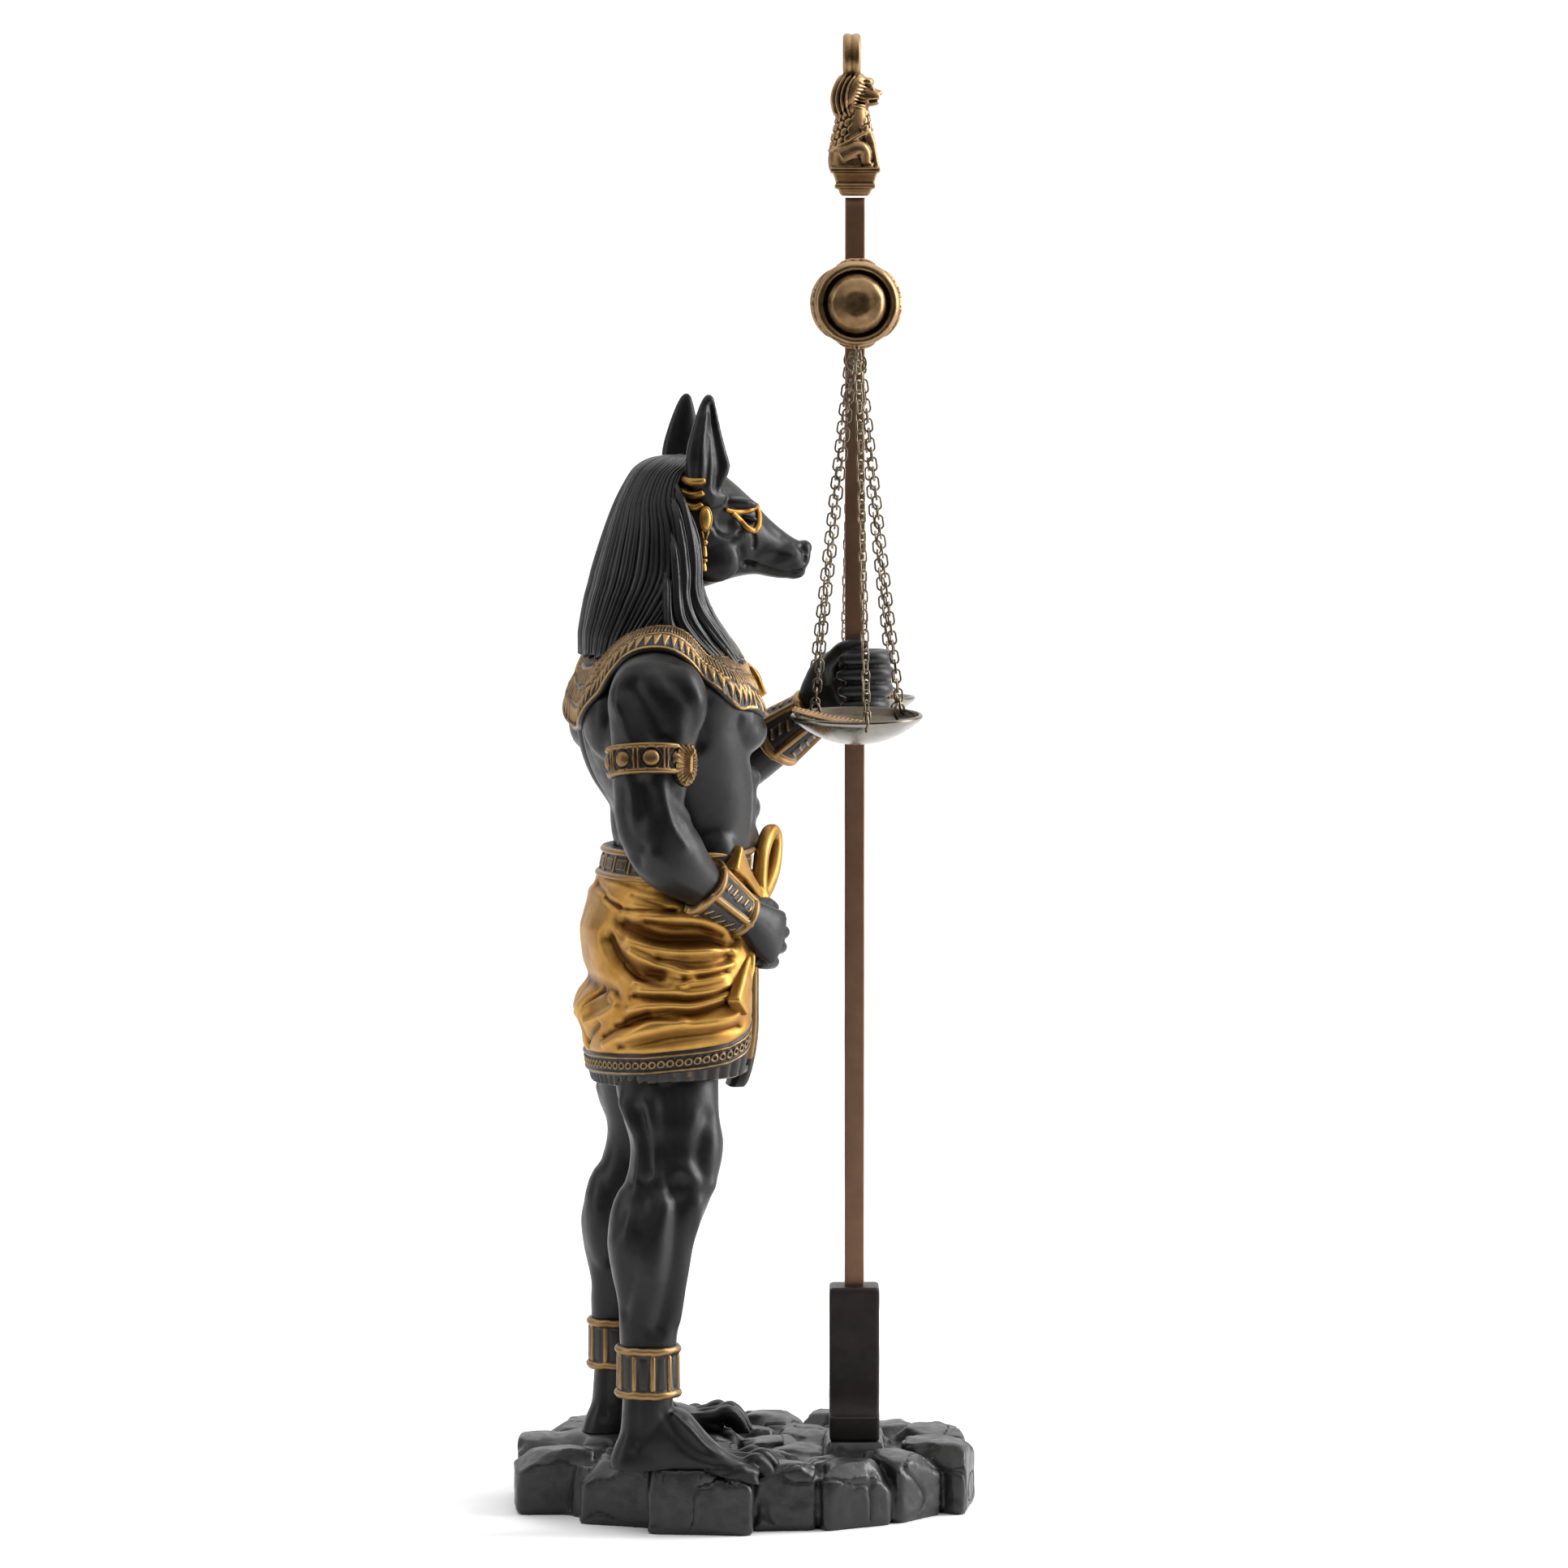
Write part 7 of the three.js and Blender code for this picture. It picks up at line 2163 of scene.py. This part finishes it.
def build_ankh():
    t = turns(64)
    narrow = 3.1 * (1 - 0.32 * np.maximum(0, -np.cos(t)))
    path = ANKH_CENTRE + np.outer(8.9 + 7.6 * np.cos(t), ANKH_UP)
    path = path + np.outer(narrow * np.sin(t), ANKH_ARM)
    ahead = unit(np.roll(path, -1, 0) - np.roll(path, 1, 0))
    s = turns(20, 0.5)
    wide, deep = 1.4 * powered(np.cos(s), 0.8), 1.55 * powered(np.sin(s), 0.8)
    loop = [p + np.outer(wide, o) + np.outer(deep, ANKH_FACE)
            for p, o in zip(path, unit(np.cross(ahead, ANKH_FACE)))]
    parts = [
        grid(np.array(loop), wrap_u=True, wrap_v=True),
        ankh_arm(-ANKH_UP, ANKH_ARM, 26, 1.6, 3.0),
        ankh_arm(ANKH_ARM, ANKH_UP, 15.3, 1.4, 3.1),
        ankh_arm(-ANKH_ARM, ANKH_UP, 7.0, 1.4, 2.0),
        blob(ANKH_CENTRE + ANKH_UP * 0.6, (2.0, 1.9, 1.7)),
    ]
    cast("figure_ankh", fused(parts, 0.26, 1), "gold", 18, 3, goal=12000)


def ear_band(tree, side, z, start, end, drop):
    """A gold band across the root of an ear, bowed down by drop."""
    pts = []
    for i in range(13):
        u = i / 12
        at, n = onto(tree, start + (end - start) * u, z - drop * 4 * u * (1 - u), side)
        pts.append(at + n * 0.45)
    r = 1.02 * np.sin(np.linspace(0.4, pi - 0.4, 13)) ** 0.4
    return tube(evened(np.array(pts), 4), r, 12, flat=0.8)


def earring(side):
    """A long drop in a wire ring, with beads and two small bells under it."""
    x, y = 6.7, side * 11.8
    parts = [blob((x, y, 202.4), (1.1, 0.7, 2.3), count=20),
             hoop((x, y, 202.4), 1.12, 0.24, (0, 1, 0), 32, 2.1)]
    for k in (-1, 1):
        parts.append(tube([(x + k * 0.7 - 0.1, y, 200.0),
                           (x + k * 0.25 - 0.2, y + side * 0.1, 198.4)], 0.22, 8))
    disc = lathe([(0, -0.35), (0.7, -0.35), (0.78, 0), (0.7, 0.35), (0, 0.35)], 16)
    return parts + [
        blob((x - 0.2, y + side * 0.1, 197.7), (0.6, 0.55, 0.6), count=14),
        limb([(x - 0.3, y + side * 0.1, 197.0, 0.35, 0.35),
              (x - 0.35, y + side * 0.15, 195.4, 0.62, 0.6),
              (x - 0.4, y + side * 0.2, 194.9, 0.66, 0.6)], 12, 4),
        moved(disc, (x - 0.45, y + side * 0.2, 194.1)),
        limb([(x - 0.5, y + side * 0.2, 193.7, 0.42, 0.42),
              (x - 0.55, y + side * 0.25, 192.6, 0.75, 0.7),
              (x - 0.6, y + side * 0.25, 192.1, 0.78, 0.7)], 12, 4),
    ]


def build_face(tree):
    """Gold lines round the eyes, bands on the ears and the earrings, on the straight head."""
    gold, dark = [], []
    for s in (-1, 1):
        top = traced(tree, [(11.4, 204.2), (13.4, 203.7), (16, 203.9), (19.0, 204.6)], s)
        inner = traced(tree, [(19.0, 204.6), (19.4, 202.6), (18.9, 200.6)], s)
        low = traced(tree, [(18.9, 200.6), (17.9, 199.8), (16.2, 200.4), (15.0, 201.7),
                            (13.9, 202.8), (12.9, 203.6)], s)
        gold += [
            tube(top, np.linspace(0.42, 0.72, len(top)), 10),
            tube(inner, 0.66, 10),
            tube(low, np.linspace(0.72, 0.5, len(low)), 10),
            blob(top[-1], (0.7, 0.7, 0.7), count=12),
            blob(inner[-1], (0.7, 0.7, 0.7), count=12),
        ]
        at, n = onto(tree, 16.7, 202.2, s)
        dark.append(blob(at + n * 0.05, (1.9, 0.6, 1.25), (1, s * 0.35, -0.1),
                         n if abs(n[2]) < 0.9 else (0, 0, 1)))
        for row in ((210.2, 2.2, 5.9, 0.3), (207.9, 2.1, 6.1, 0.7), (205.7, 2.4, 6.2, 1.0)):
            gold.append(ear_band(tree, s, *row))
        gold += earring(s)
    v, faces = join(gold)
    part = (head_turned(v), faces)
    # The gold lines are painted lighter all over, more on their ridges and less in their hollows:
    # painted highlight and a little painted shade.
    shading_and_wear = np.clip(hollow(part) * 8 + 0.45, -0.15, 1)
    make("figure_face_gold", part, "gold", "figure", None, shading_and_wear, True)
    v, faces = join(dark)
    make("figure_eyes", (head_turned(v), faces), "hair", "figure", local=True)


body_tree = build_body()
build_hands()
build_legs()
head_tree = build_head()
build_wig()
build_locks()
build_collar(body_tree)
build_pendant()
build_wrap()
build_border()
build_hem()
build_belt()
build_apron()
build_bands()
build_ankh()
build_face(head_tree)


# Camera, lights and floor.
def studio_world(scene):
    """A studio that is white behind and above the object and dimmer in front of it."""
    world = bpy.data.worlds.new("studio")
    scene.world = world
    world.use_nodes = True
    t = world.node_tree
    way = add(t, "ShaderNodeTexCoord").outputs["Generated"]
    parts = []
    for direction, low, high, dim, full in (((0.42, 0.9, 0.1), 0.0, 0.6, 0.04, 1.15),
                                            ((0, 0, 1), 0.3, 0.95, 0.0, 1.35)):
        dot = add(t, "ShaderNodeVectorMath", operation="DOT_PRODUCT")
        t.links.new(way, dot.inputs[0])
        dot.inputs[1].default_value = direction
        parts.append(scaled(t, dot.outputs["Value"], low, high, dim, full))
    total = add(t, "ShaderNodeMath", operation="ADD")
    for socket, part in zip(total.inputs, parts):
        t.links.new(part, socket)
    back = t.nodes["Background"]
    back.inputs["Color"].default_value = (1, 1, 1, 1)
    t.links.new(total.outputs[0], back.inputs["Strength"])


def area_light(name, place, power, width, height):
    """A rectangular lamp that looks at the middle of the figure."""
    light = bpy.data.lights.new(name, "AREA")
    light.shape = "RECTANGLE"
    light.size, light.size_y = width, height
    light.energy = power
    lamp = linked(name, light)
    lamp.location = place
    way = Vector((0, 0, 0.14)) - Vector(place)
    lamp.rotation_euler = way.to_track_quat("-Z", "Y").to_euler()


def build_stage():
    scene = bpy.context.scene
    cam = bpy.data.cameras.new("camera")
    cam.lens, cam.sensor_width = 158.2, 36
    cam.clip_start, cam.clip_end = 0.05, 50
    ob = linked("camera", cam)
    ob.location = (0.00802, -1.4, 0.245339)
    ob.rotation_euler = (rad(90 - 3.98871), 0, 0)
    scene.camera = ob
    scene.view_settings.view_transform = "Standard"
    studio_world(scene)
    area_light("right", (0.95, 0.1, 0.5), 13, 0.35, 0.9)
    area_light("left", (-1.0, -0.1, 0.5), 2.4, 0.3, 0.9)
    area_light("front", (-0.5, -1.1, 0.75), 0.35, 0.5, 0.5)
    corners = arr((-8, -0.35, 0), (8, -0.35, 0), (8, 8, 0), (-8, 8, 0))
    floor = bpy_mesh("floor", (corners, [np.array([[0, 1, 2, 3]])]))
    m, t, b = nodes_of("pale_floor")
    tone = ramp(t, place_noise(t, 3, 2), [(0.3, (0.9, 0.9, 0.9)), (0.7, (0.92, 0.92, 0.92))])
    t.links.new(tone, b.inputs["Base Color"])
    b.inputs["Roughness"].default_value = 0.9
    b.inputs["Specular IOR Level"].default_value = 0.1
    floor.materials.append(m)
    linked("floor", floor)


build_stage()
bpy.context.view_layer.update()
